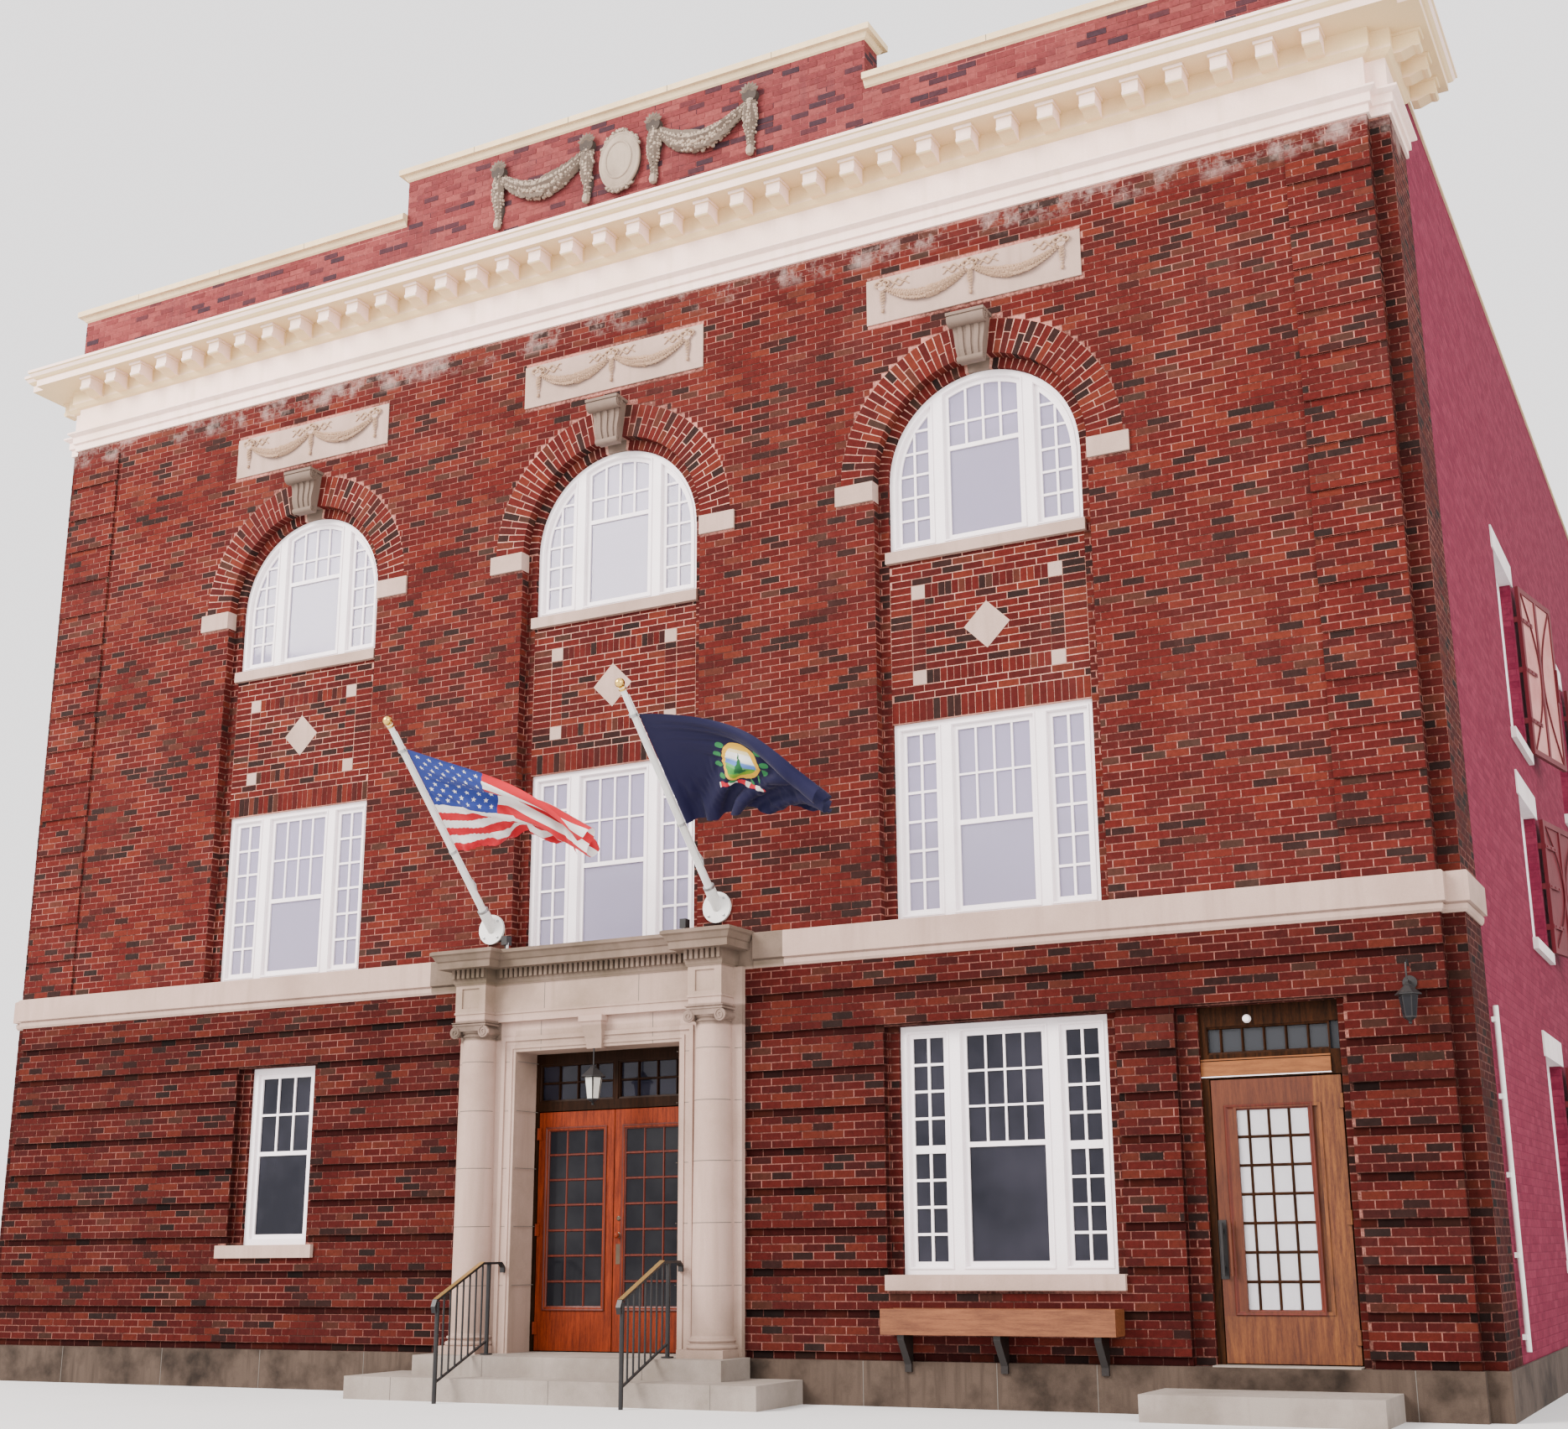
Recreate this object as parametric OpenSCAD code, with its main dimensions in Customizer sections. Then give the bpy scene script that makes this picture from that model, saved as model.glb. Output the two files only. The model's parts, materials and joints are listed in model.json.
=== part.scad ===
// Brick town hall with limestone trim, three arched bays and a columned entrance.
// Lengths are in millimetres. The origin is on the ground under the middle of the front face,
// +X runs to the right along the front, +Y runs into the building and +Z is up.

/* [Body] */
// Width of the brick front between the outer edges of its quoins
front_w = 15340; // [14400:10:16800]
// Width of the set-back strip beside each end of the front
strip_w = 170; // [120:10:260]
// How far the strips stand behind the front face
strip_back = 100; // [60:5:140]
// Depth from the front face to the outer face of the back wall
depth = 18000; // [15000:50:21000]
// Thickness of the front wall
front_t = 500; // [440:10:600]
// Thickness of the side and back walls
wall_t = 400; // [300:10:500]
// Depth of the brick return at each side before the painted wall starts
return_d = 870; // [700:10:1100]
// Height of one brick course with its joint
course = 68; // [60:0.5:76]

/* [Levels] */
// Height of the stone foundation
found_h = 360; // [300:5:420]
// How far the foundation stands out from the walls
found_out = 20; // [10:1:40]
// Level of the ground floor and the door thresholds
floor_z = 370; // [365:1:430]
// Height of the brick ground storey above the foundation
ground_h = 3370; // [3300:10:3500]
// Height of the stone belt course
belt_h = 320; // [260:5:380]
// Height from the belt course to the springing of the arches
spring_h = 4156; // [4000:2:4300]
// Height from the springing to the underside of the main cornice
arch_zone_h = 2464; // [2300:2:2700]
// Height of the main cornice from architrave to crown
cornice_h = 990; // [940:10:1040]
// Height of the side and back walls above the architrave's underside
eaves_rise = 830; // [700:10:900]
// Height of the parapet's brickwork beside the raised middle
parapet_h = 800; // [600:10:1000]
// How much higher the raised middle of the parapet is
raised_h = 560; // [400:10:700]
// Height of the copings
coping_h = 150; // [120:5:180]
// Thickness of the upper floors and the roof
slab_t = 300; // [200:10:400]

/* [Bays] */
// Distance between the centres of neighbouring bays
bay_pitch = 3975; // [3900:5:4050]
// Width of each bay's recess
bay_w = 2100; // [2000:10:2200]
// Depth at which the brick reveals step in
step_back = 110; // [90:5:120]
// Width of the step in the reveals
step_w = 102; // [80:1:120]
// Depth of the window frames behind the front face
frame_back = 150; // [130:5:180]
// Thickness of the brick arch rings
ring_t = 335; // [280:5:360]
// Height of the second-storey windows above the belt course
upper_win_h = 1806; // [1700:2:1900]
// Height of the spandrel between the two window rows, up to the sill
spandrel_h = 1534; // [1400:2:1600]
// Height of the stone sills
sill_h = 110; // [90:5:140]
// Width of the impost blocks
impost_w = 390; // [300:5:450]
// Height of the impost blocks
impost_h = 190; // [150:5:220]
// Width of a quoin
quoin_w = 720; // [600:5:800]
// How far the quoins stand out
quoin_out = 26; // [12:1:40]

/* [Ground storey openings] */
// Middle of the side door's leaf from the middle of the front
side_door_x = 6270; // [6230:5:6290]
// Distance of the opening's left edge from the middle of the side door
side_open_left = 750; // [700:5:790]
// Distance of the opening's right edge from the middle of the side door
side_open_right = 610; // [590:5:640]
// Middle of the left ground window from the middle of the front
small_win_x = -3940; // [-4050:5:-3850]
// Width of the left ground window's opening
small_win_w = 1050; // [950:5:1200]
// Underside level of the left ground window
small_win_z = 1360; // [1250:5:1450]
// Head level of both ground windows
win_head_z = 3130; // [3080:5:3180]
// Underside level of the right ground window
wide_win_z = 1050; // [980:5:1150]
// Height of the ground windows' sills
ground_sill_h = 125; // [100:5:150]
// Width of the entrance between its stone jambs
entry_w = 1812; // [1790:2:1860]
// Width of the entrance's stone jambs
jamb_w = 220; // [200:5:260]
// Height of the entrance's stone lintel
lintel_h = 168; // [150:2:200]
// Head level of the entrance opening
entry_head_z = 3110; // [3080:5:3140]

/* [Portico] */
// Distance of each column's axis from the middle
column_x = 1296; // [1280:2:1320]
// Distance of the columns' axes in front of the front face
column_out = 100; // [80:5:120]
// Radius of the column shafts at the foot
column_r = 186; // [170:1:195]
// Level of the top of the capitals
capital_top_z = 3395; // [3370:5:3420]
// Half width of the stone backing beside the entrance
backing_w = 1560; // [1530:5:1620]
// How far the stone backing stands out
backing_out = 60; // [50:5:75]
// Height of the portico's frieze
frieze_h = 355; // [320:5:380]
// How far the frieze stands out between the columns
frieze_out = 120; // [105:5:140]
// How far the frieze stands out over the columns
block_out = 280; // [265:5:300]
// Half width of the frieze blocks over the columns
block_half = 174; // [165:1:185]
// Height of the portico's cornice above its frieze
entry_cornice_h = 320; // [280:5:360]
// How far the portico's cornice stands out from its frieze
entry_cornice_out = 190; // [170:5:200]

/* [Doors] */
// Thickness of the door leaves
leaf_t = 45; // [40:1:60]
// Width of each main door leaf
main_leaf_w = 850; // [820:5:855]
// Height of the main door leaves
main_leaf_h = 2175; // [2100:5:2200]
// Width of the side door leaf
side_leaf_w = 1035; // [1000:5:1040]
// Height of the side door leaf
side_leaf_h = 2165; // [2100:5:2200]
// Gap kept round each leaf
leaf_gap = 10; // [9:1:12]
// Distance of the leaves' faces behind the front face
leaf_back = 290; // [280:5:310]
// Radius of the hinge knuckles
knuckle_r = 9; // [7:1:12]
// Height of a hinge knuckle
knuckle_h = 110; // [80:5:140]
// Height of a leaf's bottom rail
kick_h = 385; // [350:5:420]

/* [Outside fittings] */
// Half width of the entrance landing
landing_w = 1620; // [1580:5:1700]
// Depth of the entrance landing in front of the wall
landing_d = 520; // [480:10:560]
// Depth of the lower step in front of the landing
tread_d = 320; // [300:10:340]
// How far the lower step reaches past each end of the landing
step_side = 510; // [400:10:560]
// Height of the lower step
step_z = 198; // [170:2:210]
// Distance of each hand rail from the middle
rail_x = 960; // [950:5:970]
// Level of the hand rails above the landing
rail_h = 790; // [700:10:800]
// Level of the hand rails' lower ends above the ground
rail_low_z = 853; // [800:1:900]
// Distance of each flagpole from the middle
pole_x = 1270; // [1200:5:1400]
// Level at which the flagpoles leave the wall
pole_z = 4320; // [4290:5:4400]
// Length of the flagpoles
pole_len = 2350; // [2200:10:2450]
// Angle of the flagpoles above level
pole_angle = 45; // [42:1:48]
// Length of a flag's edge along its pole
flag_hoist = 1160; // [1100:10:1220]
// How far a flag reaches away from its pole
flag_fly = 1700; // [1500:10:1800]
// Distance of the lamp over the side door's wall from the end of the front
lamp_in = 270; // [200:5:330]
// Depth of the window box
box_d = 230; // [180:5:300]
// Height of the window box
box_h = 205; // [180:5:260]
// Level of the window box's underside
box_z = 580; // [560:5:640]

/* [Side and back walls] */
// Number of windows in each row of a side wall
side_win_n = 3; // [2:1:3]
// Distance of the first side window's centre behind the front face
side_win_y = 5000; // [4600:10:5300]
// Distance of the last side window's centre from the back face
side_end = 3900; // [3500:10:4200]
// Number of windows in each row of the back wall
back_win_n = 4; // [3:1:4]
// Distance of the outer back windows' centres from the sides
back_end = 2590; // [2300:10:2800]
// Width of the side and back windows
side_win_w = 1200; // [1000:10:1300]
// Height of the ground and top rows of side and back windows
side_win_h = 1880; // [1700:10:1950]
// Height of the middle row of side and back windows
mid_win_h = 1420; // [1200:10:1600]
// Height of the side windows' stone heads
side_head_h = 240; // [180:10:280]
// Height of the side windows' sills
side_sill_h = 110; // [80:5:140]
// Width of a shutter
shutter_w = 1070; // [1000:10:1090]
// Angle at which the shutters stand open off the wall
shutter_angle = 11; // [8:1:14]

/* [Hidden] */

front_half = front_w / 2;
body_half = front_half + strip_w;
inner_half = body_half - wall_t;
belt_z = found_h + ground_h;
upper_z = belt_z + belt_h;
spring_z = upper_z + spring_h;
cornice_z = spring_z + arch_zone_h;
crown_z = cornice_z + cornice_h;
eaves_z = cornice_z + eaves_rise;
second_floor_z = belt_z - 20;
third_floor_z = upper_z + upper_win_h + 1150;
floor_edge = 150;
band_pitch = 5 * course;
quoin_pitch = 6 * course;
groove_d = 30;
arch_r = bay_w / 2;
frame_r = arch_r - step_w;
frame_d = 110;
glass_t = 8;
bays = [-bay_pitch, 0, bay_pitch];
sill_top_z = upper_z + upper_win_h + spandrel_h + sill_h;
wide_win_x = bay_pitch;
side_door_w = side_open_left + side_open_right;
side_door_mid = side_door_x + (side_open_right - side_open_left) / 2;
entry_rough_w = entry_w + 2 * jamb_w;
lintel_top_z = entry_head_z + lintel_h;
portico_half = column_x + block_half;
frieze_top_z = capital_top_z + frieze_h;
parapet_y = strip_back;
parapet_t = 300;
raised_half = 2865;
side_back = frame_back;
side_win_pitch = (depth - side_end - side_win_y) / (side_win_n - 1);
back_win_pitch = 2 * (body_half - back_end) / (back_win_n - 1);
mid_row_z = upper_z + 60;
top_row_z = third_floor_z - 786;
side_rows = [[1090, side_win_h], [mid_row_z, mid_win_h], [top_row_z, side_win_h]];
brick = [0.42, 0.16, 0.14];
stone = [0.72, 0.69, 0.63];
cream = [0.88, 0.86, 0.78];
paint = [0.66, 0.36, 0.40];
iron = [0.1, 0.1, 0.1];
wood = [0.6, 0.33, 0.14];

// Stacks rings of points into one closed solid. Every ring has the same even number of points, and
// point j faces point n - 1 - j across the ring, which closes the two ends. A warped skin is split
// into triangles.
module stack(rings, warped = false) {
    n = len(rings[0]);
    m = len(rings);
    sides = [for (i = [0:m - 2]) for (j = [0:n - 1])
        [i * n + j, (i + 1) * n + j, (i + 1) * n + (j + 1) % n, i * n + (j + 1) % n]];
    polyhedron(
        points = [for (r = rings) each r],
        faces = concat(
            [for (j = [0:n / 2 - 2]) [j, j + 1, n - 2 - j, n - 1 - j]],
            warped ? [for (q = sides) each [[q[0], q[1], q[2]], [q[0], q[2], q[3]]]] : sides,
            [for (j = [0:n / 2 - 2]) [for (k = [n - 1 - j, n - 2 - j, j + 1, j]) (m - 1) * n + k]]),
        convexity = 6);
}

// Half-round bar of varying radius along a path of [x, z] points, with its flat back on y = 0
module bar_along(path, radii, sides = 8) {
    last = len(path) - 1;
    stack([for (i = [0:last])
        let (a = path[max(i - 1, 0)], b = path[min(i + 1, last)], d = b - a, t = d / norm(d))
        [for (k = [0:sides - 1]) let (w = 180 + 180 * k / (sides - 1))
            [path[i][0] + radii[i] * cos(w) * t[1], radii[i] * sin(w),
                path[i][1] - radii[i] * cos(w) * t[0]]]]);
}

// Level ring round a rectangle from x0 to x1 and y0 to y1
function level_ring(x0, x1, y0, y1, z) = [[x0, y1, z], [x0, y0, z], [x1, y0, z], [x1, y1, z]];

// Plan of a moulding that stands out by p along the front, its set-back ends and its returns
function front_plan(p) = concat(
    [[-body_half - p, return_d + p], [-body_half - p, strip_back - p],
        [-front_half - p, strip_back - p], [-front_half - p, -p]],
    [[front_half + p, -p], [front_half + p, strip_back - p],
        [body_half + p, strip_back - p], [body_half + p, return_d + p]],
    [[body_half, return_d + p], [body_half, strip_back], [front_half, strip_back], [front_half, 0],
        [-front_half, 0], [-front_half, strip_back], [-body_half, strip_back],
        [-body_half, return_d + p]]);

// Moulding round the front: profile is a list of [projection, level]
module front_moulding(profile) {
    stack([for (q = profile) [for (c = front_plan(q[0])) [c[0], c[1], q[1]]]]);
}

// Moulding round the portico, from its back plane: it breaks forward over each column
module portico_moulding(profile, back) {
    stack([for (q = profile) level_ring(-column_x, column_x, -frieze_out - q[0], back, q[1])]);
    for (s = [-1, 1])
        stack([for (q = profile) level_ring(s * column_x - block_half - q[0],
            s * column_x + block_half + q[0], -block_out - q[0], back, q[1])]);
}

// A block between two corners
module block(a, b) {
    translate(a) cube(b - a);
}

// Drawing in the plane of the front, given thickness from y0 to y1
module upright(y0, y1) {
    translate([0, y1, 0]) rotate([90, 0, 0]) linear_extrude(y1 - y0) children();
}

// Rectangle between two corners
module rect(x0, x1, z0, z1) {
    translate([x0, z0]) square([x1 - x0, z1 - z0]);
}

// Outline of the front wall in plan: its face stands proud of the corner strips
module front_outline(x0, x1) {
    a = max(x0, -front_half);
    b = min(x1, front_half);
    ia = max(x0, -inner_half);
    ib = min(x1, inner_half);
    polygon([[a, 0], [b, 0], [b, strip_back], [ib, strip_back], [ib, front_t], [ia, front_t],
        [ia, strip_back], [a, strip_back]]);
}

// A stretch of front wall with its face in the front plane
module front_stretch(x0, x1, z0, z1) {
    translate([0, 0, z0]) linear_extrude(z1 - z0) front_outline(x0, x1);
}

// Opening of width w whose brick reveal steps in behind the face
module stepped_opening(x, w, z0, z1) {
    block([x - w / 2, -1, z0], [x + w / 2, step_back, z1]);
    block([x - w / 2 + step_w, step_back - 1, z0], [x + w / 2 - step_w, front_t + 1, z1]);
}

// Recessed courses that band the ground storey
module bands(x0, x1) {
    for (z = [found_h:band_pitch:belt_z - course])
        block([x0 - 10, -10, z], [x1 + 10, groove_d, z + course]);
}

module foundation() {
    color(stone) difference() {
        block([-body_half - found_out, -found_out, 0],
            [body_half + found_out, depth + found_out, found_h]);
        block([-inner_half, front_t, found_h - floor_edge], [inner_half, depth - wall_t, found_h + 1]);
        for (s = [-1, 1])
            block([s * (body_half + found_out) - strip_w, -found_out - 1, -1],
                [s * (body_half + found_out) + strip_w, strip_back - found_out, found_h + 1]);
    }
}

module floors() {
    color([0.55, 0.5, 0.42]) {
        block([-inner_half, front_t, found_h - floor_edge], [inner_half, depth - wall_t, floor_z]);
        for (z = [second_floor_z, third_floor_z])
            block([-inner_half, front_t, z - slab_t], [inner_half, depth - wall_t, z]);
    }
}

module roof() {
    color([0.3, 0.3, 0.3])
        block([-inner_half, front_t, eaves_z - 2 * slab_t], [inner_half, depth - wall_t, eaves_z - slab_t]);
}

// Stone sill of a ground window, and the seat cut for it
module ground_sill(x, half, z, out) {
    block([x - half, -out, z - ground_sill_h], [x + half, frame_back, z]);
}

module small_sill(out) {
    ground_sill(small_win_x, small_win_w / 2 + 100, small_win_z, out);
}

module wide_sill(out) {
    ground_sill(wide_win_x, arch_r, wide_win_z, out);
}

module front_wall_left() {
    color(brick) difference() {
        front_stretch(-front_half, -entry_rough_w / 2, found_h, belt_z);
        bands(-front_half, -entry_rough_w / 2);
        stepped_opening(small_win_x, small_win_w, small_win_z, win_head_z);
        small_sill(1);
    }
}

module front_wall_right() {
    x0 = side_door_mid - side_door_w / 2;
    x1 = x0 + side_door_w;
    leaf_half = side_leaf_w / 2;
    color(brick) difference() {
        union() {
            front_stretch(entry_rough_w / 2, x0, found_h, belt_z);
            front_stretch(x1, front_half, found_h, belt_z);
            block([x0, step_back, found_h], [side_door_x - leaf_half - 70, front_t, win_head_z]);
            block([side_door_x + leaf_half + 22, step_back, found_h],
                [x1, front_t, win_head_z]);
        }
        bands(entry_rough_w / 2, x0);
        bands(x1, front_half);
        stepped_opening(wide_win_x, bay_w, wide_win_z, win_head_z);
        wide_sill(1);
        block([x1 - 50, frame_back, found_h - 1],
            [side_door_x + leaf_half + 70, frame_back + 120, win_head_z + 1]);
        block([side_door_x, frame_back, found_h - 1],
            [side_door_x + leaf_half + 70, frame_back + 120, win_head_z + 1]);
    }
}

module wall_over_doors() {
    x0 = side_door_mid - side_door_w / 2;
    x1 = x0 + side_door_w;
    color(brick) {
        front_stretch(-entry_rough_w / 2, entry_rough_w / 2, lintel_top_z, belt_z);
        difference() {
            front_stretch(x0, x1, win_head_z, belt_z);
            bands(x0, x1);
        }
    }
}

module front_piers() {
    color(brick) difference() {
        front_stretch(-front_half, front_half, upper_z, spring_z);
        for (x = bays) stepped_opening(x, bay_w, upper_z - 1, spring_z + 1);
        impost_blocks(1);
    }
}

// Impost blocks beside each bay, standing out by a given length
module impost_blocks(out) {
    for (x = bays, s = [-1, 1])
        block([x + s * (arch_r + impost_w / 2) - impost_w / 2, -out, spring_z - impost_h],
            [x + s * (arch_r + impost_w / 2) + impost_w / 2, step_back, spring_z]);
}

module front_wall_top() {
    color(brick) difference() {
        front_stretch(-front_half, front_half, spring_z, crown_z);
        for (x = bays) translate([x, -1, spring_z]) rotate([-90, 0, 0])
            cylinder(h = front_t + 2, r = arch_r + ring_t, $fn = 96);
        plaque_blocks(1);
    }
}

module spandrel_panels() {
    color(brick) difference() {
        for (x = bays) block([x - frame_r, step_back, upper_z + upper_win_h],
            [x + frame_r, front_t, sill_top_z - sill_h]);
        spandrel_blocks(1);
    }
}

key_w = 340;
key_h = 495;
key_angle = 6.3;
key_joint = 0.06;

// Part of an arch between two angles: the face ring and, behind its step, the recessed ring
module arch_part(a0, a1) {
    rotate([90, 0, 0]) rotate([0, 0, a0]) rotate_extrude(angle = a1 - a0, $fn = 96)
        polygon([[arch_r, 0], [arch_r, -step_back], [frame_r, -step_back], [frame_r, -front_t],
            [arch_r + ring_t, -front_t], [arch_r + ring_t, 0]]);
}

module arch_rings() {
    color(brick) for (x = bays) translate([x, 0, spring_z]) {
        arch_part(0, 90 - key_angle - key_joint);
        arch_part(90 + key_angle + key_joint, 180);
    }
}

// How far a keystone's console stands out at the share t of its height
function console_out(t) = 70 + 60 * t + 35 * t * t + 22 * sin(360 * t);

// Console keystone: a body that tapers downwards and swells in an S, with a roll at its head, a
// smaller roll at its foot and three upright ribs
module keystone() {
    low = frame_r + 20;
    steps = 12;
    function half(t) = key_w / 2 * (0.7 + 0.3 * t);
    arch_part(90 - key_angle, 90 + key_angle);
    translate([0, 0, low]) {
        stack([for (i = [0:steps]) let (t = i / steps)
            level_ring(-half(t), half(t), -console_out(t), 0, t * (key_h - 70))]);
        for (x = [-90, 0, 90])
            stack([for (i = [1:steps - 1]) let (t = i / steps, m = x * half(t) / half(1))
                level_ring(m - 22, m + 22, -console_out(t) - 14, -console_out(t) + 20,
                    t * (key_h - 70))]);
        translate([-half(1) - 12, -console_out(1) + 20, key_h - 105]) rotate([0, 90, 0])
            cylinder(h = 2 * half(1) + 24, r = 62, $fn = 32);
        translate([-half(0) - 10, -console_out(0) - 4, 24]) rotate([0, 90, 0])
            cylinder(h = 2 * half(0) + 20, r = 34, $fn = 32);
        block([-half(1) - 20, -console_out(1) - 45, key_h - 70], [half(1) + 20, 0, key_h - 40]);
    }
}

module arch_stones() {
    color(stone) {
        impost_blocks(25);
        for (x = bays) translate([x, 0, spring_z]) keystone();
    }
}

module corner_piers() {
    color(brick) for (s = [-1, 1]) {
        x0 = s * (body_half - wall_t / 2) - wall_t / 2;
        block([x0, strip_back, found_h], [x0 + wall_t, return_d, belt_z]);
        block([x0, strip_back, upper_z], [x0 + wall_t, return_d, cornice_z]);
        block([x0, strip_back, cornice_z], [x0 + wall_t, front_t, crown_z]);
    }
}

// Places its children at each side window, with x into the building and -y outwards on both sides
module at_side_windows() {
    for (s = [-1, 1], i = [0:side_win_n - 1], row = side_rows)
        translate([s * body_half, side_win_y + i * side_win_pitch, row[0]])
            mirror([s < 0 ? 1 : 0, 0, 0]) rotate([0, 0, 90]) {
                $h = row[1];
                children();
            }
}

// Places its children at each back window, turned to face outwards
module at_back_windows() {
    for (i = [0:back_win_n - 1], row = side_rows)
        translate([-body_half + back_end + i * back_win_pitch, depth, row[0]]) rotate([0, 0, 180]) {
            $h = row[1];
            children();
        }
}

head_ear = 120;
sill_ear = 60;
stone_in = 110;

// Stone head and sill of a side or back window, standing out by out and sill_out
module side_stones(out, sill_out) {
    block([-side_win_w / 2 - head_ear, -out, $h], [side_win_w / 2 + head_ear, stone_in, $h + side_head_h]);
    block([-side_win_w / 2 - sill_ear, -sill_out, -side_sill_h], [side_win_w / 2 + sill_ear, stone_in, 0]);
}

// Hole through a wall for a window of height $h, its stone head and its sill
module plain_opening() {
    block([-side_win_w / 2, -1, 0], [side_win_w / 2, wall_t + 1, $h]);
    side_stones(1, 1);
}

module side_trim() {
    color("white") {
        at_side_windows() side_stones(15, 50);
        at_back_windows() side_stones(15, 50);
    }
}

module side_walls() {
    color(paint) difference() {
        for (s = [-1, 1]) {
            x0 = s * (body_half - wall_t / 2) - wall_t / 2;
            union() {
                block([x0, return_d, found_h], [x0 + wall_t, depth - wall_t, eaves_z]);
                block([x0, front_t, cornice_z], [x0 + wall_t, return_d + 1, eaves_z]);
            }
        }
        at_side_windows() plain_opening();
    }
}

module back_wall() {
    color(paint) difference() {
        block([-body_half, depth - wall_t, found_h], [body_half, depth, eaves_z]);
        at_back_windows() plain_opening();
    }
}

belt_profile = [[12, belt_z], [26, belt_z + 22], [30, belt_z + 62], [20, belt_z + 66],
    [20, belt_z + 74], [52, belt_z + 80], [52, upper_z - 12], [40, upper_z]];

module belt_course() {
    x1 = portico_half + entry_cornice_out;
    color(stone) difference() {
        union() {
            front_moulding(belt_profile);
            front_stretch(-front_half, front_half, belt_z, upper_z);
            for (s = [-1, 1])
                block([s * (body_half - wall_t / 2) - wall_t / 2, strip_back, belt_z],
                    [s * (body_half - wall_t / 2) + wall_t / 2, return_d, upper_z]);
        }
        block([-x1, -400, belt_z - 1], [x1, 0, upper_z + 1]);
    }
}

module quoins() {
    color(brick) for (s = [-1, 1], z = [upper_z:quoin_pitch:cornice_z - quoin_pitch])
        block([s * (front_half - quoin_w / 2) - quoin_w / 2, -quoin_out, z],
            [s * (front_half - quoin_w / 2) + quoin_w / 2, 0, z + quoin_pitch - course]);
}

module window_sills() {
    color(stone) {
        for (x = bays) union() {
            block([x - frame_r, step_back, sill_top_z - sill_h], [x + frame_r, front_t, sill_top_z]);
            block([x - frame_r - 25, step_back - 45, sill_top_z - sill_h],
                [x + frame_r + 25, step_back, sill_top_z]);
        }
        small_sill(45);
        wide_sill(45);
    }
}

square_w = 133;
square_x = 665;
diamond_r = 222;
stone_low_z = upper_z + upper_win_h + 6 * course;
stone_rise = 12 * course;
inlay_d = 100;

// Four squares and a diamond let into each spandrel, standing out by a given length
module spandrel_blocks(out) {
    for (x = bays) {
        for (s = [-1, 1], z = [stone_low_z, stone_low_z + stone_rise])
            block([x + s * square_x - square_w / 2, step_back - out, z - square_w / 2],
                [x + s * square_x + square_w / 2, step_back + inlay_d, z + square_w / 2]);
        translate([x, 0, stone_low_z + stone_rise / 2]) upright(step_back - out, step_back + inlay_d)
            polygon([[diamond_r, 0], [0, diamond_r], [-diamond_r, 0], [0, -diamond_r]]);
    }
}

module spandrel_stones() {
    color(stone) spandrel_blocks(5);
}

plaque_w = bay_w + 57;
plaque_h = 464;
plaque_z = cornice_z - 870;
plaque_in = 120;
plaque_out = 15;

module plaque_blocks(out) {
    for (x = bays) block([x - plaque_w / 2, -out, plaque_z], [x + plaque_w / 2, plaque_in, plaque_z + plaque_h]);
}

// Garland that hangs between two points at x = 0 and x = w, thickest in its middle
module swag(w, drop, thick) {
    steps = 12;
    bar_along([for (i = [0:steps]) let (t = i / steps) [w * t, -4 * drop * t * (1 - t)]],
        [for (i = [0:steps]) let (t = i / steps) thick * (0.35 + 0.65 * sin(180 * t))]);
}

// Ribbon or spray that hangs down from a bow
module tail(length, thick) {
    bar_along([[0, 0], [thick * 0.4, -length * 0.4], [-thick * 0.4, -length * 0.75], [0, -length]],
        [thick * 0.5, thick, thick * 0.8, thick * 0.3]);
}

module plaques() {
    w = plaque_w * 0.42;
    top = plaque_z + plaque_h * 0.78;
    color(stone) {
        plaque_blocks(plaque_out);
        for (x = bays) translate([x, -plaque_out + 1, top]) {
            for (s = [-1, 1]) mirror([s < 0 ? 1 : 0, 0, 0]) {
                swag(w, plaque_h * 0.36, 34);
                translate([w, 0, 0]) tail(plaque_h * 0.55, 20);
            }
            tail(plaque_h * 0.6, 22);
            for (t = [-w, 0, w]) translate([t, 0, 0]) rotate([90, 0, 0]) cylinder(h = 26, r = 42, $fn = 32);
        }
    }
}

corona_z = cornice_z + 787;
bed_z = cornice_z + 600;
corona_out = 380;
cornice_profile = [[25, cornice_z], [25, cornice_z + 85], [50, cornice_z + 90],
    [50, cornice_z + 175], [70, cornice_z + 185], [100, cornice_z + 205], [100, cornice_z + 225],
    [12, cornice_z + 235], [12, cornice_z + 545], [45, cornice_z + 560], [80, bed_z],
    [80, corona_z - 2], [corona_out, corona_z], [corona_out, corona_z + 83], [400, corona_z + 91],
    [425, corona_z + 113], [445, corona_z + 148], [460, corona_z + 158], [460, crown_z - 12],
    [440, crown_z]];

module cornice() {
    color(cream) front_moulding(cornice_profile);
}

modillion_pitch = 406;
modillion_w = 150;
modillion_h = corona_z - 2 - bed_z;
modillion_out = corona_out - 70;

// One bracket under the corona, with a scrolled front and a small moulding round its head
module modillion() {
    out = modillion_out;
    h = modillion_h;
    rotate([90, 0, 90]) {
        translate([0, 0, -modillion_w / 2]) linear_extrude(modillion_w)
            polygon([[-80, 0], [-140, -6], [-200, 14], [-245, 30], [-270, 22], [-295, 22], [-out + 4, 34],
                [-out, 50], [-out + 4, 66], [-out + 14, 74], [-out + 14, h], [-80, h]]);
        translate([0, 0, -modillion_w / 2 - 14]) linear_extrude(modillion_w + 28)
            polygon([[-80, h - 26], [-out - 6, h - 26], [-out - 14, h - 10], [-out - 14, h], [-80, h]]);
    }
}

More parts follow.
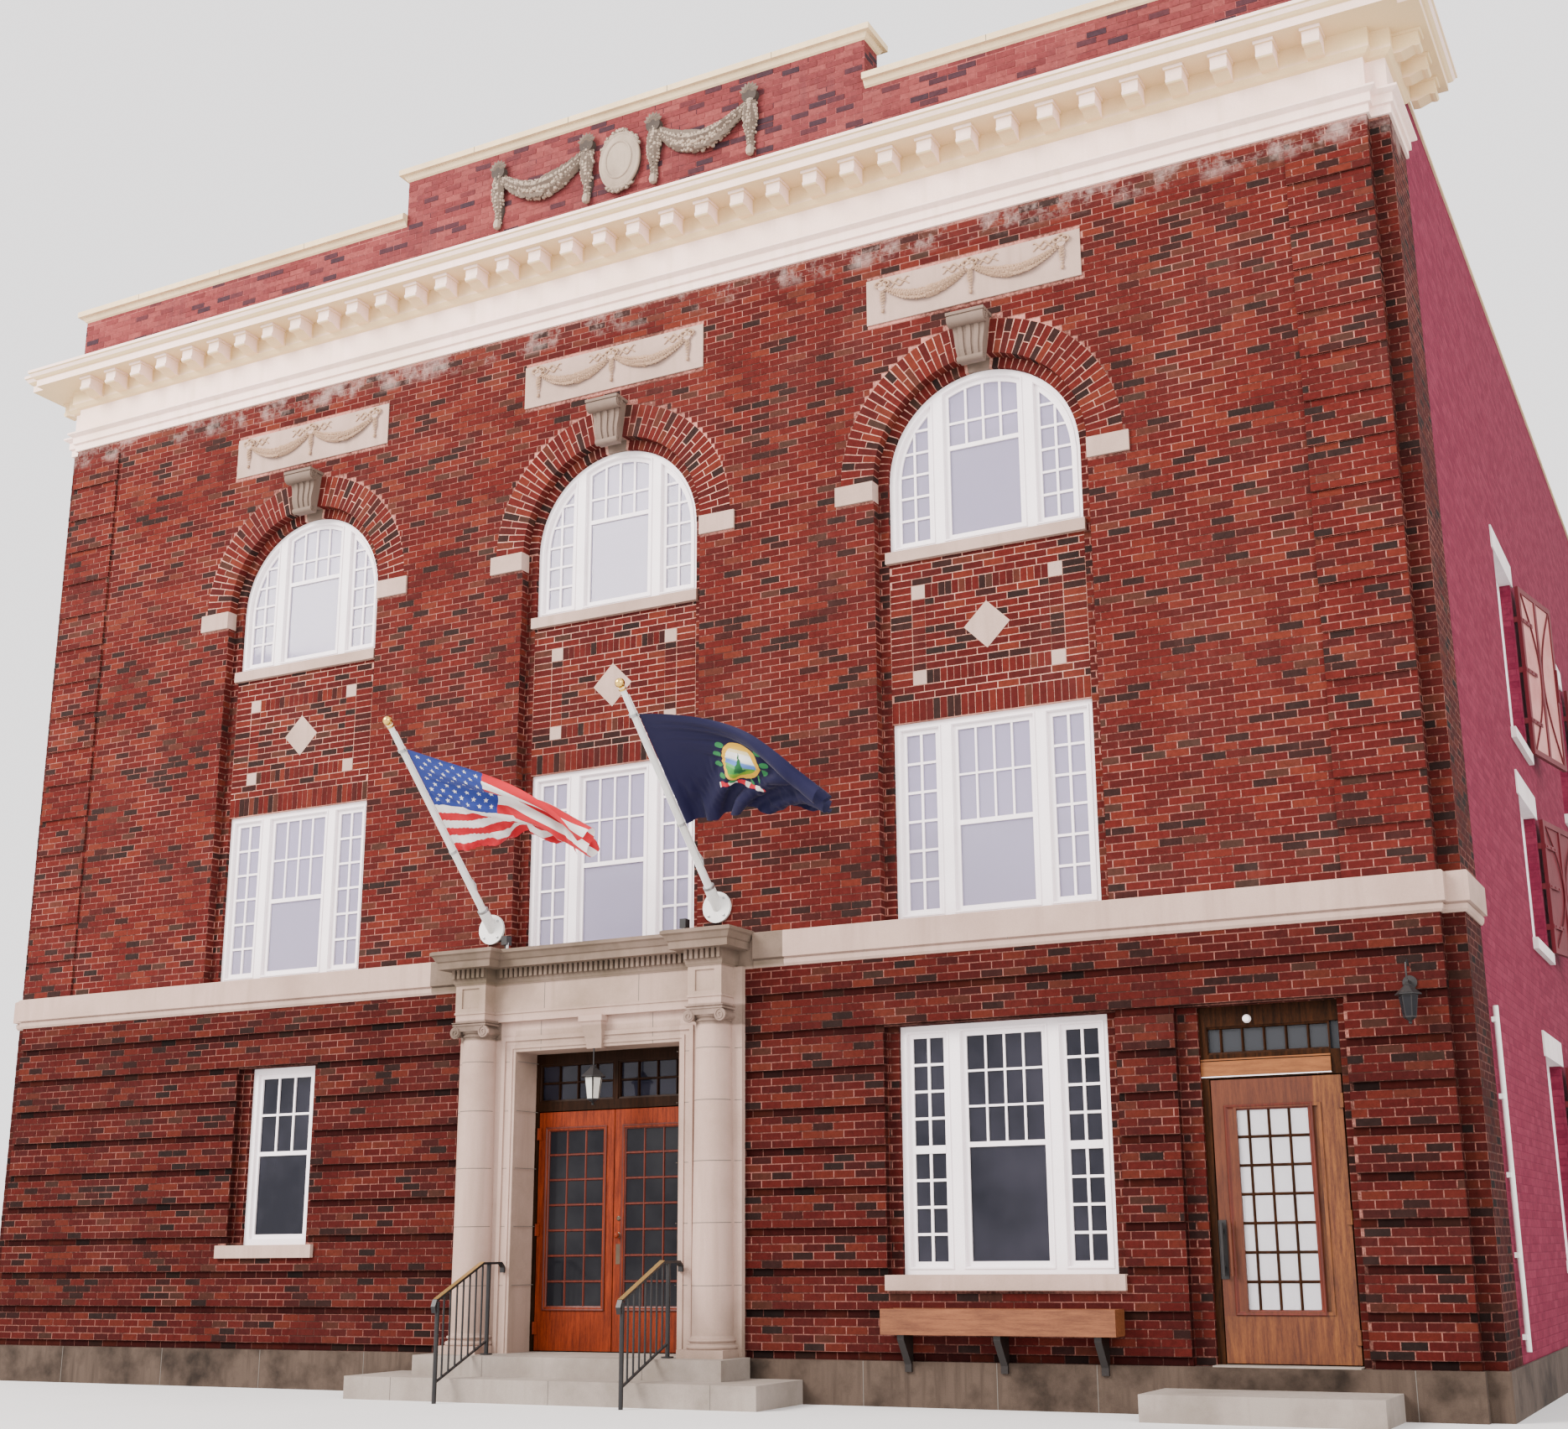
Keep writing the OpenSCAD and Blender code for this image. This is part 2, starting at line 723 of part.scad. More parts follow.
module modillions() {
    n = floor((front_half - modillion_w / 2) / modillion_pitch);
    color(cream) {
        for (i = [-n:n]) translate([i * modillion_pitch, 0, bed_z]) modillion();
        for (s = [-1, 1], i = [0:2])
            translate([s * body_half, strip_back + 120 + i * modillion_pitch, bed_z])
                rotate([0, 0, s * 90]) modillion();
    }
}

module parapet() {
    color([0.6, 0.33, 0.32]) {
        block([-body_half, parapet_y, crown_z], [body_half, parapet_y + parapet_t, crown_z + parapet_h]);
        block([-raised_half, parapet_y, crown_z + parapet_h],
            [raised_half, parapet_y + parapet_t, crown_z + parapet_h + raised_h]);
    }
}

// Coping along X with a cove under its lip; start and end say how far it laps each end
module coping(x0, x1, z, start, end) {
    y0 = parapet_y;
    y1 = parapet_y + parapet_t;
    stack([for (q = [[0, 0], [20, 15], [45, 60], [85, 62], [85, coping_h - 20], [60, coping_h]])
        level_ring(x0 - q[0] * start, x1 + q[0] * end, y0 - q[0], y1 + q[0], z + q[1])]);
}

flashing_t = 40;

module parapet_coping() {
    low = crown_z + parapet_h;
    color(cream) {
        coping(-raised_half, raised_half, low + raised_h, 1, 1);
        coping(-body_half, -raised_half, low, 1, 0);
        coping(raised_half, body_half, low, 0, 1);
        difference() {
            block([-body_half - 20, front_t + 30, eaves_z], [body_half + 20, depth + 20, eaves_z + flashing_t]);
            block([-inner_half + 20, front_t, eaves_z - 1], [inner_half - 20, depth - wall_t - 20, eaves_z + 100]);
            block([-body_half - 30, front_t, eaves_z - 1], [body_half + 30, return_d + 470, eaves_z + 100]);
        }
    }
}

garland_drop = 570;
garland_z = crown_z + parapet_h + raised_h - garland_drop;
garland_pitch = 998;
oval_r = 240;

// Oval shield with a rim between garlands and pendants, on the raised middle of the parapet
module parapet_garland() {
    color(stone) translate([0, parapet_y, garland_z]) {
        rotate([90, 0, 0]) scale([1, 1.35, 1]) cylinder(h = 45, r = oval_r, $fn = 32);
        rotate([90, 0, 0]) scale([1, 1.35, 1]) cylinder(h = 75, r = oval_r * 0.66, $fn = 32);
        for (s = [-1, 1]) mirror([s < 0 ? 1 : 0, 0, 0]) {
            for (x = [garland_pitch * 0.42, garland_pitch * 1.58]) translate([x, 0, 0]) {
                translate([0, 0, 330]) tail(660, 60);
                translate([0, 0, 300]) rotate([90, 0, 0]) cylinder(h = 70, r = 85, $fn = 32);
            }
            translate([garland_pitch * 0.42, 0, 280]) swag(garland_pitch * 1.16, 330, 75);
        }
    }
}

frame_rim = 62;
head_gap = 2;
mullion_w = 130;
mullion_x = 450;
sash_w = 42;
sash_y = 28;
sash_t = 45;
glass_y = 46;
side_glass_y = stone_in + glass_y;

// Outline of a window of half width r, either square-headed or with a round head on its springing
// line at h, cut back all round by inset
module window_outline(r, h, arched, inset) {
    rect(-r + inset, r - inset, inset, arched ? h : h - inset);
    if (arched) translate([0, h]) intersection() {
        circle(r - inset - head_gap, $fn = 96);
        translate([-r, -1]) square([2 * r, r + 2]);
    }
}

// The three lights of a window between its rim and its two mullions, cut back by inset
module three_lights(h, arched, inset) {
    edge = mullion_x + mullion_w / 2;
    mid = mullion_x - mullion_w / 2;
    for (c = [[-frame_r, -edge], [-mid, mid], [edge, frame_r]]) intersection() {
        window_outline(frame_r, h, arched, frame_rim + inset);
        rect(c[0] + inset, c[1] - inset, 0, h + frame_r);
    }
}

// One light between its rims, cut back by inset
module one_light(w, h, inset) {
    window_outline(w / 2, h, false, frame_rim + inset);
}

// Rail where the two sashes of a light meet
module rail_2d(half, z) {
    rect(-half, half, z - sash_w / 2, z + sash_w / 2);
}

mid_half = mullion_x - mullion_w / 2;

// Three-light window: rim, mullions, sashes and the middle light's meeting rail
module three_light_window(h, arched, rail_z) {
    upright(0, frame_d) difference() {
        window_outline(frame_r, h, arched, 0);
        three_lights(h, arched, 0);
    }
    upright(sash_y, sash_y + sash_t) {
        difference() {
            three_lights(h, arched, 0);
            three_lights(h, arched, sash_w);
        }
        rail_2d(mid_half, rail_z);
    }
}

module three_light_glass(h, arched, rail_z) {
    upright(glass_y, glass_y + glass_t) difference() {
        three_lights(h, arched, sash_w);
        rail_2d(mid_half, rail_z);
    }
}

// Window with one light of two sashes
module sash_window(w, h, rail_z) {
    upright(0, frame_d) difference() {
        window_outline(w / 2, h, false, 0);
        one_light(w, h, 0);
    }
    upright(sash_y, sash_y + sash_t) {
        difference() {
            one_light(w, h, 0);
            one_light(w, h, sash_w);
        }
        rail_2d(w / 2 - frame_rim, rail_z);
    }
}

module sash_glass(w, h, rail_z) {
    upright(glass_y, glass_y + glass_t) difference() {
        one_light(w, h, sash_w);
        rail_2d(w / 2, rail_z);
    }
}

arched_rail_z = 960;
upper_rail_z = 850;
wide_rail_z = 1060;
small_rail_z = 905;

module arched_windows() {
    color("white") for (x = bays) translate([x, frame_back, sill_top_z])
        three_light_window(spring_z - sill_top_z, true, arched_rail_z);
}

module upper_windows() {
    color("white") for (x = bays) translate([x, frame_back, upper_z])
        three_light_window(upper_win_h, false, upper_rail_z);
}

module ground_windows() {
    color("white") {
        translate([wide_win_x, frame_back, wide_win_z])
            three_light_window(win_head_z - wide_win_z, false, wide_rail_z);
        translate([small_win_x, frame_back, small_win_z])
            sash_window(small_win_w - 2 * step_w, win_head_z - small_win_z, small_rail_z);
    }
}

module side_windows() {
    color("white") {
        at_side_windows() translate([0, stone_in, 0]) sash_window(side_win_w, $h, $h / 2);
        at_back_windows() translate([0, stone_in, 0]) sash_window(side_win_w, $h, $h / 2);
    }
}

module window_glass() {
    color([0.6, 0.7, 0.8]) {
        for (x = bays) {
            translate([x, frame_back, sill_top_z])
                three_light_glass(spring_z - sill_top_z, true, arched_rail_z);
            translate([x, frame_back, upper_z])
                three_light_glass(upper_win_h, false, upper_rail_z);
        }
        translate([wide_win_x, frame_back, wide_win_z])
            three_light_glass(win_head_z - wide_win_z, false, wide_rail_z);
        translate([small_win_x, frame_back, small_win_z])
            sash_glass(small_win_w - 2 * step_w, win_head_z - small_win_z, small_rail_z);
        at_side_windows() translate([0, stone_in, 0]) sash_glass(side_win_w, $h, $h / 2);
        at_back_windows() translate([0, stone_in, 0]) sash_glass(side_win_w, $h, $h / 2);
        for (s = [-1, 1]) translate([0, leaf_back + glass_y, 0])
            block([s * (light_x0 + light_x1) / 2 - (light_x1 - light_x0) / 2, 0, transom_z + transom_h],
                [s * (light_x0 + light_x1) / 2 + (light_x1 - light_x0) / 2, glass_t,
                    entry_head_z - head_rail_h]);
        translate([side_door_x, side_back + glass_y, 0])
            block([-side_leaf_w / 2 - leaf_gap, 0, side_transom_z + side_bar_h + side_sash],
                [side_leaf_w / 2 + leaf_gap, glass_t, win_head_z - side_head_rail]);
    }
}

shutter_t = 40;
shutter_rim = 60;
shutter_gap = 10;
hinge_out = 35;

// Iron-faced shutter leaf hung beside a window and folded back: rim, middle upright and sheet
module shutter_leaf(w, h) {
    difference() {
        block([0, -shutter_t, 0], [w, 0, h]);
        for (x = [shutter_rim, w / 2 + shutter_rim / 2])
            block([x, -shutter_t - 1, shutter_rim], [x + w / 2 - shutter_rim * 1.5, -shutter_t + 14, h - shutter_rim]);
        for (x = [shutter_rim, w / 2 + shutter_rim / 2])
            block([x, -14, shutter_rim], [x + w / 2 - shutter_rim * 1.5, 1, h - shutter_rim]);
    }
}

module shutters() {
    color([0.4, 0.08, 0.1]) at_side_windows() translate([side_win_w / 2 + 50, 0, 0]) {
        translate([0, -hinge_out, shutter_gap]) rotate([0, 0, -shutter_angle])
            shutter_leaf(shutter_w, $h - 2 * shutter_gap);
        for (z = [0.2, 0.5, 0.8]) translate([0, 0, z * $h])
            block([0, -hinge_out - 20, -30], [45, 0, 30]);
    }
}

capital_h = 145;
base_h = 170;
neck_r = column_r - 25;

backing_y = column_out - backing_out;

// Round shape on an upright axis, cut flat where it meets the stone backing
module engaged(profile) {
    difference() {
        rotate_extrude($fn = 64) polygon(profile);
        block([-2 * column_r, backing_y, -10], [2 * column_r, 2 * column_r, capital_top_z]);
    }
}

// Spiral band of a volute, wound inwards from radius r
module volute(r) {
    turns = 540;
    steps = 36;
    out = [for (i = [0:steps]) let (a = turns * i / steps, q = r * (1 - 0.8 * i / steps))
        [q * cos(a + 90), q * sin(a + 90)]];
    back = [for (i = [steps:-1:0]) let (a = turns * i / steps, q = r * (1 - 0.8 * i / steps) - r * 0.16)
        [q * cos(a + 90), q * sin(a + 90)]];
    linear_extrude(8) polygon(concat(out, back));
}

// Capital with two rolls whose ends are scrolls, an egg moulding under them and an abacus
module capital() {
    r = neck_r;
    roll_r = 57;
    roll_x = 163;
    roll_len = r + 28 + backing_y;
    engaged([[0, 0], [r, 0], [r + 12, 8], [r + 12, 18], [r, 26], [r, 34], [r + 14, 44], [r + 26, 64],
        [r + 20, 84], [0, 84]]);
    block([-roll_x, -r - 24, 60], [roll_x, backing_y, 108]);
    for (t = [-1, 1]) translate([t * roll_x, 0, 52]) {
        translate([0, backing_y, 0]) rotate([90, 0, 0]) rotate_extrude($fn = 32)
            polygon([[0, 0], [roll_r - 22, 0], [roll_r - 22, backing_y], [roll_r - 16, roll_len - 60],
                [roll_r, roll_len - 24], [roll_r, roll_len], [0, roll_len]]);
        translate([0, -r - 27, 0]) rotate([90, 0, 0]) mirror([t < 0 ? 1 : 0, 0, 0]) volute(roll_r - 3);
    }
    stack([for (q = [[0, 106], [14, 112], [14, 126], [4, 130], [20, 138], [20, capital_h]])
        level_ring(-r - 18 - q[0], r + 18 + q[0], -r - 18 - q[0], backing_y, q[1])]);
}

module columns() {
    neck_z = capital_top_z - capital_h - floor_z;
    color(stone) for (s = [-1, 1]) translate([s * column_x, -column_out, floor_z]) {
        block([-column_r - 45, -column_r - 45, 0], [column_r + 45, backing_y, 70]);
        engaged([[0, 69], [column_r + 34, 69], [column_r + 44, 82],
            [column_r + 44, 96], [column_r + 34, 108], [column_r + 20, 110], [column_r + 12, 120],
            [column_r + 14, 130], [column_r + 26, 134], [column_r + 30, 144], [column_r + 26, 154],
            [column_r + 8, 158], [column_r, base_h + 12], [column_r, 800], [column_r - 8, 1600],
            [neck_r, neck_z + 1], [0, neck_z + 1]]);
        translate([0, 0, neck_z]) capital();
    }
}

// Frame round the entrance in the plane of the front, out to a given half width
module entry_frame(half, top, edge) {
    difference() {
        rect(-half, half, floor_z, top);
        rect(-half + edge, half - edge, floor_z - 1, top - edge);
    }
}

small_key_half = 130;
relief_z = lintel_top_z;

module door_surround() {
    w = entry_w / 2;
    edge = entry_rough_w / 2 - w;
    color(stone) {
        upright(-backing_out, front_t) difference() {
            rect(-w - jamb_w, w + jamb_w, floor_z, lintel_top_z);
            rect(-w, w, floor_z - 1, entry_head_z);
        }
        upright(-backing_out - 16, 0) entry_frame(column_x - column_r - 50, lintel_top_z - 25, 40);
        upright(-backing_out - 10, 0) difference() {
            rect(-w - 60, w + 60, floor_z, entry_head_z + 60);
            rect(-w - 30, w + 30, floor_z - 1, entry_head_z + 30);
        }
        upright(-backing_out, 0) {
            rect(-w - jamb_w, w + jamb_w, relief_z, capital_top_z);
            for (s = [-1, 1]) rect(min(s * (w + jamb_w), s * backing_w), max(s * (w + jamb_w), s * backing_w),
                floor_z, frieze_top_z);
        }
        stack([for (q = [[0.62, 0, 90], [0.7, 0.3, 105], [0.8, 0.55, 130], [0.88, 0.8, 158],
            [1, 0.82, 170], [1, 1, 170]])
            level_ring(-small_key_half * q[0], small_key_half * q[0], -q[2], 0,
                entry_head_z - 15 + q[1] * (capital_top_z - entry_head_z + 15))]);
    }
}

dentil_w = 32;
dentil_pitch = 57;
dentil_h = 76;

// Frieze with a sunk square over each column, a row of dentils and the cornice
module portico_top() {
    z0 = capital_top_z;
    z1 = frieze_top_z;
    z2 = z1 + 60;
    xi = column_x - block_half;
    n = floor((xi - 60) / dentil_pitch);
    out = entry_cornice_out;
    color(stone) difference() {
        union() {
            portico_moulding([[-4, z0], [-4, z0 + 70], [6, z0 + 76], [6, z0 + 92], [0, z0 + 98],
                [0, z1 + 10]], -backing_out);
            portico_moulding([[6, z1], [18, z1 + 20], [22, z1 + 50], [22, z2 + dentil_h + 10],
                [out - 58, z2 + dentil_h + 14], [out - 58, z2 + dentil_h + 78],
                [out - 44, z2 + dentil_h + 88], [out - 20, z1 + entry_cornice_h - 50],
                [out, z1 + entry_cornice_h - 36], [out, z1 + entry_cornice_h - 10],
                [out - 16, z1 + entry_cornice_h]], 0);
            for (i = [-n:n]) block([i * dentil_pitch - dentil_w / 2, -frieze_out - 56, z2],
                [i * dentil_pitch + dentil_w / 2, -frieze_out, z2 + dentil_h + 20]);
            for (s = [-1, 1], i = [-3:3]) translate([s * column_x + i * dentil_pitch, 0, z2])
                block([-dentil_w / 2, -block_out - 56, 0], [dentil_w / 2, -block_out, dentil_h + 20]);
        }
        for (s = [-1, 1]) translate([s * column_x, -block_out, z0 + 130])
            block([-100, -10, 0], [100, 14, 190]);
    }
}

module entrance_steps() {
    x = side_door_mid;
    step_half = side_door_w / 2 + 225;
    color([0.6, 0.6, 0.58]) {
        block([-landing_w, -landing_d, 0], [landing_w, -found_out, floor_z]);
        block([-landing_w - step_side, -landing_d - tread_d, 0], [landing_w + step_side, -landing_d, step_z]);
        for (s = [-1, 1]) block([s * (landing_w + step_side / 2) - step_side / 2, -landing_d, 0],
            [s * (landing_w + step_side / 2) + step_side / 2, -found_out, step_z]);
        block([-entry_w / 2, -found_out, found_h], [entry_w / 2, front_t, floor_z]);
        block([x - step_half, -700, 0], [x + step_half, -found_out, step_z]);
        block([side_door_x - side_leaf_w / 2 - 70, -found_out, found_h],
            [side_door_x + side_leaf_w / 2 + 22, front_t, floor_z]);
    }
}

hinge_x = -leaf_gap / 2;
hinge_y = -knuckle_r - 6;
transom_z = floor_z + main_leaf_h + 2 * leaf_gap;
transom_h = 90;
head_rail_h = 100;
mull_half = 25;
side_transom_z = floor_z + side_leaf_h + 2 * leaf_gap;
side_bar_h = 138;
side_sash = 55;
side_head_rail = 160;
jamb_d = 120;
light_x0 = mull_half;
light_x1 = main_leaf_w + 1.5 * leaf_gap;

module door_frames() {
    w = entry_w / 2;
    jamb = w - light_x1;
    sw = side_leaf_w / 2 + leaf_gap;
    color([0.35, 0.17, 0.08]) {
        translate([0, leaf_back, 0]) upright(0, jamb_d) {
            difference() {
                rect(-w, w, floor_z, entry_head_z);
                rect(-w + jamb, w - jamb, floor_z - 1, entry_head_z - head_rail_h);
            }
            rect(-w + jamb, w - jamb, transom_z, transom_z + transom_h);
            rect(-mull_half, mull_half, transom_z + transom_h, entry_head_z - head_rail_h + 1);
        }
        translate([side_door_x, side_back, 0]) {
            upright(0, jamb_d) {
                difference() {
                    rect(-sw - 60, sw + 60, floor_z, win_head_z);
                    rect(-sw, sw, floor_z - 1, win_head_z - side_head_rail);
                }
                rect(-sw, sw, side_transom_z, side_transom_z + side_bar_h + side_sash);
            }
        }
    }
}

// A glazed leaf from x = 0 at its hinge edge to x = w, with its face on y = 0.
// Its knuckles turn on an upright axis at x = hinge_x, y = hinge_y.
module leaf(w, h, stile, top) {
    difference() {
        block([0, 0, 0], [w, leaf_t, h]);
        block([stile, -1, kick_h], [w - stile, leaf_t / 2 - glass_t / 2, h - top]);
        block([stile, leaf_t / 2 + glass_t / 2, kick_h], [w - stile, leaf_t + 1, h - top]);
    }
    difference() {
        block([stile - 25, -9, kick_h - 25], [w - stile + 25, 1, h - top + 25]);
        block([stile, -10, kick_h], [w - stile, 2, h - top]);
    }
    for (z = [200, h / 2, h - 200]) translate([0, 0, z - knuckle_h / 2]) {
        translate([hinge_x, hinge_y, 0]) cylinder(h = knuckle_h, r = knuckle_r, $fn = 32);
        block([hinge_x, hinge_y - 3, 0], [35, 0, knuckle_h]);
    }
}

// Round knob on a leaf's face
module knob(x, z) {
    translate([x, 0, z]) rotate([90, 0, 0]) rotate_extrude($fn = 32)
        polygon([[0, 0], [30, 0], [30, 5], [11, 8], [11, 25], [27, 33], [29, 42], [20, 52], [0, 55]]);
}

main_stile = 110;
side_stile = 195;
pull_h = 405;

module main_door_left() {
    color(wood) translate([-main_leaf_w - leaf_gap / 2, leaf_back, floor_z + leaf_gap])
        leaf(main_leaf_w, main_leaf_h, main_stile, 170);
}

module main_door_right() {
    color(wood) translate([main_leaf_w + leaf_gap / 2, leaf_back, floor_z + leaf_gap])
        mirror([1, 0, 0]) {
            leaf(main_leaf_w, main_leaf_h, main_stile, 170);
            knob(main_leaf_w - main_stile / 2, 1030);
        }
}

module side_door() {
    color(wood)
        translate([side_door_x + side_leaf_w / 2, side_back, floor_z + leaf_gap]) mirror([1, 0, 0]) {
            leaf(side_leaf_w, side_leaf_h, side_stile, 230);
            translate([side_leaf_w - side_stile / 2, 0, 650]) {
                translate([0, -45, 0]) cylinder(h = pull_h, r = 14, $fn = 24);
                for (z = [60, pull_h - 60]) translate([0, 0, z]) rotate([90, 0, 0])
                    cylinder(h = 45, r = 11, $fn = 24);
                block([-30, -6, -20], [30, 0, pull_h + 20]);
            }
        }
}

post_r = 20;
thin_r = 9;
cap_w = 46;
cap_t = 22;
rail_top_y = -100;
bend_y = -400;
post_y = -300;
foot_y = -landing_d - tread_d - 190;
baluster_n = 7;

// Level of the hand rail and of the bottom rail at the distance y from the front
function hand_z(y) = y > bend_y ? floor_z + rail_h
    : floor_z + rail_h + (rail_low_z - floor_z - rail_h) * (y - bend_y) / (foot_y - bend_y);
function low_z(y) = 165 + 320 * (y - foot_y) / (post_y - foot_y);

// Flat bar whose underside runs through a list of [y, z] points
module flat_bar(points, w, t) {
    n = len(points);
    top = [for (i = [0:n - 1])
        let (a = points[max(i - 1, 0)], b = points[min(i + 1, n - 1)], d = (b - a) / norm(b - a))
        points[i] + t * [-d[1], d[0]]];
    rotate([90, 0, 90]) translate([0, 0, -w / 2]) linear_extrude(w)
        polygon(concat(points, [for (i = [n - 1:-1:0]) top[i]]));
}

module stair_rails() {
    top_z = floor_z + rail_h;
    color(iron) for (s = [-1, 1]) translate([s * rail_x, 0, 0]) {
        flat_bar([[foot_y - 30, rail_low_z - 90], [foot_y - 45, rail_low_z - 40], [foot_y - 30, rail_low_z],
            [bend_y, top_z], [rail_top_y - 30, top_z], [rail_top_y, top_z - 30], [rail_top_y, top_z - 75]],
            cap_w, cap_t);
        translate([0, post_y, floor_z]) cylinder(h = rail_h + 1, r = post_r, $fn = 24);
        translate([0, post_y, floor_z]) cylinder(h = 12, r = 55, $fn = 24);
        translate([0, foot_y, 0]) cylinder(h = hand_z(foot_y) + 1, r = post_r, $fn = 24);
        flat_bar([[foot_y, low_z(foot_y)], [post_y, low_z(post_y)]], 24, 14);
        for (i = [1:baluster_n]) let (y = foot_y + (post_y - foot_y) * i / (baluster_n + 1))
            translate([0, y, low_z(y)]) cylinder(h = hand_z(y) - low_z(y) + 2, r = thin_r, $fn = 16);
    }
}

lantern_y = -90;
lantern_z = 2600;
wall_lamp_z = 2900;
wall_lamp_y = -130;

// Six-sided lantern on a rod of a given length; its foot is at z = 0 and its cap ends at z = 340
module lantern(r, h, rod) {
    cylinder(h = 20, r1 = r * 0.2, r2 = r * 0.5, $fn = 6);
    translate([0, 0, 20]) cylinder(h = h * 0.62, r1 = r * 0.52, r2 = r * 0.78, $fn = 6);
    translate([0, 0, 20 + h * 0.62]) cylinder(h = 12, r = r, $fn = 6);
    translate([0, 0, 32 + h * 0.62]) cylinder(h = h * 0.24, r1 = r * 0.98, r2 = r * 0.2, $fn = 6);
    translate([0, 0, 20 + h * 0.84]) cylinder(h = rod - 20 - h * 0.84, r = 7, $fn = 16);
}

spot_x = 1000;

module lamps() {
    wall_x = front_half - lamp_in;
    spot_z = frieze_top_z + entry_cornice_h;
    color(iron) {
        translate([0, lantern_y, lantern_z]) lantern(118, 340, entry_head_z - 15 - lantern_z);
        translate([wall_x, wall_lamp_y, wall_lamp_z]) {
            lantern(95, 280, 300);
            translate([-9, -9, 292]) block([0, 0, 0], [18, 9 - wall_lamp_y, 18]);
        }
        translate([wall_x, 0, wall_lamp_z + 300]) rotate([90, 0, 0]) cylinder(h = 14, r = 55, $fn = 32);
        for (s = [-1, 1]) translate([s * spot_x, -150, spot_z]) {
            cylinder(h = 60, r = 10, $fn = 16);
            translate([-32, -30, 60]) block([0, 0, 0], [64, 80, 85]);
        }
    }
}

conduit_y = 1010;
conduit_r = 22;
conduit_low = 450;
conduit_end = 110;
conduit_len = belt_z - conduit_low - 630;
saddle_n = 5;
saddle_w = 90;
saddle_h = 40;

// Cable conduit up the side wall beside the corner, held by saddles
module wall_conduit() {
    color("white") translate([body_half, conduit_y, 0]) {
        translate([conduit_r + 12, 0, conduit_low]) cylinder(h = conduit_len, r = conduit_r, $fn = 24);
        for (i = [0:saddle_n - 1])
            translate([0, -saddle_w / 2, conduit_low + conduit_end - saddle_h / 2
                + i * (conduit_len - 2 * conduit_end) / (saddle_n - 1)])
                block([0, 0, 0], [conduit_r + 12, saddle_w, saddle_h]);
    }
}

plate_r = 145;
plate_t = 28;
tip_r = 27;
foot_r = 38;
ball_r = 43;

module flagpoles() {
    color("white") for (s = [-1, 1]) translate([s * pole_x, 0, pole_z]) {
        difference() {
            union() {
                rotate([90, 0, 0]) cylinder(h = plate_t, r = plate_r, $fn = 48);
                rotate([90 - pole_angle, 0, 0]) {
                    cylinder(h = 230, r = foot_r + 14, $fn = 32);
                    cylinder(h = pole_len, r1 = foot_r, r2 = tip_r, $fn = 32);
                    translate([0, 0, pole_len - 2]) cylinder(h = 32, r = tip_r + 6, $fn = 32);
                    translate([0, 0, pole_len + 28 + ball_r]) sphere(ball_r, $fn = 32);
                }
            }
            block([-plate_r, 0, -plate_r], [plate_r, 200, plate_r]);
        }
    }
}

flag_t = 12;
flag_gap = 14;
hoist_end = pole_len - 250;

// Point on a flag: u runs from the pole to the free end and v up along the pole
function flag_point(u, v) =
    let (along = hoist_end - flag_hoist * (1 - v),
        x = foot_r + flag_gap + flag_fly * u * (0.92 + 0.08 * v),
        y = -along * cos(pole_angle) + u * u * 420 * v - 60 * sin(360 * u),
        z = along * sin(pole_angle) - (150 + 560 * v) * u * u * (1.25 - 0.25 * u))
    [x, y, z];

// Flag blown to the right: a thin sheet that hangs from its pole and droops to its free end
module flag() {
    steps = 10;
    d = flag_t / 2 / sqrt(2);
    stack([for (i = [0:steps]) let (u = i / steps, c = [for (v = [0:0.25:1]) flag_point(u, v)])
        concat([for (k = [4:-1:0]) c[k] + [0, -d, -d]], [for (k = [0:4]) c[k] + [0, d, d]])],
        warped = true);
}

module flags() {
    color([0.3, 0.3, 0.5]) for (s = [-1, 1]) translate([s * pole_x, 0, pole_z]) flag();
}

box_t = 22;
box_half = arch_r - 36;
bracket_x = 850;
bracket_w = 60;
bracket_drop = 300;

module window_box() {
    color([0.4, 0.22, 0.1]) translate([wide_win_x, 0, box_z]) {
        difference() {
            block([-box_half, -box_d, 0], [box_half, 0, box_h]);
            block([-box_half + box_t, -box_d + box_t, box_t], [box_half - box_t, -box_t, box_h + 1]);
        }
        for (t = [-bracket_x, 0, bracket_x]) translate([t - bracket_w / 2, 0, 0])
            rotate([90, 0, 90]) linear_extrude(bracket_w)
                polygon([[0, 1], [-box_d + 40, 1], [-box_d + 40, -40], [-found_out - 25, -bracket_drop + 60],
                    [-found_out - 25, -bracket_drop], [-found_out, -bracket_drop],
                    [-found_out, found_h - box_z + 1], [0, found_h - box_z + 1]]);
    }
}

foundation();
floors();
roof();
front_wall_left();
front_wall_right();
wall_over_doors();
front_piers();
front_wall_top();
spandrel_panels();
arch_rings();
corner_piers();
side_walls();
back_wall();
side_trim();
belt_course();
quoins();
arch_stones();
window_sills();
spandrel_stones();
plaques();
cornice();
modillions();
parapet();
parapet_coping();
parapet_garland();
arched_windows();
upper_windows();
ground_windows();
side_windows();
window_glass();
shutters();
columns();
door_surround();
portico_top();
entrance_steps();
door_frames();
main_door_left();
main_door_right();
side_door();
stair_rails();
lamps();
wall_conduit();
flagpoles();
flags();
window_box();
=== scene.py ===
"""Looks of the brick town hall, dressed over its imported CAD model."""
from __future__ import annotations

import json
import logging
import math
import random
from dataclasses import dataclass, field
from enum import Enum
from typing import Callable, ClassVar, Iterable, Sequence

import bpy
import numpy as np
from mathutils import Matrix, Vector

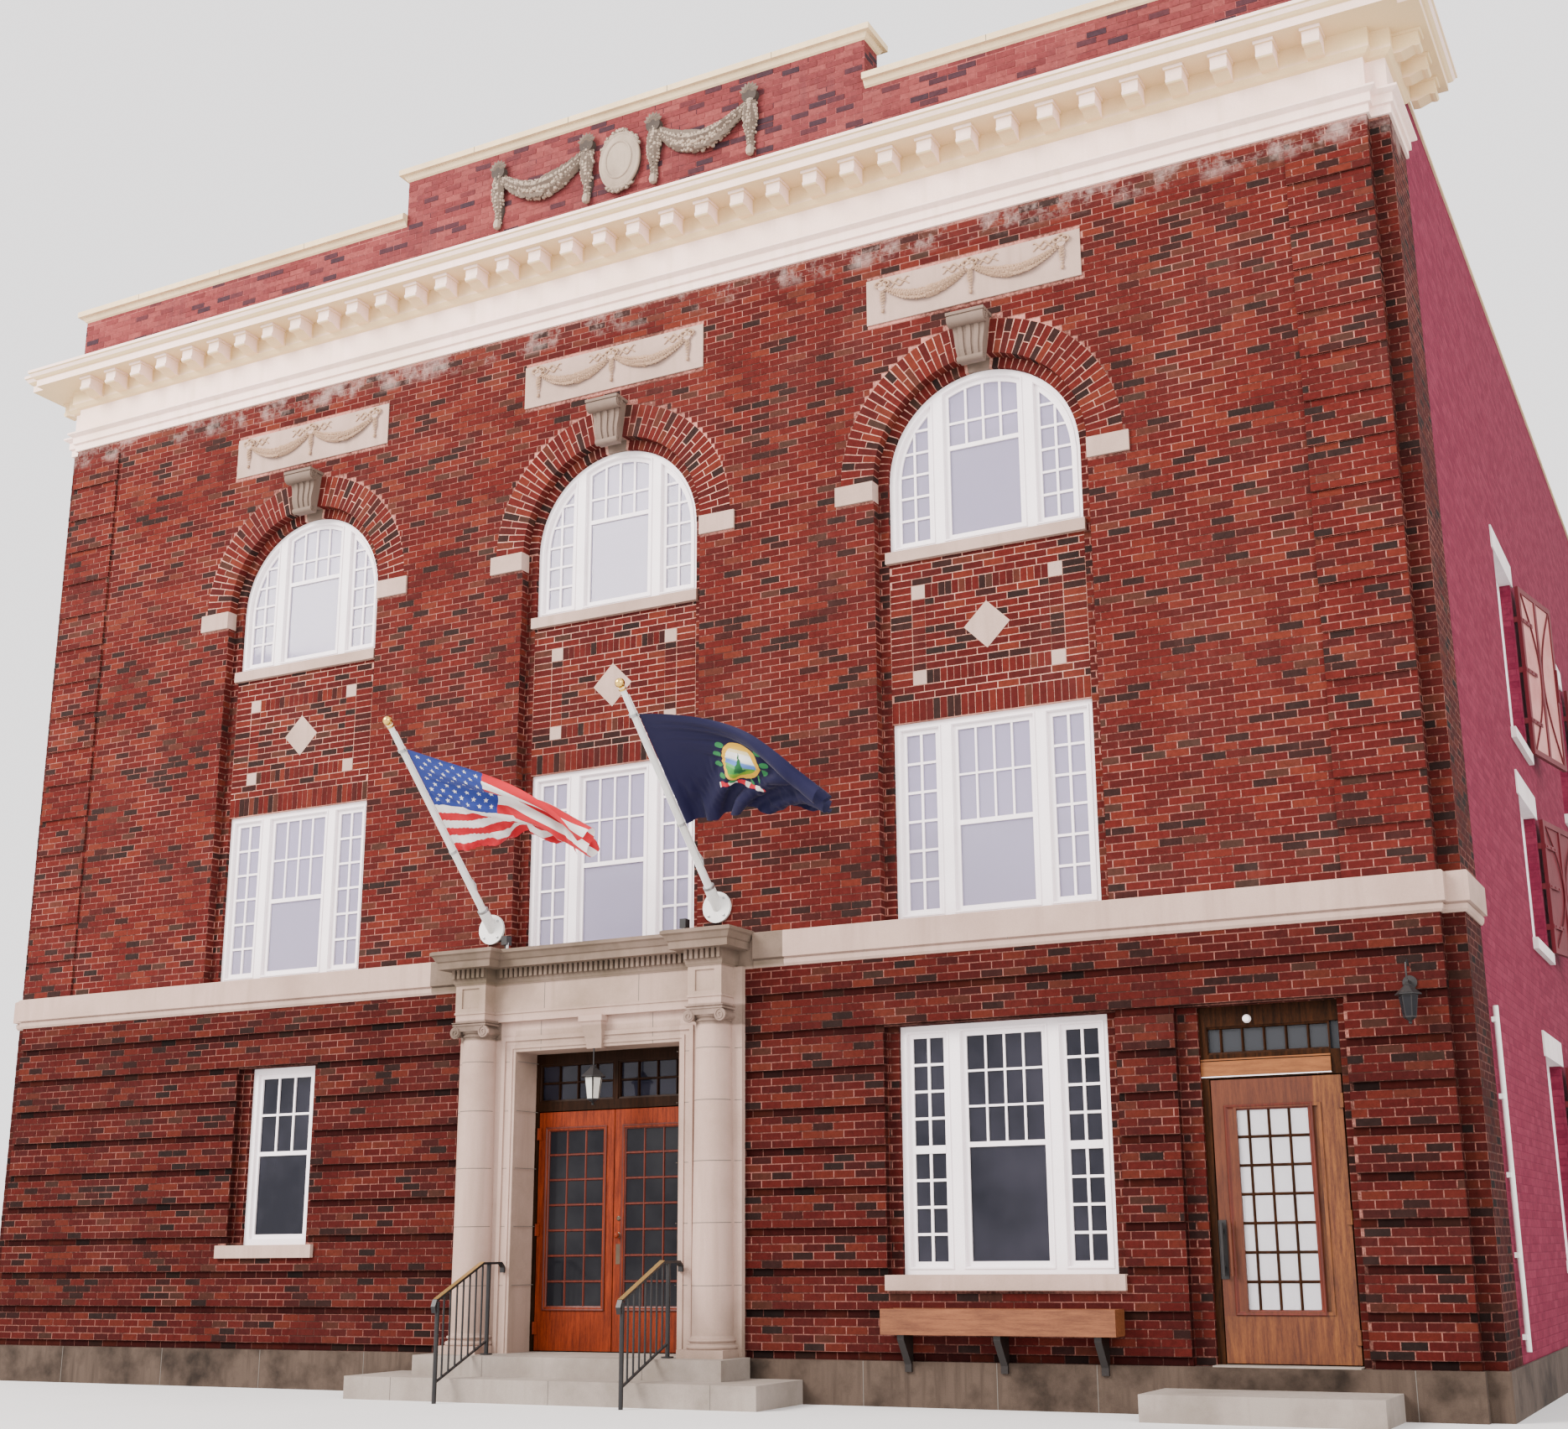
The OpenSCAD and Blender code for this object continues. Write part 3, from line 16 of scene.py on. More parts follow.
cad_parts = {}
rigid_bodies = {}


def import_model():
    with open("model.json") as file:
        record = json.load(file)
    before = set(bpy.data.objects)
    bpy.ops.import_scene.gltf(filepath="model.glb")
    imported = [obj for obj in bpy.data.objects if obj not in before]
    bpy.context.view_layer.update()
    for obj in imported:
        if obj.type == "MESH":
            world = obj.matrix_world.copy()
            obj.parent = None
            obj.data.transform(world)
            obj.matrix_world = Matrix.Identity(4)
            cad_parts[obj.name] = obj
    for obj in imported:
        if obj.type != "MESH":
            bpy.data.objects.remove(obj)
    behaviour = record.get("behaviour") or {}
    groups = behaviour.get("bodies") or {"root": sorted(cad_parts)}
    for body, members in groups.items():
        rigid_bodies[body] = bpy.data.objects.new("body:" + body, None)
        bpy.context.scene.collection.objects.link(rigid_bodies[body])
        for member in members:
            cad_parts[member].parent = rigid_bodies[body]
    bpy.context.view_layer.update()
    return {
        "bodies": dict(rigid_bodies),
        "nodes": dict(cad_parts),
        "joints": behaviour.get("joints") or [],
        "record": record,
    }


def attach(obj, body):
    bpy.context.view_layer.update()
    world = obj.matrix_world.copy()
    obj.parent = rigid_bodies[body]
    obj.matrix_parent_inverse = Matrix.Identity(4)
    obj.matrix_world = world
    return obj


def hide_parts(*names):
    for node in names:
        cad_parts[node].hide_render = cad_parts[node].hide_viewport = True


LOG = logging.getLogger("town_hall")
Point = tuple[float, float, float]
Colour = tuple[float, float, float]
Pair = tuple[float, float]


@dataclass(frozen=True)
class Levels:
    """Sizes of the building that its dressing is set out from, in metres."""

    front_half: float = 7.67
    body_half: float = 7.84
    strip_back: float = 0.10
    course: float = 0.068
    brick: float = 0.203
    joint: float = 0.010
    found: float = 0.36
    belt: float = 3.73
    upper: float = 4.05
    window_head: float = 5.856
    sill_top: float = 7.5
    sill: float = 0.11
    spring: float = 8.206
    cornice: float = 10.67
    crown: float = 11.66
    bay: float = 3.975
    arch_r: float = 1.05
    light_r: float = 0.948
    ring: float = 0.335
    step_back: float = 0.11
    step_w: float = 0.102
    frame_back: float = 0.15
    ground_head: float = 3.13
    upper_h: float = 1.806
    wide_half: float = 1.05
    wide_sill: float = 1.05
    wide_h: float = 2.08
    small_x: float = -3.94
    small_half: float = 0.525
    small_sill: float = 1.36
    box_foot: float = 0.578


L = Levels()
BAYS = (-L.bay, 0.0, L.bay)


class Slot(Enum):
    """Material slots of the record."""

    GRANITE = "granite"
    FLOOR = "floor_boards"
    ROOFING = "roofing"
    BRICK = "brick"
    PAINTED_BRICK = "painted_brick"
    PARAPET_BRICK = "parapet_brick"
    LIMESTONE = "limestone"
    WHITE_STONE = "white_stone"
    CREAM = "cream_paint"
    CAST_STONE = "cast_stone"
    WHITE = "white_paint"
    GLASS = "window_glass"
    SHUTTER = "shutter_paint"
    DARK_WOOD = "dark_wood"
    DOOR_WOOD = "door_wood"
    IRON = "black_iron"
    POLE = "pole_paint"
    FLAG = "flag_cloth"
    BOX_WOOD = "box_wood"


def _operator(operation: str, swapped: bool = False) -> Callable[[Value, object], Value]:
    """Makes an operator of Value, with its operands swapped in the right-hand form."""
    def apply(self: Value, other: object) -> Value:
        """Adds the Math node."""
        return self.tree.math(operation, other, self) if swapped else self.tree.math(operation, self, other)
    return apply


class Value:
    """An output of a shader node; arithmetic and comparisons with it add Math nodes."""

    __add__, __radd__ = _operator("ADD"), _operator("ADD", True)
    __sub__, __rsub__ = _operator("SUBTRACT"), _operator("SUBTRACT", True)
    __mul__, __rmul__ = _operator("MULTIPLY"), _operator("MULTIPLY", True)
    __truediv__, __rtruediv__ = _operator("DIVIDE"), _operator("DIVIDE", True)
    __mod__ = _operator("MODULO")
    __lt__, __gt__ = _operator("LESS_THAN"), _operator("GREATER_THAN")

    def __init__(self, tree: TreeWriter, socket: bpy.types.NodeSocket) -> None:
        """Keeps the socket and the writer of its tree."""
        self.tree = tree
        self.socket = socket

    def __abs__(self) -> Value:
        """Size of the value without its sign."""
        return self.tree.math("ABSOLUTE", self)


class TreeWriter:
    """Writer of the nodes of one material or node group."""

    def __init__(self, tree: bpy.types.NodeTree) -> None:
        """Keeps the tree that nodes go into."""
        self.tree = tree

    def add(self, kind: str, inputs: dict | None = None, **values: object) -> bpy.types.Node:
        """Adds a node, sets its properties and joins its inputs.

        Args:
            kind: Blender's name of the node type, where ShaderNode may be left out.
            inputs: what goes into each input, by the input's name or number.
            values: properties of the node by name.

        Returns:
            The new node.
        """
        node = self.tree.nodes.new(kind if "Node" in kind else "ShaderNode" + kind)
        for name, value in values.items():
            setattr(node, name, value)
        self.fill(node, inputs or {})
        return node

    def fill(self, node: bpy.types.Node, inputs: dict) -> None:
        """Joins values, numbers or colours to a node's inputs."""
        for key, source in inputs.items():
            target = node.inputs[key]
            if isinstance(source, Value):
                self.tree.links.new(source.socket, target)
            elif target.type == "RGBA" and len(source) == 3:
                target.default_value = (*source, 1.0)
            else:
                target.default_value = source

    def value(self, kind: str, inputs: dict | None = None, output: int | str = 0, **values: object) -> Value:
        """Adds a node as add does, and returns one of its outputs."""
        return Value(self, self.add(kind, inputs, **values).outputs[output])

    def math(self, operation: str, *inputs: object) -> Value:
        """Adds a Math node and returns its result."""
        return self.value("Math", dict(enumerate(inputs)), operation=operation)

    def mix(self, factor: object, first: object, second: object, blend: str = "MIX") -> Value:
        """Mixes two colours by a factor."""
        inputs = {"Factor": factor, 6: first, 7: second}
        return self.value("Mix", inputs, 2, data_type="RGBA", blend_type=blend)

    def tint(self, colour: object, other: object) -> Value:
        """Multiplies a colour by a grey or by another colour."""
        return self.mix(1.0, colour, other, "MULTIPLY")

    def ramp(self, factor: Value, stops: Sequence[tuple[float, object]], steps: bool = False) -> Value:
        """Reads a value through a colour ramp.

        Args:
            factor: what the ramp reads.
            stops: position and grey level or colour of each stop.
            steps: whether the colours change at once at each stop.

        Returns:
            The ramp's colour.
        """
        node = self.add("ValToRGB", {0: factor})
        elements = node.color_ramp.elements
        while len(elements) < len(stops):
            elements.new(0.5)
        for element, (place, colour) in zip(elements, stops):
            element.position = place
            grey = isinstance(colour, (int, float))
            element.color = (colour, colour, colour, 1.0) if grey else (*colour, 1.0)
        if steps:
            node.color_ramp.interpolation = "CONSTANT"
        return Value(self, node.outputs[0])

    def noise(self, vector: Value, scale: float, detail: float = 4.0, rough: float = 0.55) -> Value:
        """Adds a noise texture."""
        inputs = {"Vector": vector, "Scale": scale, "Detail": detail, "Roughness": rough}
        return self.value("TexNoise", inputs, "Fac")

    def stretch(self, vector: Value, scale: Point) -> Value:
        """Scales a vector by axis with a Mapping node."""
        return self.value("Mapping", {"Vector": vector, "Scale": scale})

    def xyz(self, vector: Value) -> list[Value]:
        """Splits a vector into its three parts."""
        return [Value(self, part) for part in self.add("SeparateXYZ", {0: vector}).outputs]

    def group(self, tree: bpy.types.NodeTree, **inputs: object) -> dict[str, Value]:
        """Places a node group, joins its inputs by name and returns its outputs by name."""
        node = self.add("Group", node_tree=tree)
        self.fill(node, inputs)
        return {output.name: Value(self, output) for output in node.outputs}


class GroupTree(TreeWriter):
    """Writer of a shader node group that several materials share."""

    def __init__(self, name: str, inputs: dict[str, float | None], outputs: Sequence[str]) -> None:
        """Starts the group.

        Args:
            name: name of the group.
            inputs: default of each input by its name, or None where it takes a vector.
            outputs: names of the outputs, which are all single values.
        """
        super().__init__(bpy.data.node_groups.new(name, "ShaderNodeTree"))
        new_socket = self.tree.interface.new_socket
        for label, default in inputs.items():
            kind = "NodeSocketVector" if default is None else "NodeSocketFloat"
            socket = new_socket(name=label, in_out="INPUT", socket_type=kind)
            if default is not None:
                socket.default_value = default
        for label in outputs:
            new_socket(name=label, in_out="OUTPUT", socket_type="NodeSocketFloat")
        node = self.tree.nodes.new("NodeGroupInput")
        self.given = {label: Value(self, node.outputs[label]) for label in inputs}

    def give(self, **values: Value) -> bpy.types.NodeTree:
        """Joins the group's outputs and returns its tree."""
        self.fill(self.tree.nodes.new("NodeGroupOutput"), values)
        return self.tree


class MaterialTree(TreeWriter):
    """Writer of one material."""

    def __init__(self, name: str) -> None:
        """Starts the material and reads the object coordinates."""
        self.material = bpy.data.materials.new(name)
        self.material.use_nodes = True
        self.material.node_tree.nodes.clear()
        super().__init__(self.material.node_tree)
        self.place = self.value("TexCoord", output="Object")

    def facing(self) -> Value:
        """Direction in which the surface faces."""
        return self.value("TexCoord", output="Normal")

    def finish(self, height: Value | None = None, strength: float = 0.0, distance: float = 0.0,
               **inputs: object) -> bpy.types.Material:
        """Adds the Principled shader and returns the material.

        Args:
            height: what the bump is made from, if the surface has one.
            strength: strength of the bump.
            distance: depth of the bump in metres.
            inputs: what goes into the shader's inputs, with spaces written as underscores.
        """
        named = {name.replace("_", " "): value for name, value in inputs.items()}
        if height:
            bump = {"Height": height, "Strength": strength, "Distance": distance}
            named["Normal"] = self.value("Bump", bump)
        self.add("OutputMaterial", {"Surface": self.value("BsdfPrincipled", named)})
        return self.material


@dataclass
class Effects:
    """Shader node groups that several finishes share."""

    courses: bpy.types.NodeTree = field(init=False)
    weather: bpy.types.NodeTree = field(init=False)
    grain: bpy.types.NodeTree = field(init=False)
    skin: bpy.types.NodeTree = field(init=False)
    band: bpy.types.NodeTree = field(init=False)

    def __post_init__(self) -> None:
        """Builds every group once."""
        self.courses = self.make_courses()
        self.weather = self.make_weather()
        self.grain = self.make_grain()
        self.skin = self.make_skin()
        self.band = self.make_band()

    @staticmethod
    def make_skin() -> bpy.types.NodeTree:
        """Small variations over brickwork: a mottle to multiply by, and masks of pale mortar and of bloom."""
        t = GroupTree("brick skin", {"Place": None}, ("Mottle", "Pale", "Bloom"))
        place = t.given["Place"]
        both = t.noise(place, 1.4) * 0.55 + t.noise(place, 31.0, 3.0, 0.7) * 0.45
        return t.give(Mottle=t.ramp(t.noise(place, 22.0, 5.0), [(0.25, 0.72), (0.75, 1.25)]),
                      Pale=t.ramp(both, [(0.42, 0.0), (0.58, 1.0)]),
                      Bloom=t.ramp(t.noise(place, 2.6, 6.0, 0.7), [(0.48, 0.0), (0.66, 1.0)]))

    @staticmethod
    def make_band() -> bpy.types.NodeTree:
        """Soft mask of a value between two limits."""
        t = GroupTree("soft band", {"Value": 0.0, "Low": 0.0, "High": 1.0, "Soft": 0.1}, ("Mask",))
        value, low, high, soft = t.given.values()
        masks = [t.value("MapRange", {"Value": value, "From Max": edge, "From Min": outside})
                 for edge, outside in ((low, low - soft), (high, high + soft))]
        return t.give(Mask=t.math("MINIMUM", *masks))

    @staticmethod
    def make_courses() -> bpy.types.NodeTree:
        """Bricks in running bond on upright faces, from a place and the face's direction.

        Returns:
            A group that puts out a tone for each brick, the mask of the joints, a height and the mask of
            the level joints.
        """
        t = GroupTree("brick courses", {"Place": None, "Facing": None, "Length": L.brick, "Course": L.course,
                                        "Joint": L.joint, "Base": 0.0}, ("Tone", "Joint", "Height", "Level"))
        place, facing, length, course, joint, base = t.given.values()
        x, y, z = t.xyz(place)
        across, _, up = t.xyz(facing)
        sideways = abs(across) > 0.7
        upwards = abs(up) > 0.7
        along = y * sideways + x * (1 - sideways)
        rise = y * upwards + (z - base) * (1 - upwards)
        v = rise / course
        row = t.math("FLOOR", v)
        u = along / length + abs(row) % 2 * 0.5
        cell = t.value("CombineXYZ", {0: t.math("FLOOR", u), 1: row, 2: sideways})
        tone = t.value("TexWhiteNoise", {"Vector": cell}, "Value", noise_dimensions="3D")
        half = joint / 2
        gap_u = t.math("PINGPONG", u, 0.5) * length
        gap_v = t.math("PINGPONG", v, 0.5) * course
        height = t.value("MapRange", {"Value": t.math("MINIMUM", gap_u, gap_v), "From Min": half * 0.7,
                                      "From Max": half * 1.5})
        return t.give(Tone=tone, Joint=1 - height, Height=height, Level=gap_v < half * 1.2)

    @staticmethod
    def make_weather() -> bpy.types.NodeTree:
        """Masks of patches, rain streaks and fine grit."""
        t = GroupTree("weather", {"Place": None, "Size": 1.0}, ("Patch", "Streak", "Grit"))
        place, size = t.given.values()
        scaled = t.value("VectorMath", {0: place, "Scale": 1 / size}, operation="SCALE")
        streak = t.noise(t.stretch(scaled, (5.0, 5.0, 0.35)), 1.6, 5.0)
        return t.give(Patch=t.ramp(t.noise(scaled, 0.9, 6.0, 0.62), [(0.42, 0.0), (0.68, 1.0)]),
                      Streak=t.ramp(streak, [(0.45, 0.0), (0.72, 1.0)]),
                      Grit=t.noise(place, 140.0, 3.0, 0.7))

    @staticmethod
    def make_grain() -> bpy.types.NodeTree:
        """Wood grain that runs along the direction in which the place is squeezed."""
        t = GroupTree("wood grain", {"Place": None}, ("Grain",))
        place = t.given["Place"]
        return t.give(Grain=t.noise(place, 3.0, 3.0) * 0.55 + t.noise(place, 26.0, 4.0, 0.7) * 0.45)


@dataclass(frozen=True)
class StainAndShade:
    """A zone between two levels, within a distance of the front's middle, that carries a stain or a painted
    shade.
    """

    low: float
    high: float
    colour: Colour
    strength: float
    reach: float = 99.0
    soft: float = 0.08
    least: float = 0.45
    beyond: float = 0.0

    def apply(self, t: MaterialTree, effects: Effects, colour: Value, noise: Value) -> Value:
        """Lays the zone's stain or painted shade over a colour.

        Args:
            t: writer of the material's nodes.
            effects: the shared node groups.
            colour: the colour so far.
            noise: a mask that breaks the stain up.

        Returns:
            The stained colour.
        """
        x, _, z = t.xyz(t.place)
        level = t.group(effects.band, Value=z, Low=self.low, High=self.high, Soft=self.soft)["Mask"]
        aside = abs(x)
        near = (aside < self.reach) * (aside > self.beyond)
        broken = self.least + noise * (1 - self.least)
        return t.mix(level * near * (broken * self.strength), colour, self.colour)


class Surface:
    """What every finish can do."""

    def make(self, effects: Effects) -> bpy.types.Material:
        """Builds the finish's material.

        Args:
            effects: the shared node groups.

        Returns:
            The material.
        """
        raise NotImplementedError


@dataclass(frozen=True)
class Finish(Surface):
    """A finish with a base colour, a second colour for its weather and a surface."""

    name: str
    base: Colour
    worn: Colour
    rough: float = 0.7
    metal: float = 0.0
    bump: float = 0.15
    patch: float = 0.4
    streak: float = 0.3
    size: float = 1.0
    shine: float = 0.25
    stains_and_shades: tuple[StainAndShade, ...] = ()
    # under: colour of the painted shade on undersides and between the cornice's brackets.
    under: Colour | None = None

    def make(self, effects: Effects) -> bpy.types.Material:
        """Mixes the two colours by dirt, then lays each stain, each zone of painted shade and grit over them.
        """
        t = MaterialTree(self.name)
        weather = t.group(effects.weather, Place=t.place, Size=self.size)
        dirt = t.math("MAXIMUM", weather["Patch"] * self.patch, weather["Streak"] * self.streak)
        colour = t.mix(dirt, self.base, self.worn)
        for stain in self.stains_and_shades:
            colour = stain.apply(t, effects, colour, weather["Patch"])
        # Painted shade: undersides and the band between the cornice's brackets turn yellowish.
        if self.under:
            colour = self.shaded(t, effects, colour)
        colour = t.tint(colour, t.ramp(weather["Grit"], [(0.3, 0.9), (0.7, 1.08)]))
        rough = self.rough + dirt * 0.15
        return t.finish(weather["Grit"], self.bump, 0.002, Base_Color=colour, Roughness=rough,
                        Metallic=self.metal, Specular_IOR_Level=self.shine)

    def shaded(self, t: MaterialTree, effects: Effects, colour: Value) -> Value:
        """Painted yellowish shade on undersides and in the band between the cornice's brackets."""
        _, y, z = t.xyz(t.place)
        down = (t.xyz(t.facing())[2] < -0.5) * (z > L.cornice + 0.24)
        band = t.group(effects.band, Value=z, Low=L.cornice + 0.64, High=L.cornice + 0.79, Soft=0.09)["Mask"]
        return t.mix(t.math("MAXIMUM", down, band * (y > -0.11)) * 0.8, colour, self.under)


@dataclass(frozen=True)
class BrickFinish(Surface):
    """Brickwork of mixed bricks with pale joints."""

    name: str
    tones: tuple[tuple[float, Colour], ...]
    mortar: tuple[Colour, Colour]
    stain: Colour
    laid: bool = True
    stain_from: float = 0.0
    joint_show: float = 1.0
    upper_base: float = L.upper
    bed_only: bool = False
    behind_bricks: bool = False
    # groove: whether the painted shade of the ground storey and its recessed courses, and the darker corner
    # strips, are laid on.
    groove: bool = False
    bloom: float = 0.0

    def make(self, effects: Effects) -> bpy.types.Material:
        """Draws the courses, or reads each brick's tone where bricks are laid, weathers them and, where the
        finish asks, lays painted shade.
        """
        t = MaterialTree(self.name)
        weather = t.group(effects.weather, Place=t.place, Size=1.0)
        skin = t.group(effects.skin, Place=t.place)
        x, y, z = t.xyz(t.place)
        mortar = t.mix(skin["Pale"], self.mortar[1], self.mortar[0])
        if self.laid:
            tone: Value = t.value("Attribute", output="Fac", attribute_name="tone")
            joint: Value | float = 0.0
            height, strength, distance = weather["Grit"], 0.3, 0.003
        else:
            base = L.found + (z > (L.found + self.upper_base) / 2 + 1.6) * (self.upper_base - L.found)
            facing = t.facing()
            courses = t.group(effects.courses, Place=t.place, Facing=facing, Base=base)
            tone = courses["Tone"]
            joint = courses["Joint"] * self.joint_show
            if self.behind_bricks:
                joint = t.math("MAXIMUM", joint, self.bed(t, facing, x, y))
                mortar = t.mix(courses["Level"] * 0.6, mortar, t.tint(mortar, (0.3, 0.3, 0.3)))
            height, strength, distance = courses["Height"], 0.7, 0.004
        body = t.mix(0.8, t.ramp(tone, self.tones), skin["Mottle"], "MULTIPLY")
        colour = mortar if self.bed_only else t.mix(joint, body, mortar)
        stain = weather["Patch"] * t.ramp(weather["Streak"], [(0.0, 0.3), (1.0, 1.0)])
        colour = t.mix(stain * (0.08 + self.stain_from), colour, self.stain)
        if self.bloom:
            salts = StainAndShade(10.52, 10.8, BLOOM, self.bloom, soft=0.12, least=0.02)
            colour = salts.apply(t, effects, colour, skin["Bloom"])
        # Painted shade on the ground storey and in its recessed courses.
        if self.groove:
            colour = self.shade(t, effects, (x, y, z), colour)
        colour = t.tint(colour, t.ramp(weather["Grit"], [(0.3, 0.85), (0.7, 1.12)]))
        return t.finish(height, strength, distance, Base_Color=colour, Roughness=0.88,
                        Specular_IOR_Level=0.05)

    @staticmethod
    def bed(t: MaterialTree, facing: Value, x: Value, y: Value) -> Value:
        """Mask of the front's mortar bed, which the laid bricks cover."""
        ahead = t.xyz(facing)[1] < -0.7
        strip = (abs(x) > L.front_half - 0.01) * (y < L.strip_back + 0.01)
        return ahead * t.math("MAXIMUM", y < 0.06, strip)

    @staticmethod
    def shade(t: MaterialTree, effects: Effects, place: tuple[Value, Value, Value], colour: Value) -> Value:
        """Painted shade: darkens the ground storey a little and its recessed courses more. Also darkens the
        corner strips.
        """
        x, y, z = place
        low = z < L.belt
        aside = abs(x)
        deep = t.group(effects.band, Value=y, Low=0.02, High=0.07, Soft=0.008)["Mask"]
        groove = deep * (aside < L.front_half) * low
        grey = (1 - low * 0.34) * (1 - groove * 0.55) * (1 - (aside > L.front_half - 0.005) * 0.33)
        return t.tint(colour, grey)


@dataclass(frozen=True)
class WoodFinish(Surface):
    """Varnished or painted wood whose grain runs upright or along."""

    name: str
    base: Colour
    dark: Colour
    rough: float = 0.35
    coat: float = 0.15
    shine: float = 0.2
    upright: bool = True
    other: Colour | None = None
    golden: Colour | None = None
    iron_below: float = 0.0

    def make(self, effects: Effects) -> bpy.types.Material:
        """Mixes the two colours by the grain, with another base in places where the finish names one."""
        t = MaterialTree(self.name)
        squeeze = (14.0, 14.0, 1.2) if self.upright else (1.2, 14.0, 14.0)
        grain = t.group(effects.grain, Place=t.stretch(t.place, squeeze))["Grain"]
        x, _, z = t.xyz(t.place)
        base: Value | Colour = self.base
        if self.other:
            base = t.mix(x > 4.0, base, self.other)
        if self.golden:
            base = t.mix(t.math("MAXIMUM", x > 6.565, (z < 0.73) * 0.6), base, self.golden)
        colour = t.mix(t.ramp(grain, [(0.36, 0.0), (0.62, 1.0)]), base, self.dark)
        colour = t.tint(colour, t.ramp(t.noise(t.place, 2.3), [(0.35, 0.85), (0.7, 1.1)]))
        if self.iron_below:
            colour = t.mix(z < self.iron_below, colour, (0.012, 0.009, 0.008))
        return t.finish(grain, 0.12, 0.001, Base_Color=colour, Roughness=self.rough + grain * 0.15,
                        Coat_Weight=self.coat, Coat_Roughness=0.2, Specular_IOR_Level=self.shine)


@dataclass(frozen=True)
class GlassFinish(Surface):
    """Window glass with a slight waviness and a film of dust."""

    name: str
    tint: Colour
    clear: float
    rough: float = 0.04
    low: Colour | None = None
    dust: float = 0.08
    shine: float = 0.3

    def make(self, effects: Effects) -> bpy.types.Material:
        """Mixes dust into the glass, with darker panes in the ground storey where the finish names them."""
        t = MaterialTree(self.name)
        dust = t.ramp(t.noise(t.place, 1.1, 5.0), [(0.4, 0.0), (0.75, 1.0)])
        colour = t.mix(dust * self.dust, self.tint, (0.75, 0.78, 0.8))
        if self.low:
            x, _, z = t.xyz(t.place)
            lower = t.mix(dust * 0.25, self.low, (0.2, 0.19, 0.26))
            # Panes by the side door are a lighter grey: painted reflection.
            lower = t.mix(abs(x - 6.2) < 0.7, lower, (0.06, 0.065, 0.075))
            colour = t.mix(z < L.belt, colour, lower)
        rough = self.rough + dust * 0.04
        return t.finish(t.noise(t.place, 1.7, 1.0), 0.03, 0.02, Base_Color=colour, Roughness=rough,
                        Transmission_Weight=self.clear, IOR=1.35, Specular_IOR_Level=self.shine)


FRONT_BRICK = ((0.0, (0.016, 0.01, 0.009)), (0.1, (0.022, 0.009, 0.008)), (0.15, (0.046, 0.0074, 0.0068)),
               (0.45, (0.061, 0.0078, 0.0068)), (0.75, (0.077, 0.0102, 0.0078)),
               (0.92, (0.098, 0.018, 0.0105)), (1.0, (0.03, 0.016, 0.012)))
FRONT_MORTAR = ((0.42, 0.17, 0.135), (0.09, 0.034, 0.027))
PALE_MORTAR = ((0.52, 0.27, 0.21), (0.25, 0.11, 0.085))
FRONT_STAIN = (0.2, 0.1, 0.085)
BLOOM = (0.42, 0.3, 0.27)
PARAPET_TONES = ((0.0, (0.035, 0.02, 0.026)), (0.12, (0.06, 0.022, 0.027)), (0.16, (0.12, 0.026, 0.027)),
                 (0.5, (0.15, 0.032, 0.033)), (1.0, (0.2, 0.05, 0.047)))
PARAPET_MORTAR = ((0.3, 0.085, 0.08), (0.13, 0.033, 0.03))
PARAPET_STAIN = (0.045, 0.025, 0.03)
SIDE_TONES = ((0.0, (0.135, 0.013, 0.033)), (0.5, (0.157, 0.018, 0.04)), (1.0, (0.18, 0.024, 0.049)))
SIDE_MORTAR = ((0.14, 0.012, 0.034), (0.11, 0.01, 0.027))
SIDE_STAIN = (0.26, 0.05, 0.085)
PORTICO_SOOT = StainAndShade(3.76, 4.2, (0.062, 0.046, 0.028), 0.95, reach=1.97, soft=0.03, least=0.75)
CAPITAL_SOOT = StainAndShade(3.235, 3.4, (0.05, 0.036, 0.024), 0.9, reach=1.6, soft=0.02, least=0.5, beyond=1.08)
# Painted shade in the door surround's inner reveal.
REVEAL_SHADE = StainAndShade(0.3, 3.3, (0.16, 0.115, 0.08), 0.6, reach=0.915, soft=0.02)
# Painted shade over the dentil band under the portico's cornice.
DENTIL_SHADE = StainAndShade(3.5, 3.72, (0.13, 0.1, 0.06), 0.6, reach=1.97)
# Painted shade over the keystones' fluted faces.
KEYSTONE_SHADE = StainAndShade(9.1, 9.74, (0.12, 0.085, 0.065), 1.0, soft=0.02, least=0.85)
FOOT_SOOT = StainAndShade(0.0, 0.6, (0.13, 0.1, 0.07), 0.5, soft=0.4)

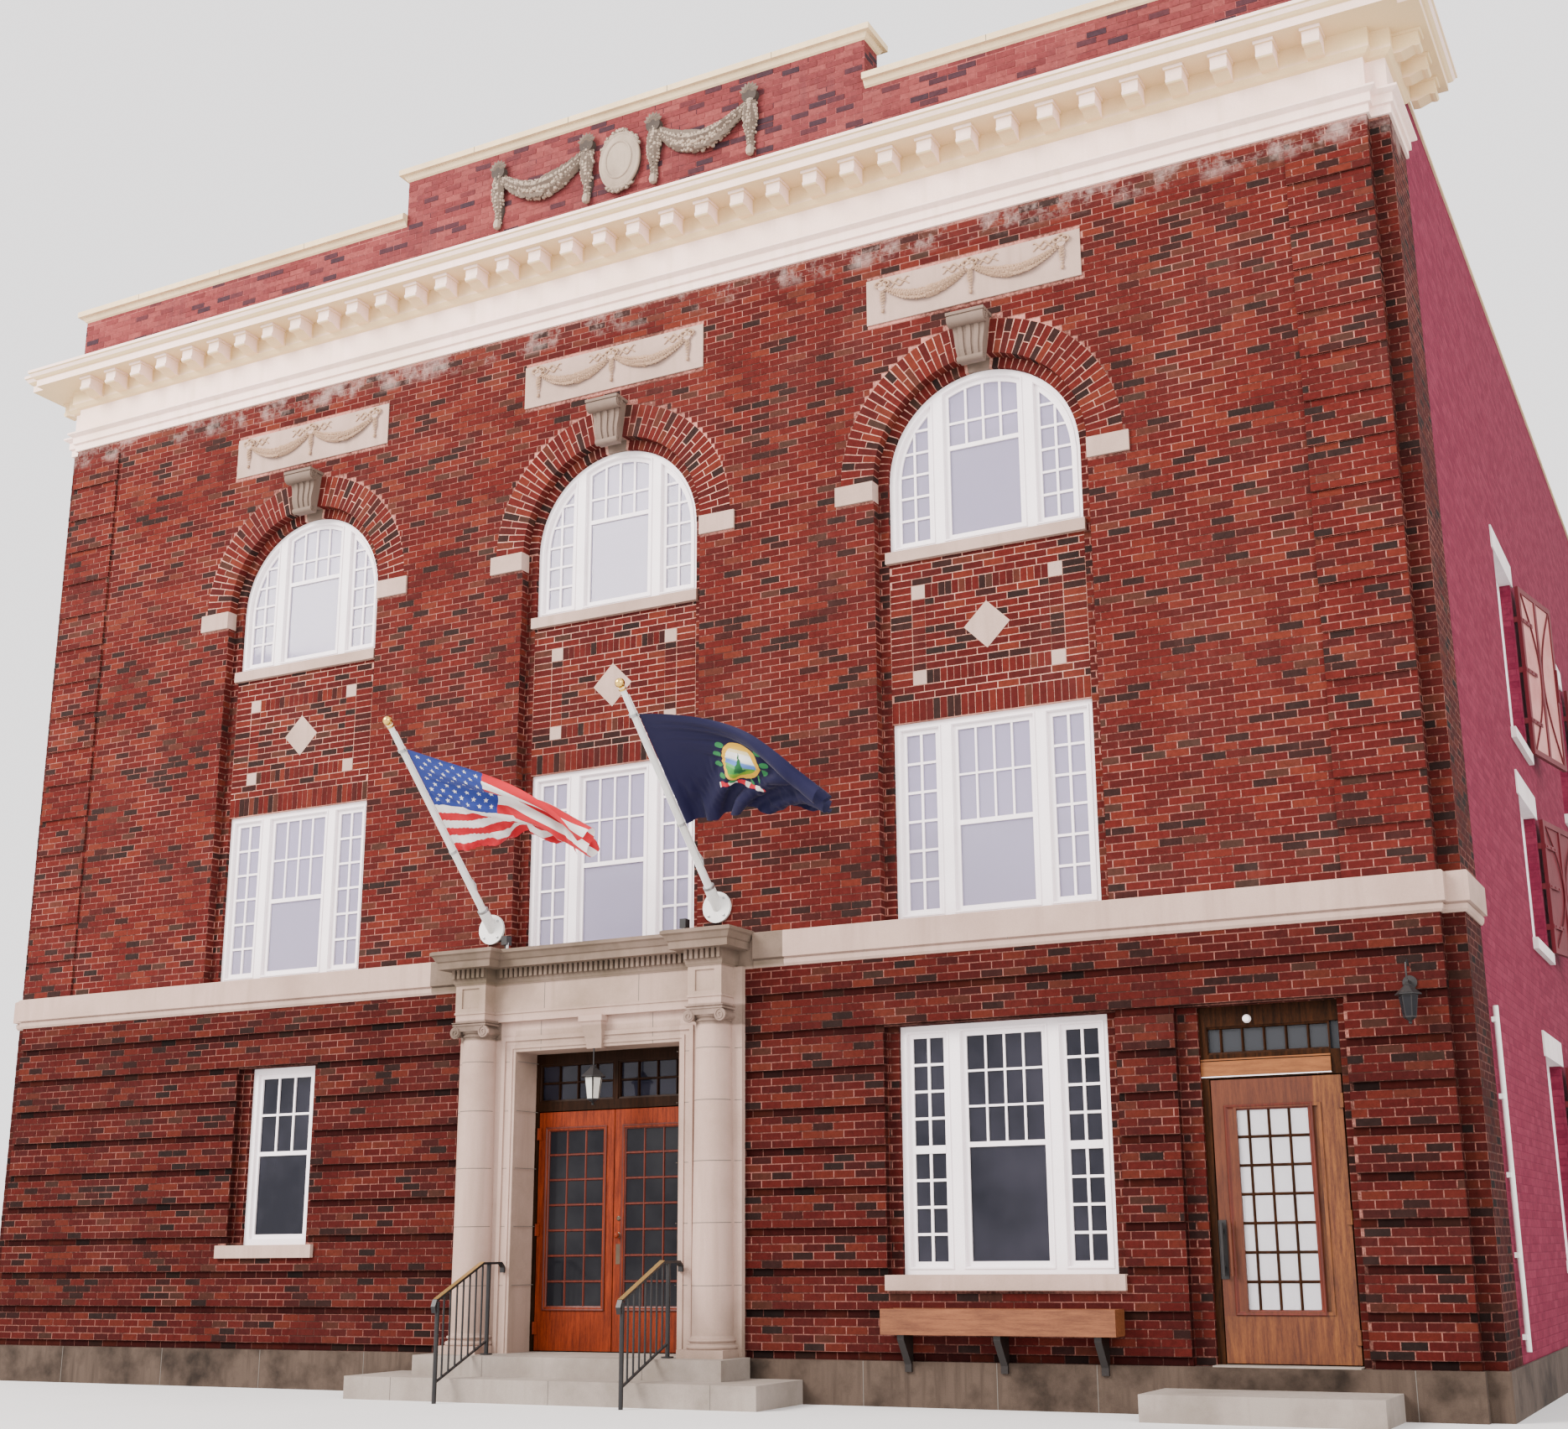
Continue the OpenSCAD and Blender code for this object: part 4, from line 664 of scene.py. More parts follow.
FINISHES = {
    Slot.GRANITE: Finish("granite", (0.27, 0.23, 0.2), (0.12, 0.095, 0.075), 0.85, bump=0.5, patch=0.6,
                         size=0.6),
    Slot.FLOOR: WoodFinish("floor_boards", (0.3, 0.17, 0.08), (0.16, 0.08, 0.035), upright=False),
    Slot.ROOFING: Finish("roofing", (0.06, 0.06, 0.062), (0.12, 0.12, 0.115), 0.9, bump=0.6, size=2.0),
    Slot.BRICK: BrickFinish("brick", FRONT_BRICK, FRONT_MORTAR, FRONT_STAIN, laid=False, behind_bricks=True,
                            groove=True, bloom=0.6),
    Slot.PAINTED_BRICK: BrickFinish("painted_brick", SIDE_TONES, SIDE_MORTAR, SIDE_STAIN, laid=False,
                                    joint_show=0.35, upper_base=L.found),
    Slot.PARAPET_BRICK: BrickFinish("parapet_brick", PARAPET_TONES, PARAPET_MORTAR, PARAPET_STAIN, laid=False,
                                    stain_from=0.4),
    Slot.LIMESTONE: Finish("limestone", (0.405, 0.28, 0.232), (0.17, 0.115, 0.08), 0.85, bump=0.25, size=0.8,
                           stains_and_shades=(PORTICO_SOOT, DENTIL_SHADE, CAPITAL_SOOT, REVEAL_SHADE, KEYSTONE_SHADE, FOOT_SOOT)),
    Slot.WHITE_STONE: Finish("white_stone", (0.74, 0.66, 0.66), (0.4, 0.33, 0.32), 0.8, size=0.8),
    # Its under colour is the painted yellowish shade on undersides and between the brackets.
    Slot.CREAM: Finish("cream_paint", (0.9, 0.67, 0.6), (0.48, 0.37, 0.21), 0.6, patch=0.35, streak=0.3,
                       under=(0.66, 0.49, 0.22)),
    Slot.CAST_STONE: Finish("cast_stone", (0.72, 0.56, 0.34), (0.36, 0.27, 0.17), 0.85, bump=0.3, size=0.9),
    Slot.WHITE: Finish("white_paint", (0.92, 0.85, 0.88), (0.6, 0.53, 0.52), 0.5, bump=0.05, patch=0.2,
                       streak=0.15, size=0.5),
    Slot.GLASS: GlassFinish("window_glass", (0.52, 0.48, 0.66), 0.6, low=(0.01, 0.011, 0.022), shine=0.25),
    Slot.SHUTTER: Finish("shutter_paint", (0.11, 0.006, 0.012), (0.05, 0.008, 0.009), 0.6, bump=0.2,
                         size=0.5),
    # Its own dark colour, made darker still as painted shade of the main door frame's shaded head.
    Slot.DARK_WOOD: WoodFinish("dark_wood", (0.02, 0.008, 0.004), (0.008, 0.0035, 0.0015), coat=0.0,
                               shine=0.04, other=(0.036, 0.012, 0.004)),
    Slot.DOOR_WOOD: WoodFinish("door_wood", (0.19, 0.024, 0.003), (0.065, 0.007, 0.001), rough=0.45,
                               coat=0.05, shine=0.1),
    Slot.IRON: Finish("black_iron", (0.012, 0.012, 0.013), (0.035, 0.03, 0.028), 0.38, bump=0.05, size=0.3),
    Slot.POLE: Finish("pole_paint", (0.76, 0.76, 0.74), (0.5, 0.48, 0.42), 0.35, bump=0.04, size=0.5),
    Slot.FLAG: Finish("flag_cloth", (0.05, 0.06, 0.14), (0.04, 0.045, 0.1), 0.8),
    Slot.BOX_WOOD: WoodFinish("box_wood", (0.19, 0.068, 0.026), (0.1, 0.032, 0.013), upright=False,
                              iron_below=L.box_foot),
}


EXTRA_FINISHES = (
    GlassFinish("clear_pane", (0.9, 0.92, 0.94), 0.92, 0.02),
    # Opaque, near-black pane: painted shade for the dark space behind the glass.
    GlassFinish("dark_pane", (0.008, 0.008, 0.01), 0.0, 0.08, dust=0.02, shine=0.12),
    BrickFinish("mortar_bed", FRONT_BRICK, PALE_MORTAR, FRONT_STAIN, laid=False, bed_only=True),
    Finish("garland_stone", (0.34, 0.27, 0.21), (0.16, 0.12, 0.09), 0.9, bump=0.4, patch=0.5, size=0.3),
    # A darker copy of the garland stone: painted shade among the parapet garland's leaves.
    Finish("shaded_leaf_stone", (0.15, 0.115, 0.09), (0.07, 0.052, 0.04), 0.9, bump=0.4, patch=0.5, size=0.3),
    # Near-black painted shade in the gaps of the parapet's plain swag, between its leaves and berries.
    Finish("garland_gap_shade", (0.045, 0.035, 0.03), (0.09, 0.07, 0.055), 0.9, bump=0.4, patch=0.5, size=0.3),
    # Foundation concrete: its own weathered colour, made darker as painted shade.
    Finish("old_concrete_and_shade", (0.066, 0.045, 0.033), (0.014, 0.009, 0.006), 0.9, bump=0.5, patch=1.0, streak=0.5,
           size=0.45),
    # Plaque relief: its own yellowish tone, made darker as painted shade of the carving.
    Finish("plaque_relief", (0.37, 0.24, 0.16), (0.2, 0.13, 0.08), 0.85, bump=0.3, size=0.3),
    WoodFinish("side_door_wood", (0.1, 0.025, 0.007), (0.05, 0.01, 0.003), rough=0.4,
               golden=(0.17, 0.057, 0.012)),
    Finish("frosted_pane", (0.5, 0.5, 0.46), (0.36, 0.34, 0.28), 0.35, bump=0.05, size=0.2),
    Finish("curtain", (0.85, 0.78, 0.8), (0.66, 0.58, 0.6), 0.9, bump=0.0, patch=0.2, streak=0.2, size=0.6),
    Finish("blind", (0.78, 0.72, 0.86), (0.6, 0.55, 0.66), 0.85, bump=0.05, patch=0.2, streak=0.3),
    Finish("net_curtain", (0.13, 0.13, 0.13), (0.07, 0.07, 0.075), 0.9, bump=0.0, size=0.4),
    # Pale red of a painted glint on the top row of shutters.
    Finish("painted_glint", (0.5, 0.22, 0.2), (0.3, 0.07, 0.07), 0.6, bump=0.2, patch=0.5, size=0.4),
    # Dark panel behind the glass: painted shade that stands for an unlit room.
    Finish("room_shade_panel", (0.035, 0.035, 0.04), (0.02, 0.02, 0.02), 0.9),
    Finish("stone_joint", (0.13, 0.115, 0.1), (0.07, 0.06, 0.055), 0.9),
    Finish("brass", (0.5, 0.33, 0.12), (0.2, 0.12, 0.05), 0.38, 0.8, 0.05, size=0.2),
    Finish("bronze", (0.07, 0.05, 0.035), (0.14, 0.1, 0.06), 0.4, 0.8, 0.05, size=0.2),
    Finish("gold", (0.75, 0.5, 0.12), (0.45, 0.26, 0.06), 0.2, 1.0, 0.02, size=0.2),
    Finish("steel", (0.45, 0.46, 0.47), (0.25, 0.24, 0.22), 0.35, 0.8, 0.05, size=0.2),
    WoodFinish("red_wood", (0.1, 0.013, 0.004), (0.045, 0.006, 0.002), rough=0.4),
    WoodFinish("light_wood", (0.22, 0.075, 0.017), (0.13, 0.04, 0.009), rough=0.4, upright=False),
    BrickFinish("laid_brick", FRONT_BRICK, FRONT_MORTAR, FRONT_STAIN, groove=True, bloom=0.6),
    BrickFinish("laid_parapet_brick", PARAPET_TONES, PARAPET_MORTAR, PARAPET_STAIN, stain_from=0.4),
)


NODE_FINISHES = {"arch_rings": "mortar_bed", "spandrel_panels": "mortar_bed", "foundation": "old_concrete_and_shade",
                 "parapet_garland": "garland_gap_shade", "side_door": "side_door_wood"}


def placed(name: str, data: bpy.types.ID) -> bpy.types.Object:
    """Makes an object at the origin and links it into the scene."""
    obj = bpy.data.objects.new(name, data)
    bpy.context.collection.objects.link(obj)
    return obj


def circle(centre: Point, radius: float, count: int, tall: float = 1.0) -> list[Point]:
    """Points round an upright circle that faces the front, or round an oval that is taller than wide."""
    x, y, z = centre
    turns = [2 * math.pi * k / count for k in range(count)]
    return [(x + radius * math.cos(w), y, z + tall * radius * math.sin(w)) for w in turns]


@dataclass
class Camera:
    """Camera at the photograph's place and angle."""

    place: Point = (9.992, -15.102, 1.281)
    yaw: float = 26.641
    pitch: float = 14.630
    roll: float = -0.605
    lens: float = 43.87
    shift: Pair = (-0.0276, 0.0216)

    def build(self) -> None:
        """Creates the camera and makes it the scene's own."""
        data = bpy.data.cameras.new("camera")
        data.lens = self.lens
        data.sensor_width = 36.0
        data.sensor_fit = "HORIZONTAL"
        data.shift_x, data.shift_y = self.shift
        data.clip_end = 300.0
        yaw, pitch, roll = (math.radians(a) for a in (self.yaw, self.pitch, self.roll))
        ahead = Vector((-math.sin(yaw) * math.cos(pitch), math.cos(yaw) * math.cos(pitch), math.sin(pitch)))
        right = Vector((math.cos(yaw), math.sin(yaw), 0.0))
        up = right.cross(ahead)
        axis_x = right * math.cos(roll) + up * math.sin(roll)
        axis_y = up * math.cos(roll) - right * math.sin(roll)
        camera = placed("camera", data)
        turn = Matrix((axis_x, axis_y, -ahead)).transposed().to_4x4()
        camera.matrix_world = Matrix.Translation(Vector(self.place)) @ turn
        bpy.context.scene.camera = camera


@dataclass
class Studio:
    """Pale floor and soft light round the building."""

    floor_size: float = 160.0
    sky: float = 2.1
    key: float = 36000.0

    def build(self) -> None:
        """Creates the floor, the sky's light and two lamps."""
        builder = MeshBuilder()
        half = self.floor_size / 2
        builder.quad((-half, -half, 0), (half, -half, 0), (half, half, 0), (-half, half, 0))
        t = MaterialTree("studio_floor")
        tone = t.ramp(t.noise(t.place, 0.4), [(0.3, 0.62), (0.7, 0.66)])
        builder.to_object("studio_floor", t.finish(Base_Color=tone, Roughness=0.9))
        world = bpy.data.worlds.new("studio")
        world.use_nodes = True
        background = world.node_tree.nodes["Background"]
        background.inputs["Color"].default_value = (1.0, 0.965, 0.97, 1.0)
        background.inputs["Strength"].default_value = self.sky
        bpy.context.scene.world = world
        self.lamp("key", (-20.0, -26.0, 26.0), (0.0, 0.0, 5.0), 18.0, self.key)
        self.lamp("fill", (24.0, -20.0, 14.0), (4.0, 2.0, 5.0), 16.0, self.key * 0.16)

    @staticmethod
    def lamp(name: str, place: Point, target: Point, size: float, power: float) -> None:
        """Adds a square area lamp that looks at a target."""
        data = bpy.data.lights.new(name, "AREA")
        data.size = size
        data.energy = power
        data.color = (1.0, 0.93, 0.88)
        lamp = placed(name, data)
        lamp.location = place
        lamp.rotation_euler = (Vector(target) - Vector(place)).to_track_quat("-Z", "Y").to_euler()


class MeshBuilder:
    """Collects points and faces of one piece, with a tone for each face."""

    def __init__(self) -> None:
        """Starts with no points."""
        self.points: list[Point] = []
        self.faces: list[tuple[int, ...]] = []
        self.tones: list[float] = []

    def add(self, corners: Iterable[int], tone: float = 0.5) -> None:
        """Adds a face between points of the mesh, in the order that faces outwards."""
        self.faces.append(tuple(corners))
        self.tones.append(tone)

    def face(self, corners: Iterable[Point]) -> None:
        """Adds a face with its own points."""
        start = len(self.points)
        self.points.extend(tuple(c) for c in corners)
        self.add(range(start, len(self.points)))

    def quad(self, a: Point, b: Point, c: Point, d: Point) -> None:
        """Adds a face of four corners."""
        self.face((a, b, c, d))

    def box(self, low: Point, high: Point) -> None:
        """Adds a closed box between two corners."""
        xs, ys, zs = zip(low, high)
        self.hull([(x, y, z) for x in xs for y in ys for z in zs])

    def hull(self, corners: Sequence[Point], tone: float = 0.5) -> None:
        """Adds a six-sided solid from eight corners in the order of x, then y, then z."""
        start = len(self.points)
        self.points.extend(tuple(c) for c in corners)
        for side in ((0, 1, 3, 2), (4, 6, 7, 5), (0, 4, 5, 1), (2, 3, 7, 6), (0, 2, 6, 4), (1, 5, 7, 3)):
            self.add((start + i for i in side), tone)

    def rings(self, rings: Sequence[Sequence[Point]]) -> None:
        """Joins rings of points into a skin and closes its two ends.

        Args:
            rings: rings with the same number of points, anticlockwise seen from the end they go to.
        """
        start, count = len(self.points), len(rings[0])
        for ring in rings:
            self.points.extend(tuple(p) for p in ring)
        last = start + (len(rings) - 1) * count
        for a in range(start, last, count):
            for j in range(count):
                k = (j + 1) % count
                self.add((a + j, a + k, a + count + k, a + count + j))
        self.add(start + j for j in reversed(range(count)))
        self.add(last + j for j in range(count))

    def skirt(self, rings: Sequence[Sequence[Point]], closed: bool = True) -> None:
        """Adds four-sided faces with their own points between lines of points, which may be closed."""
        count = len(rings[0])
        for first, second in zip(rings, rings[1:]):
            for k in range(count if closed else count - 1):
                m = (k + 1) % count
                self.quad(first[k], first[m], second[m], second[k])

    def tube(self, path: Sequence[Point], radius: float | Sequence[float], sides: int = 8) -> None:
        """Adds a round bar along a path, with one radius or one for each point."""
        radii = [radius] * len(path) if isinstance(radius, (int, float)) else list(radius)
        spots = [Vector(p) for p in path]
        turns = [2 * math.pi * k / sides for k in range(sides)]
        rings = []
        normal = None
        for i, (spot, reach) in enumerate(zip(spots, radii)):
            ahead = (spots[min(i + 1, len(spots) - 1)] - spots[max(i - 1, 0)]).normalized()
            if normal is None:
                normal = Vector((0, 0, 1)) if abs(ahead.z) < 0.9 else Vector((0, 1, 0))
            normal = (normal - ahead * normal.dot(ahead)).normalized()
            across = ahead.cross(normal)
            rings.append([spot + (normal * math.cos(w) + across * math.sin(w)) * reach for w in turns])
        self.rings(rings)

    def lathe(self, centre: Point, profile: Sequence[Pair], sides: int) -> None:
        """Adds a turned form on an upright axis from a list of radius and height, bottom first."""
        x, y, z = centre
        turns = [2 * math.pi * k / sides for k in range(sides)]
        rings = []
        for radius, height in profile:
            reach = max(radius, 0.0004)
            rings.append([(x + reach * math.cos(w), y + reach * math.sin(w), z + height) for w in turns])
        self.rings(rings)

    def hoop(self, centre: Point, radius: float, bar: float, count: int, sides: int,
             tall: float = 1.0) -> None:
        """Adds a round bar along a circle or oval that faces the front."""
        ring = circle(centre, radius, count, tall)
        self.tube([*ring, ring[0]], bar, sides)

    def boss(self, centre: Point, profile: Sequence[Pair], sides: int = 20, tall: float = 1.0) -> None:
        """Adds a turned form that stands out of the front, from pairs of its reach and its radius."""
        x, y, z = centre
        self.rings([circle((x, y - reach, z), radius, sides, tall)[::-1] for reach, radius in profile])

    def to_object(self, name: str, material: bpy.types.Material, smooth: bool = False) -> bpy.types.Object:
        """Makes the object at the origin.

        Args:
            name: the piece's name.
            material: its finish.
            smooth: whether its faces are shaded as one curve.

        Returns:
            The object, linked into the scene.
        """
        mesh = bpy.data.meshes.new(name)
        mesh.from_pydata(self.points, [], self.faces)
        tone = mesh.attributes.new("tone", "FLOAT", "FACE")
        tone.data.foreach_set("value", self.tones)
        mesh.materials.append(material)
        mesh.update()
        if smooth:
            mesh.shade_smooth()
            mesh.set_sharp_from_angle(angle=math.radians(38))
        return placed(name, mesh)


class PointSet:
    """Places, sizes, turns and tones of the copies that a node tree sets out."""

    def __init__(self) -> None:
        """Starts with no places."""
        self.places: list[Point] = []
        self.sizes: list[Point] = []
        self.turns: list[Point] = []

    def add(self, place: Point, size: Point, turn: Point = (0.0, 0.0, 0.0)) -> None:
        """Adds one copy with its middle, its size and its turn in radians."""
        self.places.append(place)
        self.sizes.append(size)
        self.turns.append(turn)

    def to_object(self, name: str) -> bpy.types.Object:
        """Makes an object of loose points that carries the sizes and turns."""
        mesh = bpy.data.meshes.new(name)
        mesh.from_pydata(self.places, [], [])
        for label, values in (("size", self.sizes), ("turn", self.turns)):
            attribute = mesh.attributes.new(label, "FLOAT_VECTOR", "POINT")
            attribute.data.foreach_set("vector", [c for v in values for c in v])
        return placed(name, mesh)


class SettingOut:
    """Geometry Nodes tree that sets copies of a shape on points and makes them one mesh."""

    def __init__(self) -> None:
        """Builds the tree once; each copy is turned, sized, shifted a little to front or back and toned."""
        tree = bpy.data.node_groups.new("set out copies", "GeometryNodeTree")
        self.tree = tree
        self.sockets: dict[str, str] = {}
        kinds = (("Points", "Geometry"), ("Shape", "Object"), ("Wander", "Float"), ("Seed", "Int"),
                 ("Finish", "Material"))
        for label, kind in kinds:
            socket = tree.interface.new_socket(name=label, in_out="INPUT", socket_type="NodeSocket" + kind)
            self.sockets[label] = socket.identifier
        tree.interface.new_socket(name="Mesh", in_out="OUTPUT", socket_type="NodeSocketGeometry")
        t = TreeWriter(tree)
        gin = tree.nodes.new("NodeGroupInput")
        given = {label: Value(t, gin.outputs[label]) for label in self.sockets}
        shape = t.value("GeometryNodeObjectInfo", {"Object": given["Shape"]}, "Geometry")
        turn = t.value("FunctionNodeEulerToRotation", {0: self.attribute(t, "turn")})
        size = self.attribute(t, "size")
        copies = t.value("GeometryNodeInstanceOnPoints", {
            "Points": given["Points"], "Instance": shape, "Rotation": turn, "Scale": size})
        reach = {2: given["Wander"] * -1.0, 3: given["Wander"], "Seed": given["Seed"]}
        shift = t.value("CombineXYZ", {1: t.value("FunctionNodeRandomValue", reach, 1, data_type="FLOAT")})
        moved = t.value("GeometryNodeTranslateInstances", {"Instances": copies, "Translation": shift,
                                                           "Local Space": False})
        tone = t.value("FunctionNodeRandomValue", {"Seed": given["Seed"]}, 1, data_type="FLOAT")
        toned = t.value("GeometryNodeStoreNamedAttribute", {"Geometry": moved, "Name": "tone", "Value": tone},
                        domain="INSTANCE", data_type="FLOAT")
        real = t.value("GeometryNodeRealizeInstances", {0: toned})
        finished = t.value("GeometryNodeSetMaterial", {"Geometry": real, "Material": given["Finish"]})
        t.fill(tree.nodes.new("NodeGroupOutput"), {0: finished})

    @staticmethod
    def attribute(t: TreeWriter, name: str) -> Value:
        """Adds a node that reads a vector attribute of the points."""
        return t.value("GeometryNodeInputNamedAttribute", {"Name": name}, "Attribute",
                       data_type="FLOAT_VECTOR")

    def make(self, name: str, points: PointSet, shape: bpy.types.Object, finish: bpy.types.Material,
             wander: float = 0.0, seed: int = 1, smooth: bool = False) -> bpy.types.Object:
        """Sets the copies out and returns them as one plain mesh at the origin.

        Args:
            name: the new piece's name.
            points: where the copies go.
            shape: the object that is copied.
            finish: the material of the copies.
            wander: how far a copy may stand forward or back, in metres.
            seed: seed of the random tones and shifts.
            smooth: whether its faces are shaded as curves.

        Returns:
            The piece.
        """
        carrier = points.to_object(name + "_points")
        modifier = carrier.modifiers.new("set out", "NODES")
        modifier.node_group = self.tree
        for label, value in (("Shape", shape), ("Wander", wander), ("Seed", seed), ("Finish", finish)):
            modifier[self.sockets[label]] = value
        graph = bpy.context.evaluated_depsgraph_get()
        graph.update()
        mesh = bpy.data.meshes.new_from_object(carrier.evaluated_get(graph), preserve_all_data_layers=True,
                                               depsgraph=graph)
        mesh.name = name
        if not mesh.materials:
            mesh.materials.append(finish)
        if smooth:
            mesh.shade_smooth()
            mesh.set_sharp_from_angle(angle=math.radians(40))
        carrier.modifiers.remove(modifier)
        bpy.data.objects.remove(carrier)
        return placed(name, mesh)


class Shapes:
    """Small shapes that are copied, kept out of the scene."""

    def __init__(self) -> None:
        """Builds each shape once."""
        self.brick = self.keep("brick_shape", self.open_box())
        self.bar = self.keep("bar_shape", self.closed_box())
        self.leaf = self.keep("leaf_shape", self.leaf_mesh())
        self.berry = self.keep("berry_shape", self.berry_mesh())

    @staticmethod
    def keep(name: str, builder: MeshBuilder) -> bpy.types.Object:
        """Makes an object of a builder's mesh that is in no collection."""
        mesh = bpy.data.meshes.new(name)
        mesh.from_pydata(builder.points, [], builder.faces)
        return bpy.data.objects.new(name, mesh)

    @staticmethod
    def open_box() -> MeshBuilder:
        """A unit box whose back is left open, as nothing shows of it in a wall."""
        builder = Shapes.closed_box()
        builder.faces.pop(3)
        return builder

    @staticmethod
    def closed_box() -> MeshBuilder:
        """A unit box about the origin."""
        builder = MeshBuilder()
        builder.box((-0.5, -0.5, -0.5), (0.5, 0.5, 0.5))
        return builder

    @staticmethod
    def leaf_mesh() -> MeshBuilder:
        """A pointed leaf with a raised middle rib, 1 long and flat on its back."""
        builder = MeshBuilder()
        outline = ((0.0, -0.5), (0.26, -0.2), (0.3, 0.05), (0.16, 0.32), (0.0, 0.5), (-0.16, 0.32),
                   (-0.3, 0.05), (-0.26, -0.2))
        top = (0.0, -0.3, 0.05)
        for i, (x, z) in enumerate(outline):
            x2, z2 = outline[(i + 1) % len(outline)]
            builder.face(((x, 0.06, z), (x2, 0.06, z2), top))
        return builder

    @staticmethod
    def berry_mesh() -> MeshBuilder:
        """A round berry of diameter 1 with few faces."""
        builder = MeshBuilder()
        profile = [(0.0, -0.5), (0.38, -0.34), (0.5, 0.0), (0.38, 0.34), (0.0, 0.5)]
        builder.lathe((0.0, 0.0, 0.0), profile, 7)
        return builder


Finishing = Slot | str | None


@dataclass
class Workshop:
    """Materials by slot and the log of what is made."""

    effects: Effects = field(init=False)
    slots: dict[Slot, bpy.types.Material] = field(init=False)
    extra: dict[str, bpy.types.Material] = field(default_factory=dict)
    setting: SettingOut = field(init=False)
    shapes: Shapes = field(init=False)
    made: int = 0

    def __post_init__(self) -> None:
        """Makes every finish once."""
        self.effects = Effects()
        self.slots = {slot: finish.make(self.effects) for slot, finish in FINISHES.items()}
        self.extra = {finish.name: finish.make(self.effects) for finish in (*EXTRA_FINISHES, *CLOTHS)}
        self.setting = SettingOut()
        self.shapes = Shapes()

    def dress_frame(self, frame: dict) -> None:
        """Gives each CAD node the finish of its slot.
        """
        slots = {s["node"]: Slot(s["material_slot"]) for s in frame["record"]["subparts"]}
        for name, obj in frame["nodes"].items():
            material = self.extra.get(NODE_FINISHES.get(name, ""), self.slots[slots[name]])
            if not obj.material_slots:
                obj.data.materials.append(material)
            for place in obj.material_slots:
                place.link = "OBJECT"
                place.material = material
        LOG.info("dressed %d CAD nodes", len(frame["nodes"]))

    def fit(self, obj: bpy.types.Object, body: str = "building") -> bpy.types.Object:
        """Lets a piece ride on its body, and logs it.

        Args:
            obj: the piece.
            body: the body it moves with.

        Returns:
            The piece.
        """
        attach(obj, body)
        self.made += 1
        LOG.info("piece %-28s %6d faces", obj.name, len(obj.data.polygons))
        return obj

    def material(self, slot: Slot, finish: Finishing = None) -> bpy.types.Material:
        """The finish of a slot, or in its place an extra finish by name or another slot's."""
        return self.extra[finish] if isinstance(finish, str) else self.slots[finish or slot]

    def piece(self, builder: MeshBuilder, name: str, slot: Slot, finish: Finishing = None,
              body: str = "building", smooth: bool = False) -> None:
        """Makes one piece of a builder's mesh.

        Args:
            builder: the mesh.
            name: the piece's name.
            slot: the record's slot that it belongs to.
            finish: its finish, if that isn't the slot's own.
            body: the body it moves with.
            smooth: whether its faces are shaded as curves.
        """
        self.fit(builder.to_object(name, self.material(slot, finish), smooth), body)

    def copies(self, points: PointSet, shape: bpy.types.Object, name: str, slot: Slot,
               finish: Finishing = None, wander: float = 0.0, seed: int = 1, smooth: bool = False) -> None:
        """Makes one piece of copies of a shape, as SettingOut.make does, and lets it ride on the building."""
        material = self.material(slot, finish)
        self.fit(self.setting.make(name, points, shape, material, wander, seed, smooth))


@dataclass(frozen=True)
class Hole:
    """Part of a wall's face where no brick is laid."""

    x0: float
    x1: float
    z0: float
    z1: float

    def span(self, low: float, high: float) -> Pair | None:
        """The stretch that it takes out of a course between two levels."""
        inside = high > self.z0 + 0.012 and low < self.z1 - 0.012
        return (self.x0, self.x1) if inside else None


@dataclass(frozen=True)
class RoundHole:
    """Round part of a wall's face where no brick is laid, above its springing line."""

    x: float
    z: float
    radius: float

    def span(self, low: float, high: float) -> Pair | None:
        """The stretch that it takes out of a course between two levels."""
        rise = max(low - self.z, 0.0)
        if high <= self.z or rise >= self.radius:
            return None
        half = math.sqrt(self.radius ** 2 - rise ** 2)
        return (self.x - half, self.x + half)


@dataclass(frozen=True)
class Field:
    """A stretch of brick facing laid in running bond."""

    x0: float
    x1: float
    z0: float
    z1: float
    face: Callable[[int], float]
    holes: tuple[Hole | RoundHole, ...] = ()
    length: float = L.brick
    shift: float = 0.5
    offset: float = 0.0

    def lay(self, points: PointSet, proud: float = 0.003) -> None:
        """Adds the field's bricks to a set of points.

        Args:
            points: the set that the bricks join.
            proud: how far a brick stands out of its bed of mortar.
        """
        rows = int(round((self.z1 - self.z0) / L.course))
        for row in range(rows):
            low = self.z0 + row * L.course
            high = min(low + L.course, self.z1)
            if high - low < 0.03:
                continue
            stretches = [(self.x0, self.x1)]
            for hole in self.holes:
                cut = hole.span(low, high)
                if cut:
                    left = [(a, min(b, cut[0])) for a, b in stretches]
                    right = [(max(a, cut[1]), b) for a, b in stretches]
                    stretches = [(a, b) for a, b in sorted(left + right) if b - a > 0.03]
            y = self.face(row) - proud
            start = self.offset + (row % 2) * self.shift * self.length
            for a, b in stretches:
                first = math.floor((a - start) / self.length)
                last = math.ceil((b - start) / self.length)
                for k in range(first, last):
                    p = max(start + k * self.length + L.joint / 2, a + 0.0005)
                    q = min(start + (k + 1) * self.length - L.joint / 2, b - 0.0005)
                    if q - p > 0.018:
                        middle = ((p + q) / 2, y + 0.015, (low + high) / 2)
                        points.add(middle, (q - p, 0.03, high - low - L.joint))


